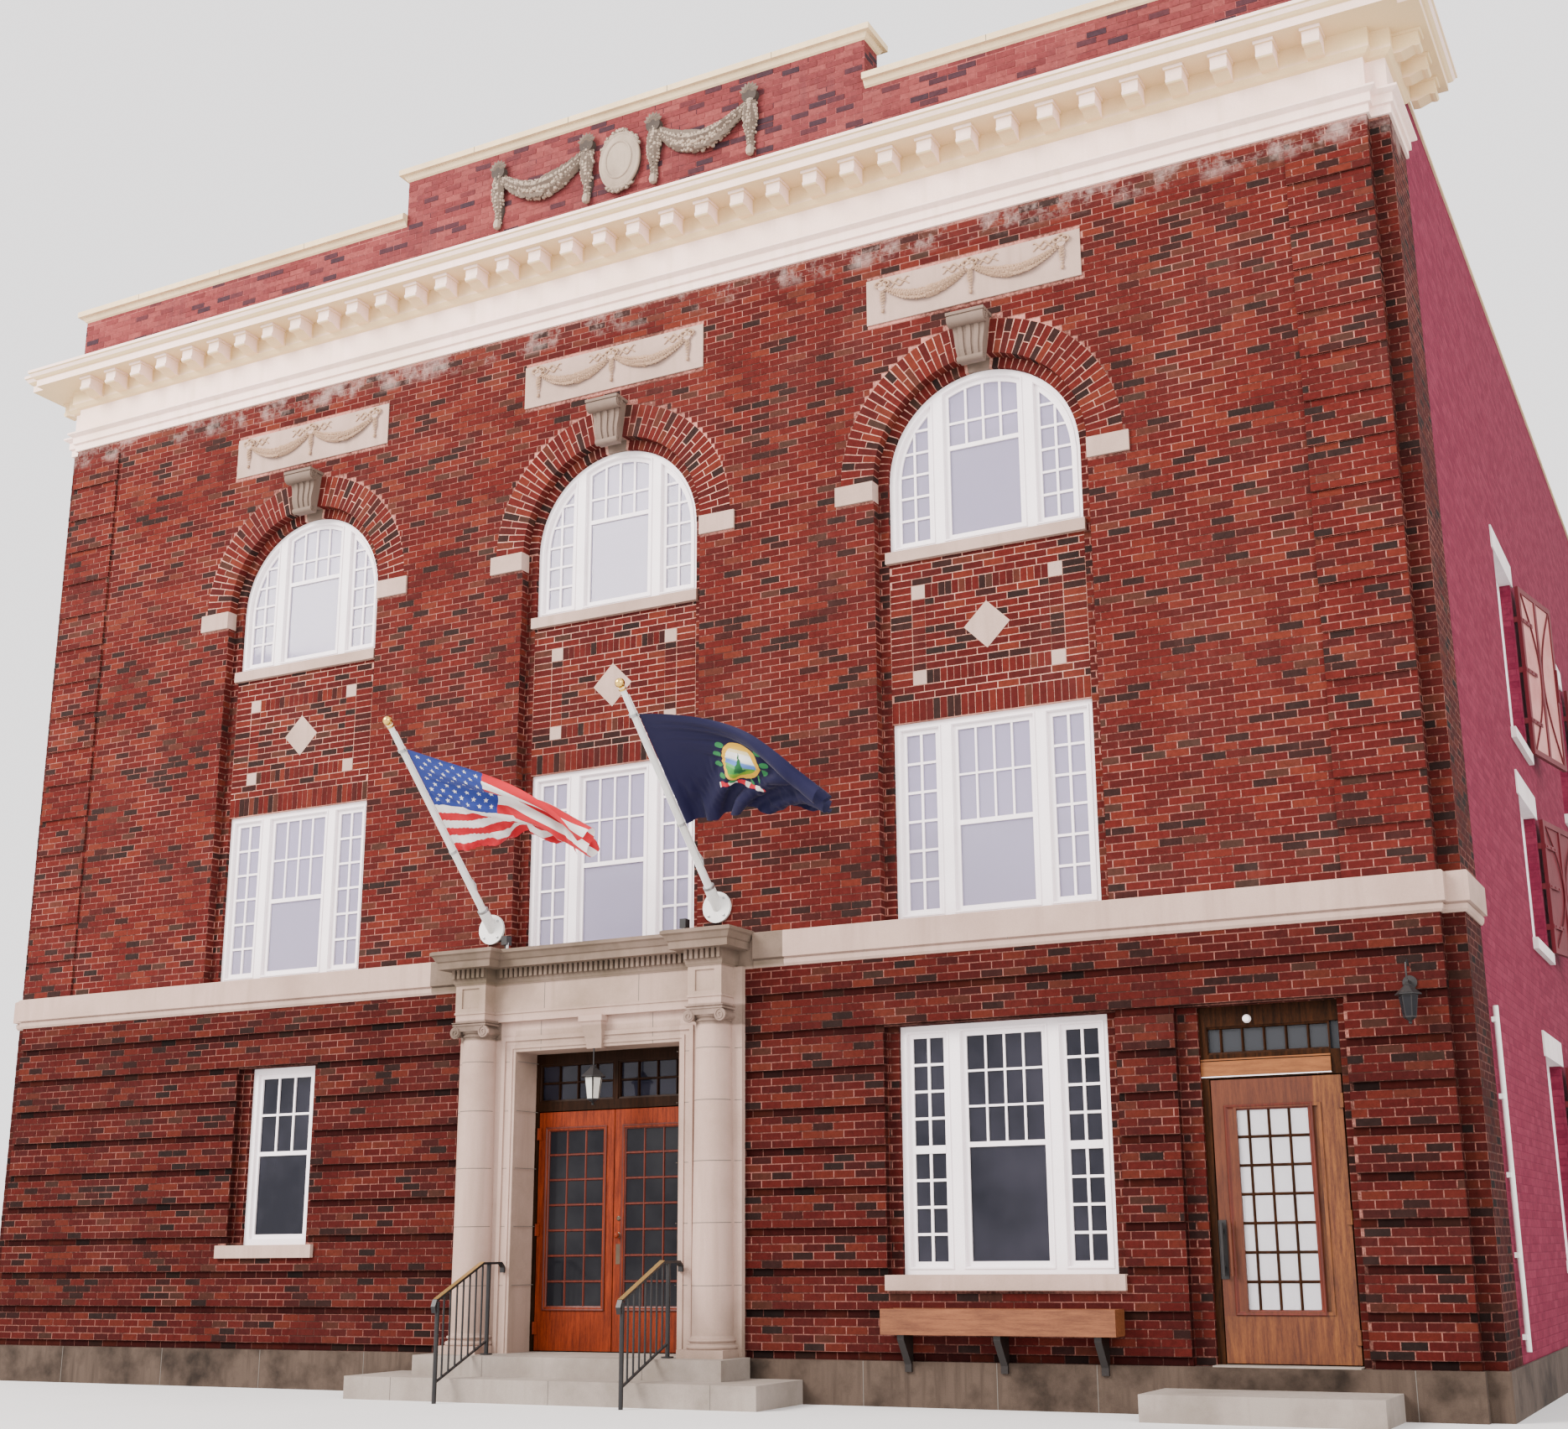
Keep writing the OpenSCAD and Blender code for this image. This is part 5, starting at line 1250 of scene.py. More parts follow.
@dataclass
class BrickFront:
    """Bricks of the front, laid as real pieces a little proud of their joints."""

    shop: Workshop
    quoin: float = 0.72
    groove: float = 0.03
    quoin_out: float = 0.026
    impost: float = 0.39
    impost_h: float = 0.19

    def build(self) -> None:
        """Lays the ground storey, the upper front, the panels and the parapet."""
        for name, points, slot, finish, seed in (
                ("bricks_ground_storey", self.ground(), Slot.BRICK, "laid_brick", 3),
                ("bricks_upper_front", self.upper(), Slot.BRICK, "laid_brick", 5),
                ("bricks_spandrels", self.spandrels(), Slot.BRICK, "laid_brick", 7),
                ("bricks_parapet", self.parapet(), Slot.PARAPET_BRICK, "laid_parapet_brick", 11)):
            self.shop.copies(points, self.shop.shapes.brick, name, slot, finish, 0.0012, seed)

    def ground(self) -> PointSet:
        """Ground storey: every fifth course is set back."""
        points = PointSet()
        holes = (Hole(-1.56, 1.56, 0.0, 3.75),
                 Hole(L.small_x - L.small_half, L.small_x + L.small_half, L.small_sill, L.ground_head),
                 Hole(L.small_x - 0.625, L.small_x + 0.625, L.small_sill - 0.125, L.small_sill),
                 Hole(L.bay - L.wide_half, L.bay + L.wide_half, L.wide_sill - 0.125, L.ground_head),
                 Hole(5.52, 6.88, 0.0, L.ground_head))
        Field(-L.front_half, L.front_half, L.found, L.belt,
              lambda row: self.groove if row % 5 == 0 else 0.0, holes).lay(points)
        for side in (-1, 1):
            self.stack(points, (side * L.front_half, side * L.body_half), (L.found, L.belt), L.strip_back)
        return points

    @staticmethod
    def stack(points: PointSet, ends: Pair, levels: Pair, face: float, shift: float = 0.5) -> None:
        """Adds a strip that is one brick wide, with every second brick moved by a share of its length."""
        low, high = sorted(ends)
        Field(low, high, *levels, lambda row: face, length=high - low, shift=shift, offset=low).lay(points)

    def upper(self) -> PointSet:
        """Front above the belt course, with its quoins."""
        points = PointSet()
        edge = L.front_half - self.quoin
        holes: list[Hole | RoundHole] = []
        for x in BAYS:
            holes.append(Hole(x - L.arch_r, x + L.arch_r, L.upper, L.spring))
            half = L.arch_r + self.impost
            holes.append(Hole(x - half, x + half, L.spring - self.impost_h, L.spring))
            holes.append(RoundHole(x, L.spring, L.arch_r + L.ring))
            holes.append(Hole(x - 1.0785, x + 1.0785, 9.8, 10.264))
        Field(-edge, edge, L.upper, L.cornice, lambda row: 0.0, tuple(holes)).lay(points)
        for side in (-1, 1):
            low, high = sorted((side * edge, side * L.front_half))
            Field(low, high, L.upper, L.cornice,
                  lambda row: 0.0 if row % 6 == 5 or row > 95 else -self.quoin_out).lay(points)
            self.stack(points, (side * L.front_half, side * L.body_half), (L.upper, L.cornice), L.strip_back)
        return points

    def spandrels(self) -> PointSet:
        """Panels between the storeys: soldiers over the window, bands between squares and stacked strips."""
        points = PointSet()
        face = L.step_back
        c = L.course
        base = L.window_head
        square_in, square_out = 0.665 - 0.0665, 0.665 + 0.0665
        for x in BAYS:
            self.uprights(points, x - L.light_r, x + L.light_r, base, 3 * c, face)
            for low, high in ((base + 3 * c, base + 5 * c), (base + 19 * c, L.sill_top - L.sill)):
                Field(x - L.light_r, x + L.light_r, low, high, lambda row: face).lay(points)
            for z in (base + 5 * c, base + 17 * c):
                self.uprights(points, x - square_in, x + square_in, z, 2 * c, face)
            Field(x - square_in, x + square_in, base + 7 * c, base + 17 * c, lambda row: face,
                  offset=x).lay(points)
            for side in (-1, 1):
                inner, outer, edge = (x + side * reach for reach in (square_in, square_out, L.light_r))
                self.stack(points, (outer, edge), (base + 5 * c, base + 19 * c), face, 0.0)
                self.stack(points, (inner, outer), (base + 7 * c, base + 17 * c), face, 0.0)
        return points

    @staticmethod
    def uprights(points: PointSet, x0: float, x1: float, z: float, height: float, face: float) -> None:
        """Adds a band of bricks set on end between two places."""
        count = round((x1 - x0) / L.course)
        pitch = (x1 - x0) / count
        for k in range(count):
            middle = (x0 + (k + 0.5) * pitch, face + 0.012, z + height / 2)
            points.add(middle, (pitch - L.joint * 0.6, 0.03, height - L.joint))

    def parapet(self) -> PointSet:
        """Front of the parapet and its raised middle."""
        points = PointSet()
        top = L.crown + int(0.8 / L.course) * L.course
        for half, low, high in ((L.body_half, L.crown, top), (2.865, top, 13.02)):
            Field(-half, half, low, high, lambda row: L.strip_back).lay(points)
        return points


@dataclass
class ArchBricks:
    """Wedge bricks of the three arches: two lengths in turn on the face, one length in the recess."""

    shop: Workshop
    key: float = math.radians(6.3)
    face_count: int = 52
    inner_count: int = 46

    def build(self) -> None:
        """Makes the wedges of all three arches as one piece."""
        rng = random.Random(21)
        builder = MeshBuilder()
        for x in BAYS:
            for k in range(self.face_count):
                lengths = ((0.0, 0.198), (0.208, L.ring)) if k % 2 else ((0.0, 0.125), (0.135, L.ring))
                for a, b in lengths:
                    self.wedge(builder, x, k, self.face_count, (L.arch_r + a, L.arch_r + b),
                               (0.0, L.step_back - 0.002), a == 0.0, rng.random())
            for k in range(self.inner_count):
                self.wedge(builder, x, k, self.inner_count, (L.light_r, L.arch_r - 0.004),
                           (L.step_back, L.frame_back - 0.002), True, rng.random())
        self.shop.piece(builder, "bricks_arches", Slot.BRICK, "laid_brick")

    def wedge(self, builder: MeshBuilder, x: float, k: int, count: int, radii: Pair, depths: Pair,
              inner: bool, tone: float) -> None:
        """Adds one wedge between two radii and two depths unless the keystone takes its place."""
        (r0, r1), (y0, y1) = radii, depths
        pitch = math.pi / count
        middle = (k + 0.5) * pitch
        if abs(middle - math.pi / 2) < self.key + pitch / 2:
            return
        low = r0 - (0.003 if inner else 0.0)
        half0 = (pitch * r0 - L.joint * 0.8) / 2 / r0
        half1 = (pitch * r1 - L.joint * 1.4) / 2 / r1
        corners = []
        for radius, half in ((low, half0), (r1, half1)):
            for y in (y0 - 0.003, y1):
                for turn in (middle - half, middle + half):
                    corners.append((x + radius * math.cos(turn), y, L.spring + radius * math.sin(turn)))
        builder.hull(corners, tone)


@dataclass(frozen=True)
class Light:
    """One light of glass between its sashes, with the bars that divide it."""

    x0: float
    x1: float
    z0: float
    z1: float
    columns: int
    bars: tuple[float, ...]
    arc: tuple[float, float, float] | None = None
    width: float = 0.022


@dataclass
class GlazingBars:
    """Thin bars that divide the front's windows into panes."""

    shop: Workshop
    rim: float = 0.104
    mid: float = 0.343
    side_in: float = 0.557
    side_out: float = 0.844
    glass: float = 0.046
    depth: float = 0.016
    meeting: Pair = (0.996, 1.062)

    def build(self) -> None:
        """Makes the bars of the arched, the upper and the ground windows."""
        points = PointSet()
        for x in BAYS:
            self.window(points, x, L.sill_top, self.arched(), L.frame_back)
            self.window(points, x, L.upper, self.square_headed(L.upper_h, 0.85, 6, 2), L.frame_back)
        self.window(points, L.bay, L.wide_sill, self.wide(), L.frame_back)
        low, high = self.meeting
        for side in (-1, 1):
            x = L.bay + side * (self.side_in + self.side_out) / 2
            middle = (x, L.frame_back + 0.036, L.wide_sill + (low + high) / 2)
            points.add(middle, (self.side_out - self.side_in, 0.026, high - low))
        small = L.small_half - L.step_w - self.rim
        light = Light(-small, small, 0.926, 1.666, 3, self.even(0.926, 1.666, 2))
        self.window(points, L.small_x, L.small_sill, (light,), L.frame_back)
        self.shop.copies(points, self.shop.shapes.bar, "window_bars", Slot.WHITE)

    @staticmethod
    def even(low: float, high: float, rows: int) -> tuple[float, ...]:
        """Levels that divide a height into even rows."""
        return tuple(low + (high - low) * k / rows for k in range(1, rows))

    def arched(self) -> tuple[Light, ...]:
        """Lights of an arched window: bars stop at its round head."""
        spring = L.spring - L.sill_top
        pitch = 0.22
        levels = tuple(self.rim + pitch * k for k in range(1, 7))
        arc = (0.0, spring, self.side_out)
        top = spring + self.side_out
        return (Light(-self.side_out, -self.side_in, self.rim, top, 2, levels, arc),
                Light(self.side_in, self.side_out, self.rim, top, 2, levels, arc),
                Light(-self.mid, self.mid, 0.981, top, 4, (1.205,), arc))

    def square_headed(self, height: float, rail: float, side_rows: int, rows: int) -> tuple[Light, ...]:
        """Lights of a three-light window with a square head."""
        top = height - self.rim
        side = self.even(self.rim, top, side_rows)
        low = rail + 0.021
        return (Light(-self.side_out, -self.side_in, self.rim, top, 2, side),
                Light(self.side_in, self.side_out, self.rim, top, 2, side),
                Light(-self.mid, self.mid, low, top, 4, self.even(low, top, rows), width=0.018))

    def wide(self) -> tuple[Light, ...]:
        """Lights of the wide ground window, whose side lights have a meeting rail at half height."""
        centre = self.square_headed(L.wide_h, 1.06, 8, 3)[2]
        low, high = self.meeting
        sides = tuple(Light(x0, x1, a, b, 2, self.even(a, b, 4))
                      for x0, x1 in ((-self.side_out, -self.side_in), (self.side_in, self.side_out))
                      for a, b in ((self.rim, low), (high, centre.z1)))
        return (*sides, centre)

    def window(self, points: PointSet, x: float, z: float, lights: Iterable[Light], back: float) -> None:
        """Adds the bars of one window."""
        y = back + self.glass - self.depth / 2 + 0.001
        for light in lights:
            width = (light.x1 - light.x0) / light.columns
            for k in range(1, light.columns):
                along = light.x0 + k * width
                top = self.head(light, along)
                if top > light.z0 + 0.02:
                    middle = (x + along, y, z + (light.z0 + top) / 2)
                    points.add(middle, (light.width, self.depth, top - light.z0))
            for level in light.bars:
                x0, x1 = self.sides(light, level)
                if x1 - x0 > 0.02:
                    middle = (x + (x0 + x1) / 2, y, z + level)
                    points.add(middle, (x1 - x0, self.depth - 0.001, light.width))

    @staticmethod
    def head(light: Light, along: float) -> float:
        """Level at which an upright bar stops."""
        if light.arc is None:
            return light.z1
        return light.arc[1] + math.sqrt(max(light.arc[2] ** 2 - along ** 2, 0.0))

    @staticmethod
    def sides(light: Light, level: float) -> Pair:
        """Places between which a level bar runs."""
        if light.arc is None or level <= light.arc[1]:
            return light.x0, light.x1
        half = math.sqrt(max(light.arc[2] ** 2 - (level - light.arc[1]) ** 2, 0.0))
        return max(light.x0, -half), min(light.x1, half)


@dataclass
class Glazing:
    """Bars, panes, curtains and mouldings of the doors and their transom lights."""

    shop: Workshop
    leaf_face: float = 0.29
    side_face: float = 0.15
    bar: float = 0.024
    kick: float = 0.765
    leaf_bead: tuple[Pair, ...] = ((-0.03, -0.0095), (-0.024, -0.014), (-0.014, -0.012),
                                                  (-0.004, -0.004), (0.012, 0.006), (0.014, 0.0135))
    transom_bead: tuple[Pair, ...] = ((0.0, 0.0), (0.016, 0.006), (0.02, 0.03))

    def build(self) -> None:
        """Makes the glazing of both entrances."""
        self.leaf("left_leaf", -0.745, -0.115, self.leaf_face, self.kick, 2.385, 3, False)
        self.leaf("right_leaf", 0.115, 0.745, self.leaf_face, self.kick, 2.385, 3, False)
        self.leaf("side_leaf", 5.8775, 6.5225, self.side_face, self.kick, 2.315, 4, True)
        main = ((-0.865, -0.025), (0.025, 0.865))
        self.transom("transom_bars_main", main, self.leaf_face, 2.655, 3.01, 4, 2)
        self.transom("transom_bars_side", ((5.6725, 6.7275),), self.side_face, 2.748, 2.97, 6, 1)
        self.side_door()

    def leaf(self, body: str, x0: float, x1: float, face: float, z0: float, z1: float, columns: int,
             curtain: bool) -> None:
        """Bars, panes and moulding of one leaf.

        Args:
            body: the body it rides on.
            x0: left edge of its glass.
            x1: right edge of its glass.
            face: how far back the leaf's face lies.
            z0: lower edge of its glass.
            z1: upper edge of its glass.
            columns: number of panes in a row.
            curtain: whether white curtains hang behind the glass.
        """
        pane = MeshBuilder()
        back = face + 0.0165
        pane.box((x0 + 0.001, back - 0.003, z0 + 0.001), (x1 - 0.001, back, z1 - 0.001))
        if curtain:
            self.curtain(body, x0, x1, back + 0.0004, z0, z1)
        # Without a curtain the pane is opaque and near black: painted shade for the dark space behind.
        self.shop.piece(pane, body + "_panes", Slot.GLASS, "clear_pane" if curtain else "dark_pane", body)
        bars = MeshBuilder()
        self.ribs(bars, (x0, x1), (back - 0.013, back - 0.0124, back - 0.002), (z0, z1), columns, 7)
        frame = MeshBuilder()
        rings = self.mitred(x0, x1, z0, z1, face, self.leaf_bead)
        frame.skirt([*rings, rings[0]])
        self.shop.piece(frame, body + "_beads", Slot.DOOR_WOOD, "red_wood", body)
        self.shop.piece(bars, body + "_bars", Slot.DOOR_WOOD, Slot.DARK_WOOD if curtain else "red_wood", body)

    def ribs(self, builder: MeshBuilder, xs: Pair, ys: Point, zs: Pair, columns: int, rows: int) -> None:
        """Adds upright bars and then level ones that divide a pane of glass evenly.

        Args:
            builder: the mesh that they join.
            xs: edges of the glass at its sides.
            ys: front of the upright bars, front of the level bars and the back of both.
            zs: lower and upper edge of the glass.
            columns: number of panes in a row.
            rows: number of panes in a column.
        """
        half = self.bar / 2
        for k in range(1, columns):
            x = xs[0] + (xs[1] - xs[0]) * k / columns
            self.rib(builder, (x - half, x + half), (ys[0], ys[2]), zs, True)
        for k in range(1, rows):
            z = zs[0] + (zs[1] - zs[0]) * k / rows
            self.rib(builder, xs, (ys[1], ys[2]), (z - half, z + half), False)

    @staticmethod
    def rib(builder: MeshBuilder, xs: Pair, ys: Pair, zs: Pair,
            upright: bool) -> None:
        """One glazing bar whose front edge is narrower than its back."""
        cut = 0.007
        if upright:
            front = (xs[0] + cut, xs[1] - cut, *zs)
        else:
            front = (*xs, zs[0] + cut, zs[1] - cut)
        corners = []
        for k in (0, 1):
            for y, (a, b, c, d) in ((ys[0], front), (ys[1], (*xs, *zs))):
                for z in (c, d):
                    corners.append(((a, b)[k], y, z))
        builder.hull(corners)

    @staticmethod
    def mitred(x0: float, x1: float, z0: float, z1: float, face: float,
               steps: Sequence[Pair]) -> list[list[Point]]:
        """Outlines of a mitred moulding round a pane, from steps inwards and back."""
        return [[(x0 + a, face + b, z0 + a), (x1 - a, face + b, z0 + a), (x1 - a, face + b, z1 - a),
                 (x0 + a, face + b, z1 - a)] for a, b in steps]

    def curtain(self, body: str, x0: float, x1: float, back: float, z0: float, z1: float) -> None:
        """Gathered white curtain as a thin pleated sheet behind the glass."""
        count = 160
        builder = MeshBuilder()
        rows = [(x0 + 0.002 + (x1 - x0 - 0.004) * k / count,
                 back + 0.0009 + 0.0004 * math.sin(k * 0.45 + 0.9 * math.sin(k * 0.11)))
                for k in range(count + 1)]
        builder.skirt([[(x, y, z) for x, y in rows] for z in (z0 + 0.002, z1 - 0.002)], False)
        self.shop.piece(builder, body + "_curtain", Slot.GLASS, "curtain", body)

    def transom(self, name: str, spans: Sequence[Pair], face: float, z0: float, z1: float,
                columns: int, rows: int) -> None:
        """Bars and beads of a transom light."""
        builder = MeshBuilder()
        back = face + 0.046
        for x0, x1 in spans:
            self.ribs(builder, (x0, x1), (back - 0.022, back - 0.021, back), (z0, z1), columns, rows)
            builder.skirt(self.mitred(x0, x1, z0, z1, face + 0.008, self.transom_bead))
        self.shop.piece(builder, name, Slot.DARK_WOOD)

    def side_door(self) -> None:
        """Lighter board on the side door's transom bar, weather strips, bell lamp and long pull."""
        y = self.side_face
        board = MeshBuilder()
        board.box((5.6775, y - 0.012, 2.575), (6.7225, y - 0.0003, 2.692))
        board.box((5.6775, y - 0.007, 2.7), (6.7225, y - 0.0003, 2.712))
        self.shop.piece(board, "side_transom_board", Slot.DOOR_WOOD, "light_wood")
        strip = MeshBuilder()
        strip.box((5.664, y - 0.006, 0.38), (5.6715, y - 0.0003, 2.56))
        strip.box((5.6775, y - 0.013, 2.566), (6.7225, y - 0.0003, 2.5735))
        self.shop.piece(strip, "weather_strips", Slot.WHITE)
        lamp = MeshBuilder()
        lamp.boss((6.08, y, 3.02), ((0.0, 0.034), (0.015, 0.034), (0.033, 0.026), (0.04, 0.008)))
        self.shop.piece(lamp, "bell_lamp", Slot.WHITE)
        pull = MeshBuilder()
        pull.lathe((5.78, y - 0.045, 1.029), [(0.0, 0.0), (0.0155, 0.0), (0.0155, 0.407), (0.0, 0.407)], 16)
        pull.box((5.7485, y - 0.0075, 1.008), (5.8115, y + 0.0003, 1.457))
        for z in (1.09, 1.375):
            pull.box((5.7675, y - 0.046, z - 0.0125), (5.7925, y - 0.004, z + 0.0125))
        self.shop.piece(pull, "side_leaf_pull", Slot.IRON, body="side_leaf")


@dataclass
class Ironwork:
    """Rail tops, lantern panes, lamp panes, pole fittings and door furniture."""

    shop: Workshop
    rail_x: float = 0.96
    pole_x: float = 1.27
    pole_z: float = 4.32

    def build(self) -> None:
        """Makes every fitting."""
        self.rail_tops()
        self.panes()
        self.poles()
        self.furniture()

    def rail_tops(self) -> None:
        """Worn brass on the sloping tops of the stair rails."""
        builder = MeshBuilder()
        line = ((-1.06, 0.876), (-0.40, 1.183))
        (ya, za), (yb, zb) = line
        d = Vector((0, yb - ya, zb - za)).normalized()
        n = Vector((0, -d.z, d.y))
        for side in (-1, 1):
            corners = []
            for x in (side * self.rail_x - 0.0235, side * self.rail_x + 0.0235):
                for y, z in line:
                    for lift in (-0.001, 0.0035):
                        corners.append((x, y + n.y * lift, z + n.z * lift))
            builder.hull(corners)
        self.shop.piece(builder, "rail_top_strips", Slot.IRON, "brass")

    @staticmethod
    def frustum(builder: MeshBuilder, centre: Point, r0: float, z0: float, r1: float, z1: float, grow: float,
                share: float) -> None:
        """Flat panes on the six sides of a tapered lantern."""
        for k in range(6):
            corners = []
            for r, level in ((r0, z0), (r1, z1)):
                ends = [Vector((r * math.cos(w), r * math.sin(w), level))
                        for w in (math.radians(60 * k), math.radians(60 * k + 60))]
                middle = (ends[0] + ends[1]) / 2
                for end in ends:
                    spot = middle + (end - middle) * share
                    corners.append((centre[0] + spot.x * grow, centre[1] + spot.y * grow, centre[2] + level))
            builder.quad(corners[0], corners[1], corners[3], corners[2])

    def panes(self) -> None:
        """Frosted panes of the hanging lantern and dark panes of the wall lamp, with finials and bead rings.
        """
        frosted, dark, iron = MeshBuilder(), MeshBuilder(), MeshBuilder()
        for panes, centre, r, h in ((frosted, (0.0, -0.09, 2.6), 0.118, 0.34),
                                    (dark, (7.4, -0.13, 2.9), 0.095, 0.28)):
            z0, z1 = 0.02, 0.02 + h * 0.62
            self.frustum(panes, centre, r * 0.535, z0 + 0.012, r * 0.77, z1 - 0.01, 1.015, 0.78)
            x, y, z = centre
            iron.lathe(centre, [(0.0, -0.03), (0.012, -0.026), (0.016, -0.016), (0.01, -0.006), (0.02, 0.0),
                                (0.02, 0.004)], 12)
            iron.lathe((x, y, z + h * 0.84 + 0.02), [(0.012, 0.0), (0.03, 0.004), (0.034, 0.014),
                                                     (0.02, 0.026), (0.011, 0.034), (0.0, 0.04)], 12)
            iron.lathe((x, y, z + z1), [(r * share, rise) for share, rise in (
                (0.98, -0.003), (1.06, 0.0), (1.06, 0.008), (0.98, 0.013))], 6)
        scroll = ((-0.012, 3.33), (-0.06, 3.37), (-0.12, 3.34), (-0.14, 3.27), (-0.125, 3.21))
        stay = ((-0.012, 3.1), (-0.05, 3.08), (-0.09, 3.11), (-0.1, 3.16))
        for path, bar in ((scroll, 0.007), (stay, 0.006)):
            iron.tube([(7.4, y, z) for y, z in path], bar, 8)
        self.shop.piece(frosted, "lantern_panes", Slot.GLASS, "frosted_pane")
        self.shop.piece(dark, "wall_lamp_panes", Slot.GLASS, "dark_pane")
        self.shop.piece(iron, "lantern_mouldings", Slot.IRON, smooth=True)

    def on_pole(self, side: int, along: float, out: float = 0.0, aside: float = 0.0) -> Vector:
        """Place by a flagpole's axis, given along it, below it and to its right."""
        half = math.sqrt(0.5)
        y, z = -along * half - out * half, self.pole_z + along * half - out * half
        return Vector((side * self.pole_x, y, z)) + Vector((aside, 0.0, 0.0))

    def poles(self) -> None:
        """Gold balls, collars, plate bolts, halyards and the small lamps by the plates."""
        gold, steel, white = MeshBuilder(), MeshBuilder(), MeshBuilder()
        for side in (-1, 1):
            turns = [math.pi * k / 14 for k in range(15)]
            ball = [(0.0445 * math.sin(w), -0.0445 * math.cos(w)) for w in turns]
            gold.lathe(self.on_pole(side, 2.35 + 0.028 + 0.043), ball, 28)
            neck = [self.on_pole(side, along) for along in (2.352, 2.372, 2.39)]
            gold.tube(neck, (0.034, 0.036, 0.022), 20)
            for along, radius in ((0.235, 0.054), (2.1, 0.0425), (0.94, 0.0425)):
                steel.tube([self.on_pole(side, along - 0.012), self.on_pole(side, along + 0.012)], radius, 20)
            for x, _, z in circle((side * self.pole_x, 0.0, self.pole_z), 0.112, 8)[1::2]:
                steel.boss((x, 0.0, z), ((0.0275, 0.012), (0.038, 0.012), (0.04, 0.009)), 6)
            ends = ((0.5, 0.047), (2.3, 0.047 - 0.008))
            white.tube([self.on_pole(side, along, 0.0, edge) for along, edge in ends], 0.0035, 6)
            white.tube([self.on_pole(side, along, edge) for along, edge in ends], 0.003, 6)
            cleat = self.on_pole(side, 0.55, 0.0, 0.045)
            shifts = ((0, 0.05, -0.05), (0.02, 0, 0), (0, -0.05, 0.05))
            steel.tube([cleat + Vector(shift) for shift in shifts], 0.006, 8)
            for along in (2.085, 0.955):
                steel.tube([self.on_pole(side, along, 0.0, aside) for aside in (0.036, 0.056)], 0.007, 8)
        for x in (-0.98, 1.0):
            steel.tube(((x, -0.15, 4.075), (x, -0.15, 4.15)), 0.014, 10)
        self.shop.piece(gold, "pole_balls", Slot.POLE, "gold", smooth=True)
        self.shop.piece(steel, "pole_fittings", Slot.POLE, "steel", smooth=True)
        self.shop.piece(white, "pole_lines", Slot.POLE, smooth=True)

    def furniture(self) -> None:
        """Locks and plate on the main doors' meeting stile."""
        plate = MeshBuilder()
        for z, r in ((1.56, 0.022), (1.41, 0.026)):
            plate.boss((0.06, 0.29, z), ((0.0, r), (0.006, r), (0.01, r * 0.7), (0.01, r * 0.3)))
        plate.box((0.035, 0.2865, 1.15), (0.085, 0.2898, 1.33))
        self.shop.piece(plate, "right_leaf_locks", Slot.DOOR_WOOD, "bronze", "right_leaf")


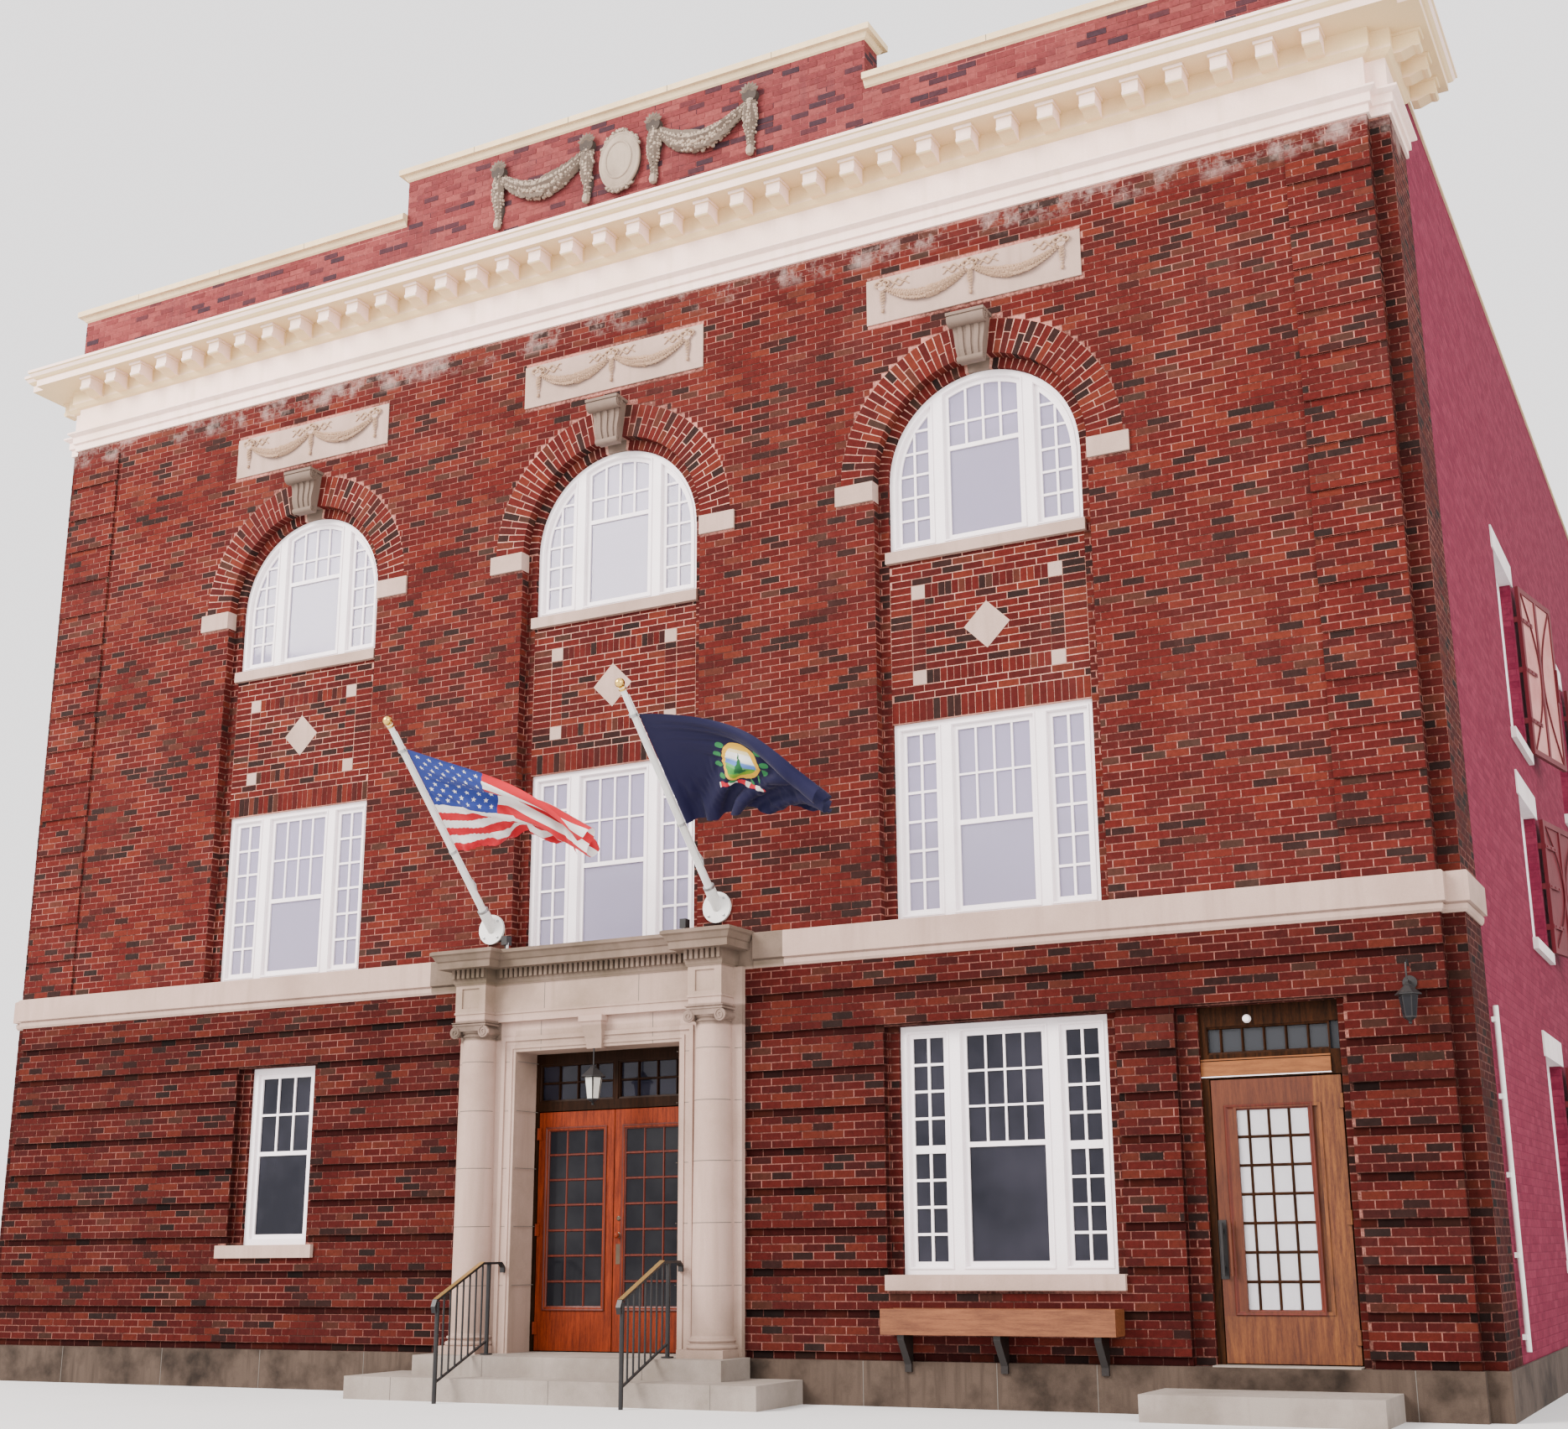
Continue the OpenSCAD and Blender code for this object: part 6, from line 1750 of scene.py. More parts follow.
@dataclass
class Carving:
    """Leaves, berries and ribbons of the stone garlands, set on the plain swags of the model."""

    shop: Workshop
    plaque_z: float = 9.8 + 0.464 * 0.78
    plaque_y: float = -0.014
    plaque_w: float = 2.157 * 0.42
    garland_z: float = 12.45
    pitch: float = 0.998
    oval: float = 0.24
    tall: float = 1.35

    def build(self) -> None:
        """Sets out the garlands of the three plaques and of the parapet."""
        leaves, berries = PointSet(), PointSet()
        rng = random.Random(8)
        for x in BAYS:
            for side in (-1, 1):
                end = side * self.plaque_w
                self.swag(leaves, berries, rng, (x, self.plaque_y, self.plaque_z), end, 0.167, 0.056, 34)
                self.tail(leaves, berries, rng, (x + end, self.plaque_y, self.plaque_z), 0.25, 0.03, 8)
            self.tail(leaves, berries, rng, (x, self.plaque_y, self.plaque_z), 0.27, 0.032, 9)
        shapes = self.shop.shapes
        self.make("plaque_leaves", leaves, shapes.leaf, "plaque_relief", Slot.LIMESTONE)
        self.make("plaque_berries", berries, shapes.berry, "plaque_relief", Slot.LIMESTONE)
        leaves, berries = PointSet(), PointSet()
        for side in (-1, 1):
            near, far = self.pitch * 0.42, self.pitch * 1.58
            start = (side * near, L.strip_back, self.garland_z + 0.28)
            self.swag(leaves, berries, rng, start, side * self.pitch * 1.16, 0.33, 0.115, 60, 8)
            for x in (near, far):
                top = self.garland_z + 0.33
                self.tail(leaves, berries, rng, (side * x, L.strip_back, top), 0.66, 0.085, 18, 6)
                for k in range(-3, 4):
                    a = 0.42 * k
                    spot = (side * x + 0.05 * math.sin(a), L.strip_back - 0.06, top + 0.05 * math.cos(a))
                    leaves.add(spot, (0.11, 0.09, 0.14), (0.2, a, 0.0))
        for k in range(60):
            a = math.radians(25 + 130 * k / 39) if k < 40 else math.radians(235 + 70 * (k - 40) / 19)
            r = self.oval * rng.uniform(1.0, 1.14)
            spot = (r * math.cos(a), L.strip_back - 0.05, self.garland_z + self.tall * r * math.sin(a))
            size = rng.uniform(0.03, 0.042)
            berries.add(spot, (size, size, size))
            leaves.add(spot, (0.06, 0.06, 0.075), (0.3, math.pi - a, 0.0))
        # The parapet's leaves take the darker copy of the stone as painted shade.
        self.make("parapet_leaves", leaves, shapes.leaf, "shaded_leaf_stone", Slot.CAST_STONE)
        self.make("parapet_berries", berries, shapes.berry, "garland_stone", Slot.CAST_STONE)
        self.ribbons()

    def make(self, name: str, points: PointSet, shape: bpy.types.Object, finish: str, slot: Slot) -> None:
        """Sets out one kind of carving, with berries shaded as curves."""
        self.shop.copies(points, shape, name, slot, finish, 0.0, 2, shape == self.shop.shapes.berry)

    @staticmethod
    def swag(leaves: PointSet, berries: PointSet, rng: random.Random, start: Point, width: float, drop: float,
             thick: float, count: int, fruit: int = 5) -> None:
        """Leaves in threes along a hanging garland, thick with fruit."""
        for i in range(count):
            t = (i + 0.5) / count
            x, z = start[0] + width * t, start[2] - 4 * drop * t * (1 - t)
            slope = math.atan2(-4 * drop * (1 - 2 * t), width)
            r = thick * (0.35 + 0.65 * math.sin(math.pi * t))
            for k in (-1, 0, 1):
                turn = -slope - math.pi / 2 * (1 if t < 0.5 else -1) * (1 if width > 0 else -1) + 0.6 * k
                y = start[1] - r * (0.92 if k == 0 else 0.62)
                spot = (x - math.sin(slope) * k * r * 0.6, y, z + math.cos(slope) * k * r * 0.6)
                size = r * rng.uniform(1.25, 1.7)
                leaves.add(spot, (size, size * 0.9, size), (0.5 * k, turn, 0.0))
            for k in range(fruit):
                d = r * rng.uniform(0.3, 0.5)
                a = rng.uniform(-1.25, 1.25)
                along = x + rng.uniform(-0.3, 0.3) * r
                berries.add((along, start[1] - r * math.cos(a) * 0.98, z + r * math.sin(a)), (d, d, d))

    @staticmethod
    def tail(leaves: PointSet, berries: PointSet, rng: random.Random, start: Point, length: float,
             thick: float, count: int, fruit: int = 2) -> None:
        """Leaves that hang from a bow and end in a tassel."""
        x, y, z = start
        for i in range(count):
            t = (i + 0.5) / count
            r = thick * (0.55 + 0.45 * math.sin(math.pi * min(t * 1.3, 1)))
            for k in (-1, 1):
                size = r * rng.uniform(1.5, 1.9)
                spot = (x + k * r * 0.45, y - r * 0.8, z - length * t)
                leaves.add(spot, (size, size * 0.8, size), (0.3, math.pi + 0.55 * k, 0.0))
            for _ in range(fruit):
                d = r * rng.uniform(0.4, 0.6)
                a = rng.uniform(-1.2, 1.2)
                berries.add((x + r * math.sin(a), y - r * math.cos(a), z - length * t), (d, d, d))
        d = thick * 1.1
        berries.add((x, y - thick * 0.5, z - length), (d, d, d * 1.4))

    def ribbons(self) -> None:
        """Looped bows over the garlands' ends and the rim of the parapet's oval."""
        stone, cast, scrolls = MeshBuilder(), MeshBuilder(), MeshBuilder()
        for x in BAYS:
            for t in (-self.plaque_w, 0.0, self.plaque_w):
                self.bow(stone, (x + t, self.plaque_y - 0.02, self.plaque_z + 0.02), 0.062, 0.011)
                for side in (-1, 1):
                    if abs(t + side * 0.2) < self.plaque_w:
                        self.flutter(stone, (x + t, self.plaque_y - 0.006, self.plaque_z + 0.03), side)
                stone.hoop((x + t, self.plaque_y - 0.008, self.plaque_z + 0.05), 0.036, 0.01, 20, 6)
            for y, z, r, half in ((-0.145, 9.564, 0.052, 0.182), (-0.074, 9.198, 0.028, 0.129)):
                coil = [(r * (1 - k / 34), k * 0.42) for k in range(29)]
                for side in (-1, 1):
                    face = x + side * (half + 0.002)
                    scrolls.tube([(face, y + reach * math.cos(w), z + reach * math.sin(w))
                                  for reach, w in coil], r * 0.14, 6)
        centre = (0.0, L.strip_back, self.garland_z)
        profile = ((0.03, 1.0), (0.058, 0.97), (0.066, 0.86), (0.078, 0.7), (0.077, 0.64), (0.084, 0.3),
                   (0.086, 0.04))
        cast.boss(centre, [(reach, share * self.oval) for reach, share in profile], 48, self.tall)
        for share, y, bar in ((0.985, 0.047, 0.02), (0.66, 0.076, 0.014), (0.82, 0.05, 0.011)):
            cast.hoop((0.0, L.strip_back - y, self.garland_z), self.oval * share, bar, 64, 8, self.tall)
        for spot in circle((0.0, L.strip_back - 0.048, self.garland_z), self.oval * 0.82, 28, self.tall):
            cast.lathe(spot, [(0.0, -0.02), (0.017, -0.012), (0.02, 0.0), (0.017, 0.012), (0.0, 0.02)], 8)
        self.shop.piece(stone, "plaque_bows", Slot.LIMESTONE, "plaque_relief", smooth=True)
        self.shop.piece(scrolls, "keystone_scrolls", Slot.LIMESTONE, smooth=True)
        self.shop.piece(cast, "parapet_bows", Slot.CAST_STONE, "garland_stone", smooth=True)

    @staticmethod
    def flutter(builder: MeshBuilder, start: Point, side: int) -> None:
        """Two wavy ribbon ends that blow from a bow."""
        for lift, phase in ((0.012, 0.0), (-0.03, 2.2)):
            path = []
            for k in range(17):
                wave = 0.018 * math.sin(k * 0.95 + phase)
                path.append((start[0] + side * (0.045 + 0.235 * k / 16), start[1], start[2] + lift + wave))
            builder.tube(path, [0.011 - 0.006 * abs(k - 8) / 8 for k in range(17)], 6)

    @staticmethod
    def bow(builder: MeshBuilder, centre: Point, size: float, bar: float) -> None:
        """A bow of two loops and a knot."""
        x, y, z = centre
        for side in (-1, 1):
            turns = [2 * math.pi * k / 12 for k in range(13)]
            loop = [(side * (0.62 - 0.58 * math.cos(w)), 0.42 * math.sin(w) + 0.16) for w in turns]
            builder.tube([(x + size * a, y, z + size * b) for a, b in loop], bar, 7)
        knot = ((0.0, -0.3), (0.2, -0.2), (0.24, 0.0), (0.2, 0.2), (0.0, 0.3))
        builder.lathe((x, y - bar * 0.3, z), [(size * a, size * b) for a, b in knot], 10)


@dataclass(frozen=True)
class UprightJoints:
    """Upright joints of one face between two levels."""

    places: tuple[float, ...]
    face: float
    low: float
    high: float


LINTEL_JOINTS = (UprightJoints((-0.62, 0.62), -0.06, 3.112, 3.39),
                 UprightJoints((-0.55, 0.5), -0.12, 3.5, 3.745))
FOUNDATION_JOINTS = (UprightJoints((-6.6, -5.2, -3.9, -2.6, 2.7, 3.9, 4.75, 7.2), -0.02, 0.0, 0.36),
                     UprightJoints((-0.84, 0.84), -0.52, 0.199, 0.37),
                     UprightJoints((-1.6, 0.1, 1.7), -0.84, 0.0, 0.198))
COPING_JOINTS = (UprightJoints((-6.9, -5.6, -4.3, 4.2, 5.5, 6.8), 0.015, 12.522, 12.59),
                 UprightJoints((-1.9, -0.65, 0.6, 1.85), 0.015, 13.082, 13.15))


@dataclass
class StoneJoints:
    """Thin mortar lines that show where the stones meet."""

    shop: Workshop
    width: float = 0.006
    proud: float = 0.0012

    def build(self) -> None:
        """Makes the lines of the belt, columns, lintel and frieze, of the foundation and of the copings."""
        for name, slot, parts, joints in (
                ("stone_joints", Slot.LIMESTONE, (self.belt, self.columns), LINTEL_JOINTS),
                ("foundation_joints", Slot.GRANITE, (), FOUNDATION_JOINTS),
                ("coping_joints", Slot.CAST_STONE, (), COPING_JOINTS)):
            lines = MeshBuilder()
            for part in parts:
                part(lines)
            for joint in joints:
                for x in joint.places:
                    self.upright(lines, x, joint.face, joint.low, joint.high)
            self.shop.piece(lines, name, slot, "stone_joint")

    def upright(self, lines: MeshBuilder, x: float, y: float, z0: float, z1: float) -> None:
        """A line up a face at a place along the front."""
        half = self.width / 2
        lines.box((x - half, y - self.proud, z0), (x + half, y + 0.004, z1))

    def level(self, lines: MeshBuilder, x0: float, x1: float, y: float, z: float) -> None:
        """A level line along a face."""
        half = self.width / 2
        lines.box((x0, y - self.proud, z - half), (x1, y + 0.004, z + half))

    def belt(self, lines: MeshBuilder) -> None:
        """Joints of the belt course, away from the portico."""
        rng = random.Random(12)
        x = -L.front_half + 1.15
        while x < L.front_half - 0.5:
            if abs(x) > 1.75:
                self.upright(lines, x, -0.05, 3.8, 4.0)
            x += rng.choice((1.35, 1.9, 1.6, 2.1))

    def columns(self, lines: MeshBuilder) -> None:
        """Rings round the columns' drums and lines across the pilasters beside them."""
        half = self.width / 2
        turns = [math.radians(180 + 180 * k / 24) for k in range(25)]
        for side in (-1, 1):
            face = side * 0.88
            back, out = sorted((face - side * self.proud, face + side * 0.002))
            for level, radius in ((0.97, 0.186), (1.5, 0.183), (2.03, 0.178), (2.56, 0.171), (3.02, 0.164)):
                r = radius + self.proud
                lines.skirt([[(side * 1.296 + r * math.cos(w), -0.1 + r * math.sin(w), z) for w in turns]
                             for z in (level - half, level + half)], False)
                for ends in ((1.485, 1.5605), (0.94, 1.018)):
                    x0, x1 = sorted(side * x for x in ends)
                    self.level(lines, x0, x1, -0.06, level)
                lines.box((back, -0.055, level - half), (out, 0.285, level + half))


@dataclass
class WindowTrim:
    """Mouldings, blinds, and the dark panels of painted shade behind the windows."""

    shop: Workshop
    lights: tuple[Pair, ...] = ((-0.886, -0.515), (-0.385, 0.385), (0.515, 0.886))
    profile: tuple[Pair, ...] = ((-0.018, 0.0), (-0.018, -0.009), (-0.006, -0.009), (0.001, 0.004),
                                                (0.001, 0.02))

    def build(self) -> None:
        """Makes the mouldings and what is seen through the glass."""
        trim = MeshBuilder()
        for x in BAYS:
            self.casing(trim, x, L.sill_top, L.spring - L.sill_top, True, L.frame_back)
            self.casing(trim, x, L.upper, L.upper_h, False, L.frame_back)
        self.casing(trim, L.bay, L.wide_sill, L.wide_h, False, L.frame_back)
        self.shop.piece(trim, "window_mouldings", Slot.WHITE)
        self.rooms()

    def casing(self, trim: MeshBuilder, x: float, z: float, h: float, arched: bool, back: float) -> None:
        """Stepped bead round each light, just proud of the frame's face."""
        for x0, x1 in self.lights:
            trim.skirt([[(x + a, back + y, z + b) for a, b in self.outline(x0, x1, h, arched, inset)]
                        for inset, y in self.profile])

    @staticmethod
    def outline(x0: float, x1: float, h: float, arched: bool, inset: float) -> list[Pair]:
        """Outline of a light, anticlockwise seen from the front, cut back by inset."""
        a, b, low = x0 + inset, x1 - inset, 0.062 + inset
        if not arched:
            top = h - 0.062 - inset
            return [(a, low), (b, low), (b, top), (a, top)]
        r = L.light_r - 0.064 - inset
        points = [(a, low), (b, low)]
        steps = 20
        for k in range(steps + 1):
            along = b + (a - b) * k / steps
            reach = max(min(abs(along), r), 0.0)
            points.append((along, h + math.sqrt(max(r * r - reach * reach, 0.0))))
        return points

    def rooms(self) -> None:
        """Blinds, curtains, and dark panels behind the glass: painted shade that stands for the unlit rooms.
        """
        blind, dark, edge = MeshBuilder(), MeshBuilder(), MeshBuilder()
        for k, x in enumerate(BAYS):
            y = L.frame_back + 0.135
            for z, h, share in ((L.sill_top, 1.62, (0.36, 0.42, 0.3)[k]),
                                (L.upper, 1.78, (0.5, 0.46, 0.52)[k])):
                self.plane(dark, x - 0.92, x + 0.92, y + 0.25, z, z + h)
                for x0, x1 in self.lights:
                    top = z + h
                    low = top - h * share
                    self.plane(blind, x + x0 - 0.02, x + x1 + 0.02, y, low, top)
                    edge.box((x + x0 - 0.02, y - 0.006, low - 0.02), (x + x1 + 0.02, y + 0.002, low))
        self.plane(dark, L.bay - 0.92, L.bay + 0.92, 0.6, 1.06, 3.12)
        self.plane(dark, -4.42, -3.46, 0.6, 1.37, 3.12)
        self.plane(dark, -0.88, 0.88, 0.47, 2.6, 3.08)
        net = MeshBuilder()
        self.plane(net, 5.6, 6.8, 0.3, 2.6, 3.1)
        self.plane(net, L.bay - 0.9, L.bay - 0.5, L.frame_back + 0.135, 1.12, 2.3)
        self.shop.piece(net, "net_curtains", Slot.WHITE, "net_curtain")
        self.shop.piece(dark, "dark_rooms", Slot.FLOOR, "room_shade_panel")
        self.shop.piece(blind, "window_blinds", Slot.WHITE, "blind")
        self.shop.piece(edge, "blind_rails", Slot.WHITE)

    @staticmethod
    def plane(builder: MeshBuilder, x0: float, x1: float, y: float, z0: float, z1: float) -> None:
        """A thin upright panel that faces the front."""
        builder.box((x0, y, z0), (x1, y + 0.004, z1))


Hinge = tuple[int, float, float]


@dataclass
class ShutterIrons:
    """Braces and straps of the side windows' iron shutters, and pale panels of painted glint."""

    shop: Workshop
    rows: tuple[Pair, ...] = ((1.09, 1.88), (4.11, 1.42), (6.22, 1.88))
    places: tuple[float, ...] = (5.0, 9.55, 14.1)
    width: float = 1.07
    rim: float = 0.06
    thick: float = 0.04
    start: Point = (0.65, -0.035, 0.01)
    turn: float = math.radians(-11)

    def build(self) -> None:
        """Makes the irons of every shutter, and on the top row the pale panels of painted glint."""
        irons, pale = MeshBuilder(), MeshBuilder()
        for side in (-1, 1):
            for along in self.places:
                for level, height in self.rows:
                    hinge = (side, along, level)
                    h = height - 0.02
                    self.leaf(irons, hinge, h)
                    # Only the top row carries the pale sheets of painted glint.
                    if level > 6:
                        self.panels(pale, hinge, h)
        self.shop.piece(irons, "shutter_irons", Slot.SHUTTER, smooth=True)
        self.shop.piece(pale, "shutter_panels", Slot.SHUTTER, "painted_glint")

    def place(self, hinge: Hinge, a: float, b: float, c: float) -> Point:
        """Place in the building of a point given along, into and up a shutter's leaf."""
        side, along, level = hinge
        x = self.start[0] + a * math.cos(self.turn) - b * math.sin(self.turn)
        y = self.start[1] + a * math.sin(self.turn) + b * math.cos(self.turn)
        return (side * (L.body_half - y), along + x, level + self.start[2] + c)

    def block(self, builder: MeshBuilder, hinge: Hinge, low: Point, high: Point) -> None:
        """Adds a block that is turned with its leaf."""
        aways, depths, heights = zip(low, high)
        builder.hull([self.place(hinge, a, b, c) for a in aways for b in depths for c in heights])

    def leaf(self, builder: MeshBuilder, hinge: Hinge, h: float) -> None:
        """Bowed braces in both panels, three straps with rivets and a bolt on the outside of a leaf."""
        face = -self.thick
        reach = self.width / 2 - self.rim - 0.05
        for middle, sign in ((self.rim, 1), (self.width - self.rim, -1)):
            path = []
            for k in range(15):
                t = k / 14
                a = middle + sign * (0.02 + reach * math.sin(math.pi * t))
                path.append(self.place(hinge, a, face + 0.002, self.rim + (h - 2 * self.rim) * t))
            builder.tube(path, 0.009, 6)
        for c in (0.2 * h, 0.5 * h, 0.8 * h):
            self.block(builder, hinge, (0.004, face - 0.006, c - 0.022), (0.36, face + 0.001, c + 0.022))
            for a in (0.06, 0.18, 0.3):
                low, high = (a - 0.01, face - 0.012, c - 0.01), (a + 0.01, face - 0.005, c + 0.01)
                self.block(builder, hinge, low, high)
        bolt = self.width - 0.045
        self.block(builder, hinge, (bolt, face - 0.014, h * 0.42), (bolt + 0.025, face + 0.001, h * 0.62))

    def panels(self, builder: MeshBuilder, hinge: Hinge, h: float) -> None:
        """Thin pale sheets in the two panels of a leaf: painted glint."""
        face = -self.thick + 0.0125
        half = self.width / 2
        for a, b in ((self.rim, half - self.rim / 2), (half + self.rim / 2, self.width - self.rim)):
            low = (a + 0.001, face, self.rim + 0.001)
            self.block(builder, hinge, low, (b - 0.001, face + 0.0012, h - self.rim))


class ClothTree(MaterialTree):
    """Writer of one flag cloth, which is drawn on its UV map."""

    def __init__(self, name: str) -> None:
        """Starts the material and reads how far along and down the cloth a place lies."""
        super().__init__(name)
        self.map = self.value("UVMap", uv_map="UVMap")
        self.u, self.v, _ = self.xyz(self.map)

    def woven(self, colour: Value) -> bpy.types.Material:
        """Gives the cloth its colour, sheen and weave, and returns the material."""
        weave = self.noise(self.stretch(self.map, (900.0, 600.0, 1.0)), 1.0, 1.0)
        colour = self.tint(colour, self.ramp(weave, [(0.3, 0.86), (0.7, 1.06)]))
        return self.finish(weave, 0.12, 0.001, Base_Color=colour, Roughness=0.62, Sheen_Weight=0.06,
                           Specular_IOR_Level=0.15)


@dataclass(frozen=True)
class StripedCloth(Surface):
    """Flag cloth with red and white stripes and a blue field of white stars."""

    name: str = "striped_cloth"
    red: Colour = (0.46, 0.008, 0.02)
    white: Colour = (0.72, 0.7, 0.68)
    blue: Colour = (0.018, 0.035, 0.2)
    stripes: int = 13
    field_long: float = 0.4
    field_rows: int = 7
    star: float = 0.026

    def make(self, effects: Effects) -> bpy.types.Material:
        """Draws the stripes, and in the field a star at every second crossing of a grid."""
        t = ClothTree(self.name)
        stripes = t.mix(t.math("FLOOR", t.v * self.stripes) % 2, self.red, self.white)
        across = t.u * (12 / self.field_long)
        down = t.v * (10 * self.stripes / self.field_rows)
        column, row = t.math("ROUND", across), t.math("ROUND", down)
        even = (column + row) % 2 < 0.5
        inner = t.math("COMPARE", column, 6, 5.5) * t.math("COMPARE", row, 5, 4.5)
        x = (across - column) * (self.field_long * ClothFlag.fly / 12)
        y = (row - down) * (self.field_rows / self.stripes * ClothFlag.hoist / 10)
        turn = t.math("PINGPONG", abs(t.math("ARCTAN2", x, y)), math.radians(36))
        reach = t.math("SQRT", x * x + y * y) * t.math("COSINE", math.radians(72) - turn)
        star = (reach < self.star * math.sin(math.radians(18))) * even * inner
        return t.woven(t.mix((across < 12) * (down < 10), stripes, t.mix(star, self.blue, self.white)))


@dataclass(frozen=True)
class EmblemCloth(Surface):
    """Navy flag cloth with a plain landscape in an oval, leaves at its sides and a ribbon under it."""

    name: str = "emblem_cloth"
    navy: Colour = (0.004, 0.0035, 0.028)
    centre: Pair = (0.86, 0.5)
    half: Pair = (0.2, 0.245)

    def make(self, effects: Effects) -> bpy.types.Material:
        """Draws the leaves, the oval with its land, tree and sky, and the ribbon."""
        t = ClothTree(self.name)
        x = t.u * ClothFlag.fly - self.centre[0]
        y = self.centre[1] - t.v * ClothFlag.hoist
        a, b = self.half
        colour: Value | Colour = self.navy
        for side in (-1, 1):
            for k in range(5):
                w = math.radians(-62 + 26 * k)
                stem = (side * (a + 0.05) * math.cos(w), (b + 0.03) * math.sin(w))
                colour = t.mix(self.oval(x, y, stem, (0.042, 0.03)), colour, (0.02, 0.16, 0.05))
        colour = t.mix(self.oval(x, y, (0.0, 0.0), (a, b)), colour, (0.62, 0.35, 0.02))
        land = t.ramp(y + 0.5, [
            (0.0, (0.16, 0.3, 0.02)), (0.38, (0.05, 0.27, 0.05)), (0.46, (0.1, 0.33, 0.12)),
            (0.5, (0.09, 0.2, 0.5)), (0.55, (0.3, 0.42, 0.62)), (0.56, (0.75, 0.75, 0.72)),
            (0.64, (0.7, 0.62, 0.35)), (0.67, (0.66, 0.4, 0.03))], steps=True)
        colour = t.mix(self.oval(x, y, (0.0, 0.0), (a * 0.82, b * 0.82)), colour, land)
        tree = (abs(x) < (0.15 - y) * 0.22) * t.math("COMPARE", y, 0.02, 0.125)
        colour = t.mix(tree, colour, (0.01, 0.1, 0.03))
        waved = y + t.math("COSINE", x * 14) * 0.02
        ribbon = t.math("COMPARE", x, 0.0, 0.26) * t.math("COMPARE", waved, -b - 0.035, 0.026)
        bands = t.math("SINE", x * 38) > 0.1
        return t.woven(t.mix(ribbon, colour, t.mix(bands, (0.5, 0.012, 0.03), (0.72, 0.66, 0.6))))

    @staticmethod
    def oval(x: Value, y: Value, centre: Pair, half: Pair) -> Value:
        """Mask of an oval from its centre and half widths."""
        dx, dy = (x - centre[0]) / half[0], (y - centre[1]) / half[1]
        return dx * dx + dy * dy < 1


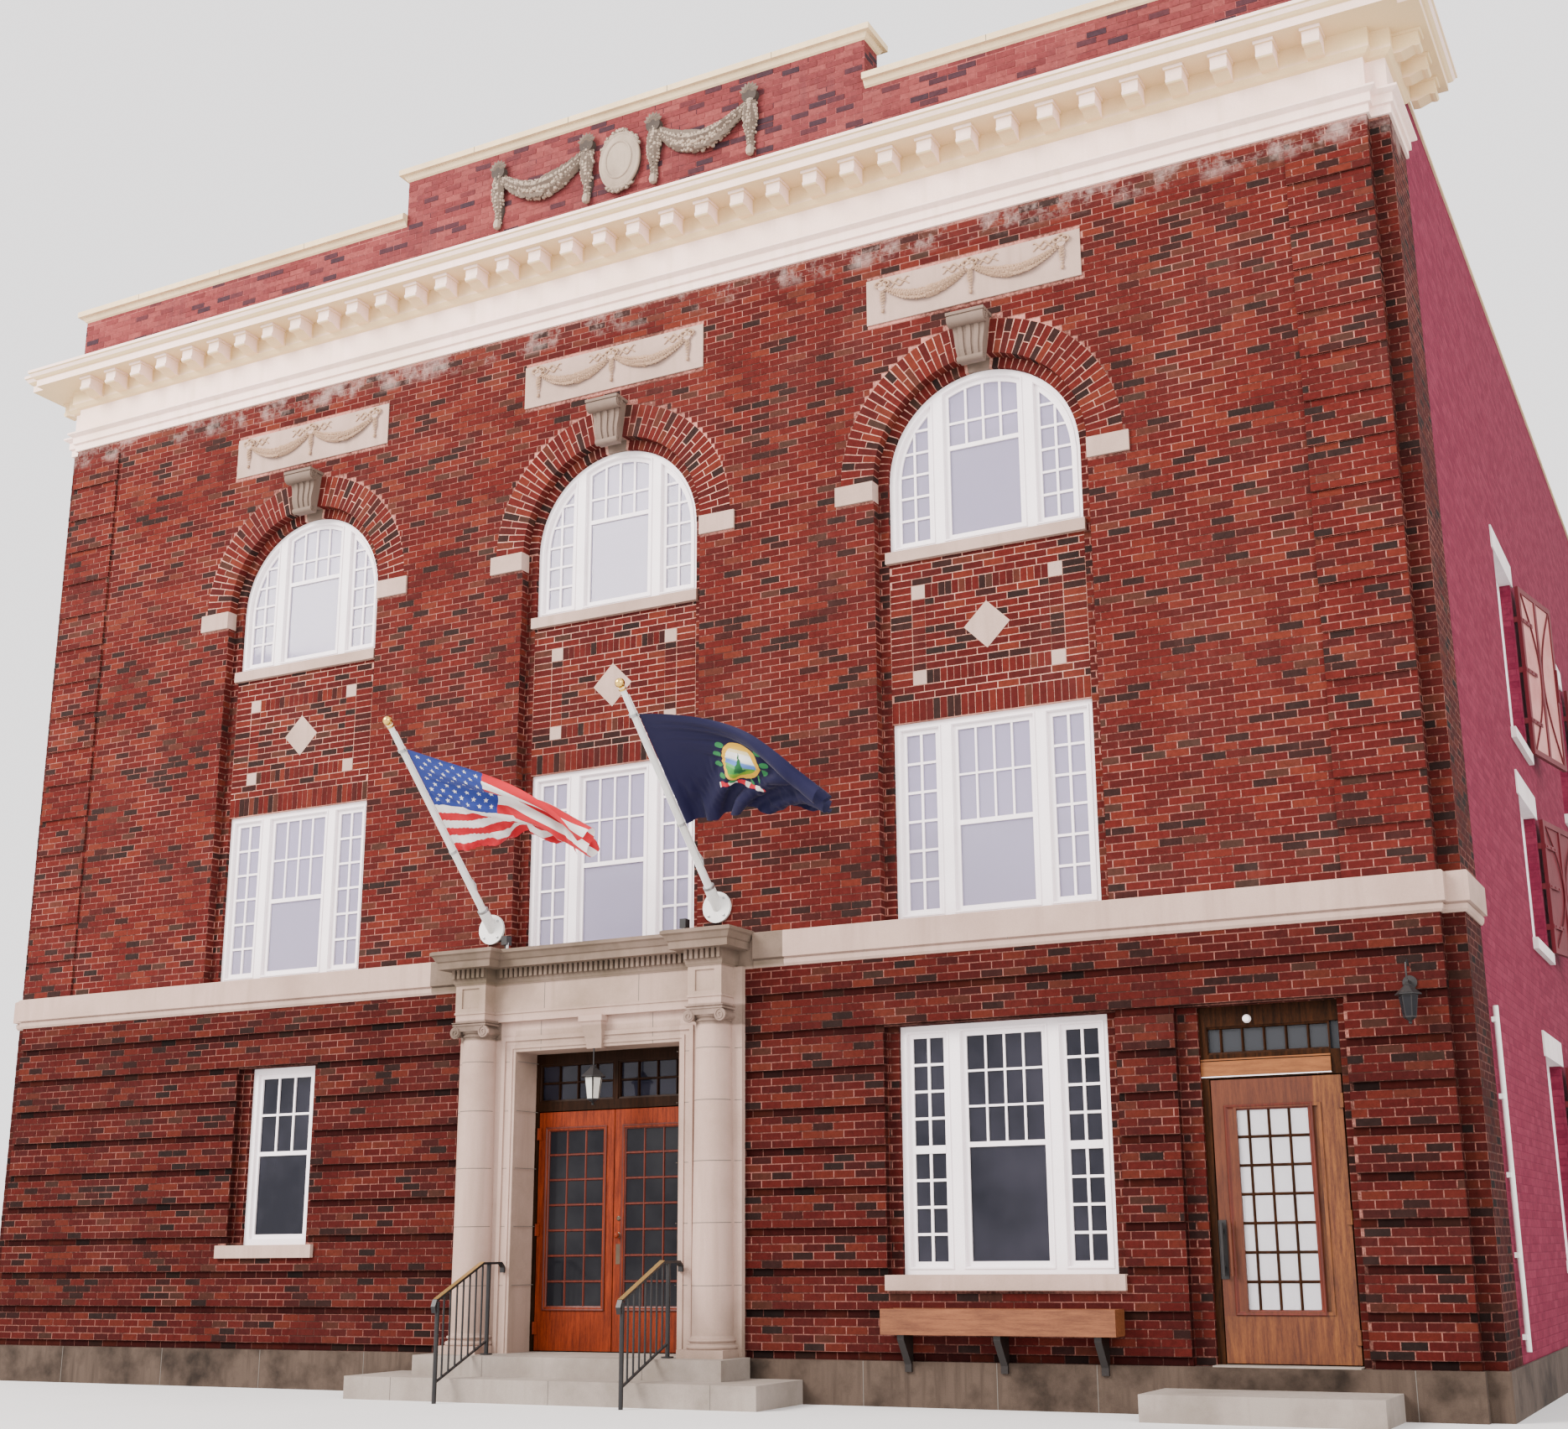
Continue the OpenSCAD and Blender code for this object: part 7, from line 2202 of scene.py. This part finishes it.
@dataclass(frozen=True)
class ClothFlag:
    """One flag: cloth of cut size that hangs from its pole and is blown to the right."""

    name: str
    finish: str
    upper: tuple[Point, ...]
    lower: tuple[Point, ...]
    seed: int
    fly: ClassVar[float] = 1.8
    hoist: ClassVar[float] = 1.16
    columns: int = 72
    rows: int = 46

    def build(self, shop: Workshop) -> None:
        points = self.relax(self.guide())
        mesh = bpy.data.meshes.new(self.name)
        m, n = self.columns + 1, self.rows + 1
        faces = [(i * n + j, i * n + j + 1, (i + 1) * n + j + 1, (i + 1) * n + j)
                 for i in range(m - 1) for j in range(n - 1)]
        mesh.from_pydata(points.reshape(-1, 3).tolist(), [], faces)
        layer = mesh.uv_layers.new(name="UVMap")
        for loop in mesh.loops:
            i, j = divmod(loop.vertex_index, n)
            layer.data[loop.index].uv = (i / self.columns, j / self.rows)
        mesh.materials.append(shop.extra[self.finish])
        mesh.shade_smooth()
        obj = shop.fit(placed(self.name, mesh))
        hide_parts("flags")

    def guide(self) -> np.ndarray:
        """Surface between the upper and the lower edge, with ripples that break its evenness."""
        u = np.linspace(0.0, 1.0, self.columns + 1)
        v = np.linspace(0.0, 1.0, self.rows + 1)
        top, bottom = (self.curve(edge, u) for edge in (self.upper, self.lower))
        grid = top[:, None] * (1 - v)[None, :, None] + bottom[:, None] * v[None, :, None]
        rng = np.random.default_rng(self.seed)
        for waves in range(1, 5):
            phase = rng.uniform(0, 2 * math.pi)
            ripple = np.sin(2 * math.pi * (waves * u[:, None] + 0.6 * waves * v[None, :]) + phase)
            grid += (0.035 / waves) * u[:, None, None] * ripple[:, :, None] * np.array((0.3, 0.8, 0.5))
        return grid

    @staticmethod
    def curve(points: Sequence[Point], u: np.ndarray) -> np.ndarray:
        """Smooth curve through points, read at even parts of its length."""
        p = np.array(points)
        p = np.vstack((2 * p[0] - p[1], p, 2 * p[-1] - p[-2]))
        parts = []
        for i in range(1, len(p) - 2):
            s = np.linspace(0, 1, 30, endpoint=i == len(p) - 3)[:, None]
            a, b, c, d = p[i - 1:i + 3]
            parts.append(0.5 * (2 * b + (c - a) * s + (2 * a - 5 * b + 4 * c - d) * s ** 2
                                + (3 * b - a - 3 * c + d) * s ** 3))
        line = np.vstack(parts)
        along = np.concatenate(((0,), np.cumsum(np.linalg.norm(np.diff(line, axis=0), axis=1))))
        return np.stack([np.interp(u * along[-1], along, line[:, k]) for k in range(3)], axis=1)

    def relax(self, guide: np.ndarray) -> np.ndarray:
        """Moves the points until the threads have their cut lengths, while the edges follow their guides."""
        p = guide.copy()
        along, down = self.fly / self.columns, self.hoist / self.rows
        for step in range(900):
            hold = 0.12 * (1 - step / 900)
            p[1:, 0] += (guide[1:, 0] - p[1:, 0]) * hold
            p[1:, -1] += (guide[1:, -1] - p[1:, -1]) * hold
            p += (guide - p) * hold * 0.12
            for reach in (6, 3, 1):
                self.keep(p, 0, reach, along * reach, reach > 1)
                self.keep(p, 1, reach, down * reach, reach > 1)
            self.slant(p, math.hypot(along, down))
            p[0] = guide[0]
        return p

    @staticmethod
    def keep(p: np.ndarray, axis: int, reach: int, length: float, spread: bool) -> None:
        """Sets the distance of points some threads apart, or with spread only keeps them from folding up."""
        q = p if axis == 0 else p.transpose(1, 0, 2)
        for start in range(2 * reach):
            first = np.arange(start, len(q) - reach, 2 * reach)
            if not len(first):
                continue
            a, b = q[first], q[first + reach]
            gap = b - a
            size = np.linalg.norm(gap, axis=2, keepdims=True) + 1e-9
            aim = np.maximum(size, 0.9 * length) if spread else length
            aim = np.minimum(aim, length)
            move = gap * (0.5 * (size - aim) / size) * (0.35 if spread else 1.0)
            q[first] = a + move
            q[first + reach] = b - move

    @staticmethod
    def slant(p: np.ndarray, length: float) -> None:
        """Keeps the squares of the weave from leaning far over."""
        for a, b in (((slice(None, -1), slice(None, -1)), (slice(1, None), slice(1, None))),
                     ((slice(1, None), slice(None, -1)), (slice(None, -1), slice(1, None)))):
            gap = p[b] - p[a]
            size = np.linalg.norm(gap, axis=2, keepdims=True) + 1e-9
            aim = np.clip(size, 0.93 * length, 1.07 * length)
            move = gap * (0.2 * (size - aim) / size)
            p[a] += move
            p[b] -= move


CLOTHS = (StripedCloth(), EmblemCloth())
FLAGS = (
    ClothFlag("flag_striped", "striped_cloth",
              ((-1.218, -1.485, 5.805), (-0.86, -1.43, 5.66), (-0.42, -1.3, 5.46), (-0.1, -1.15, 5.33),
               (0.18, -1.0, 5.2), (0.33, -0.88, 4.99), (0.45, -0.8, 4.8)),
              ((-1.218, -0.665, 4.985), (-0.86, -0.62, 5.03), (-0.52, -0.55, 5.14), (-0.3, -0.62, 5.08),
               (-0.05, -0.55, 4.98), (0.2, -0.62, 4.88)), 4),
    ClothFlag("flag_emblem", "emblem_cloth",
              ((1.322, -1.485, 5.805), (1.72, -1.52, 5.76), (2.06, -1.48, 5.66), (2.36, -1.42, 5.54),
               (2.56, -1.36, 5.36), (2.8, -1.26, 5.12), (3.0, -1.15, 4.9)),
              ((1.322, -0.665, 4.985), (1.66, -0.62, 5.01), (2.0, -0.72, 5.03), (2.36, -0.66, 5.02),
               (2.7, -0.62, 4.98)), 9),
)


def main() -> None:
    """Builds the dressing in order."""
    logging.basicConfig(level=logging.INFO, format="%(message)s")
    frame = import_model()
    shop = Workshop()
    Camera().build()
    Studio().build()
    shop.dress_frame(frame)
    for part in (BrickFront, ArchBricks, GlazingBars, WindowTrim, Glazing, Ironwork, Carving, StoneJoints,
                 ShutterIrons):
        part(shop).build()
    for flag in FLAGS:
        flag.build(shop)
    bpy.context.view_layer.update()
    LOG.info("%d pieces", shop.made)


if __name__ == "__main__":
    main()
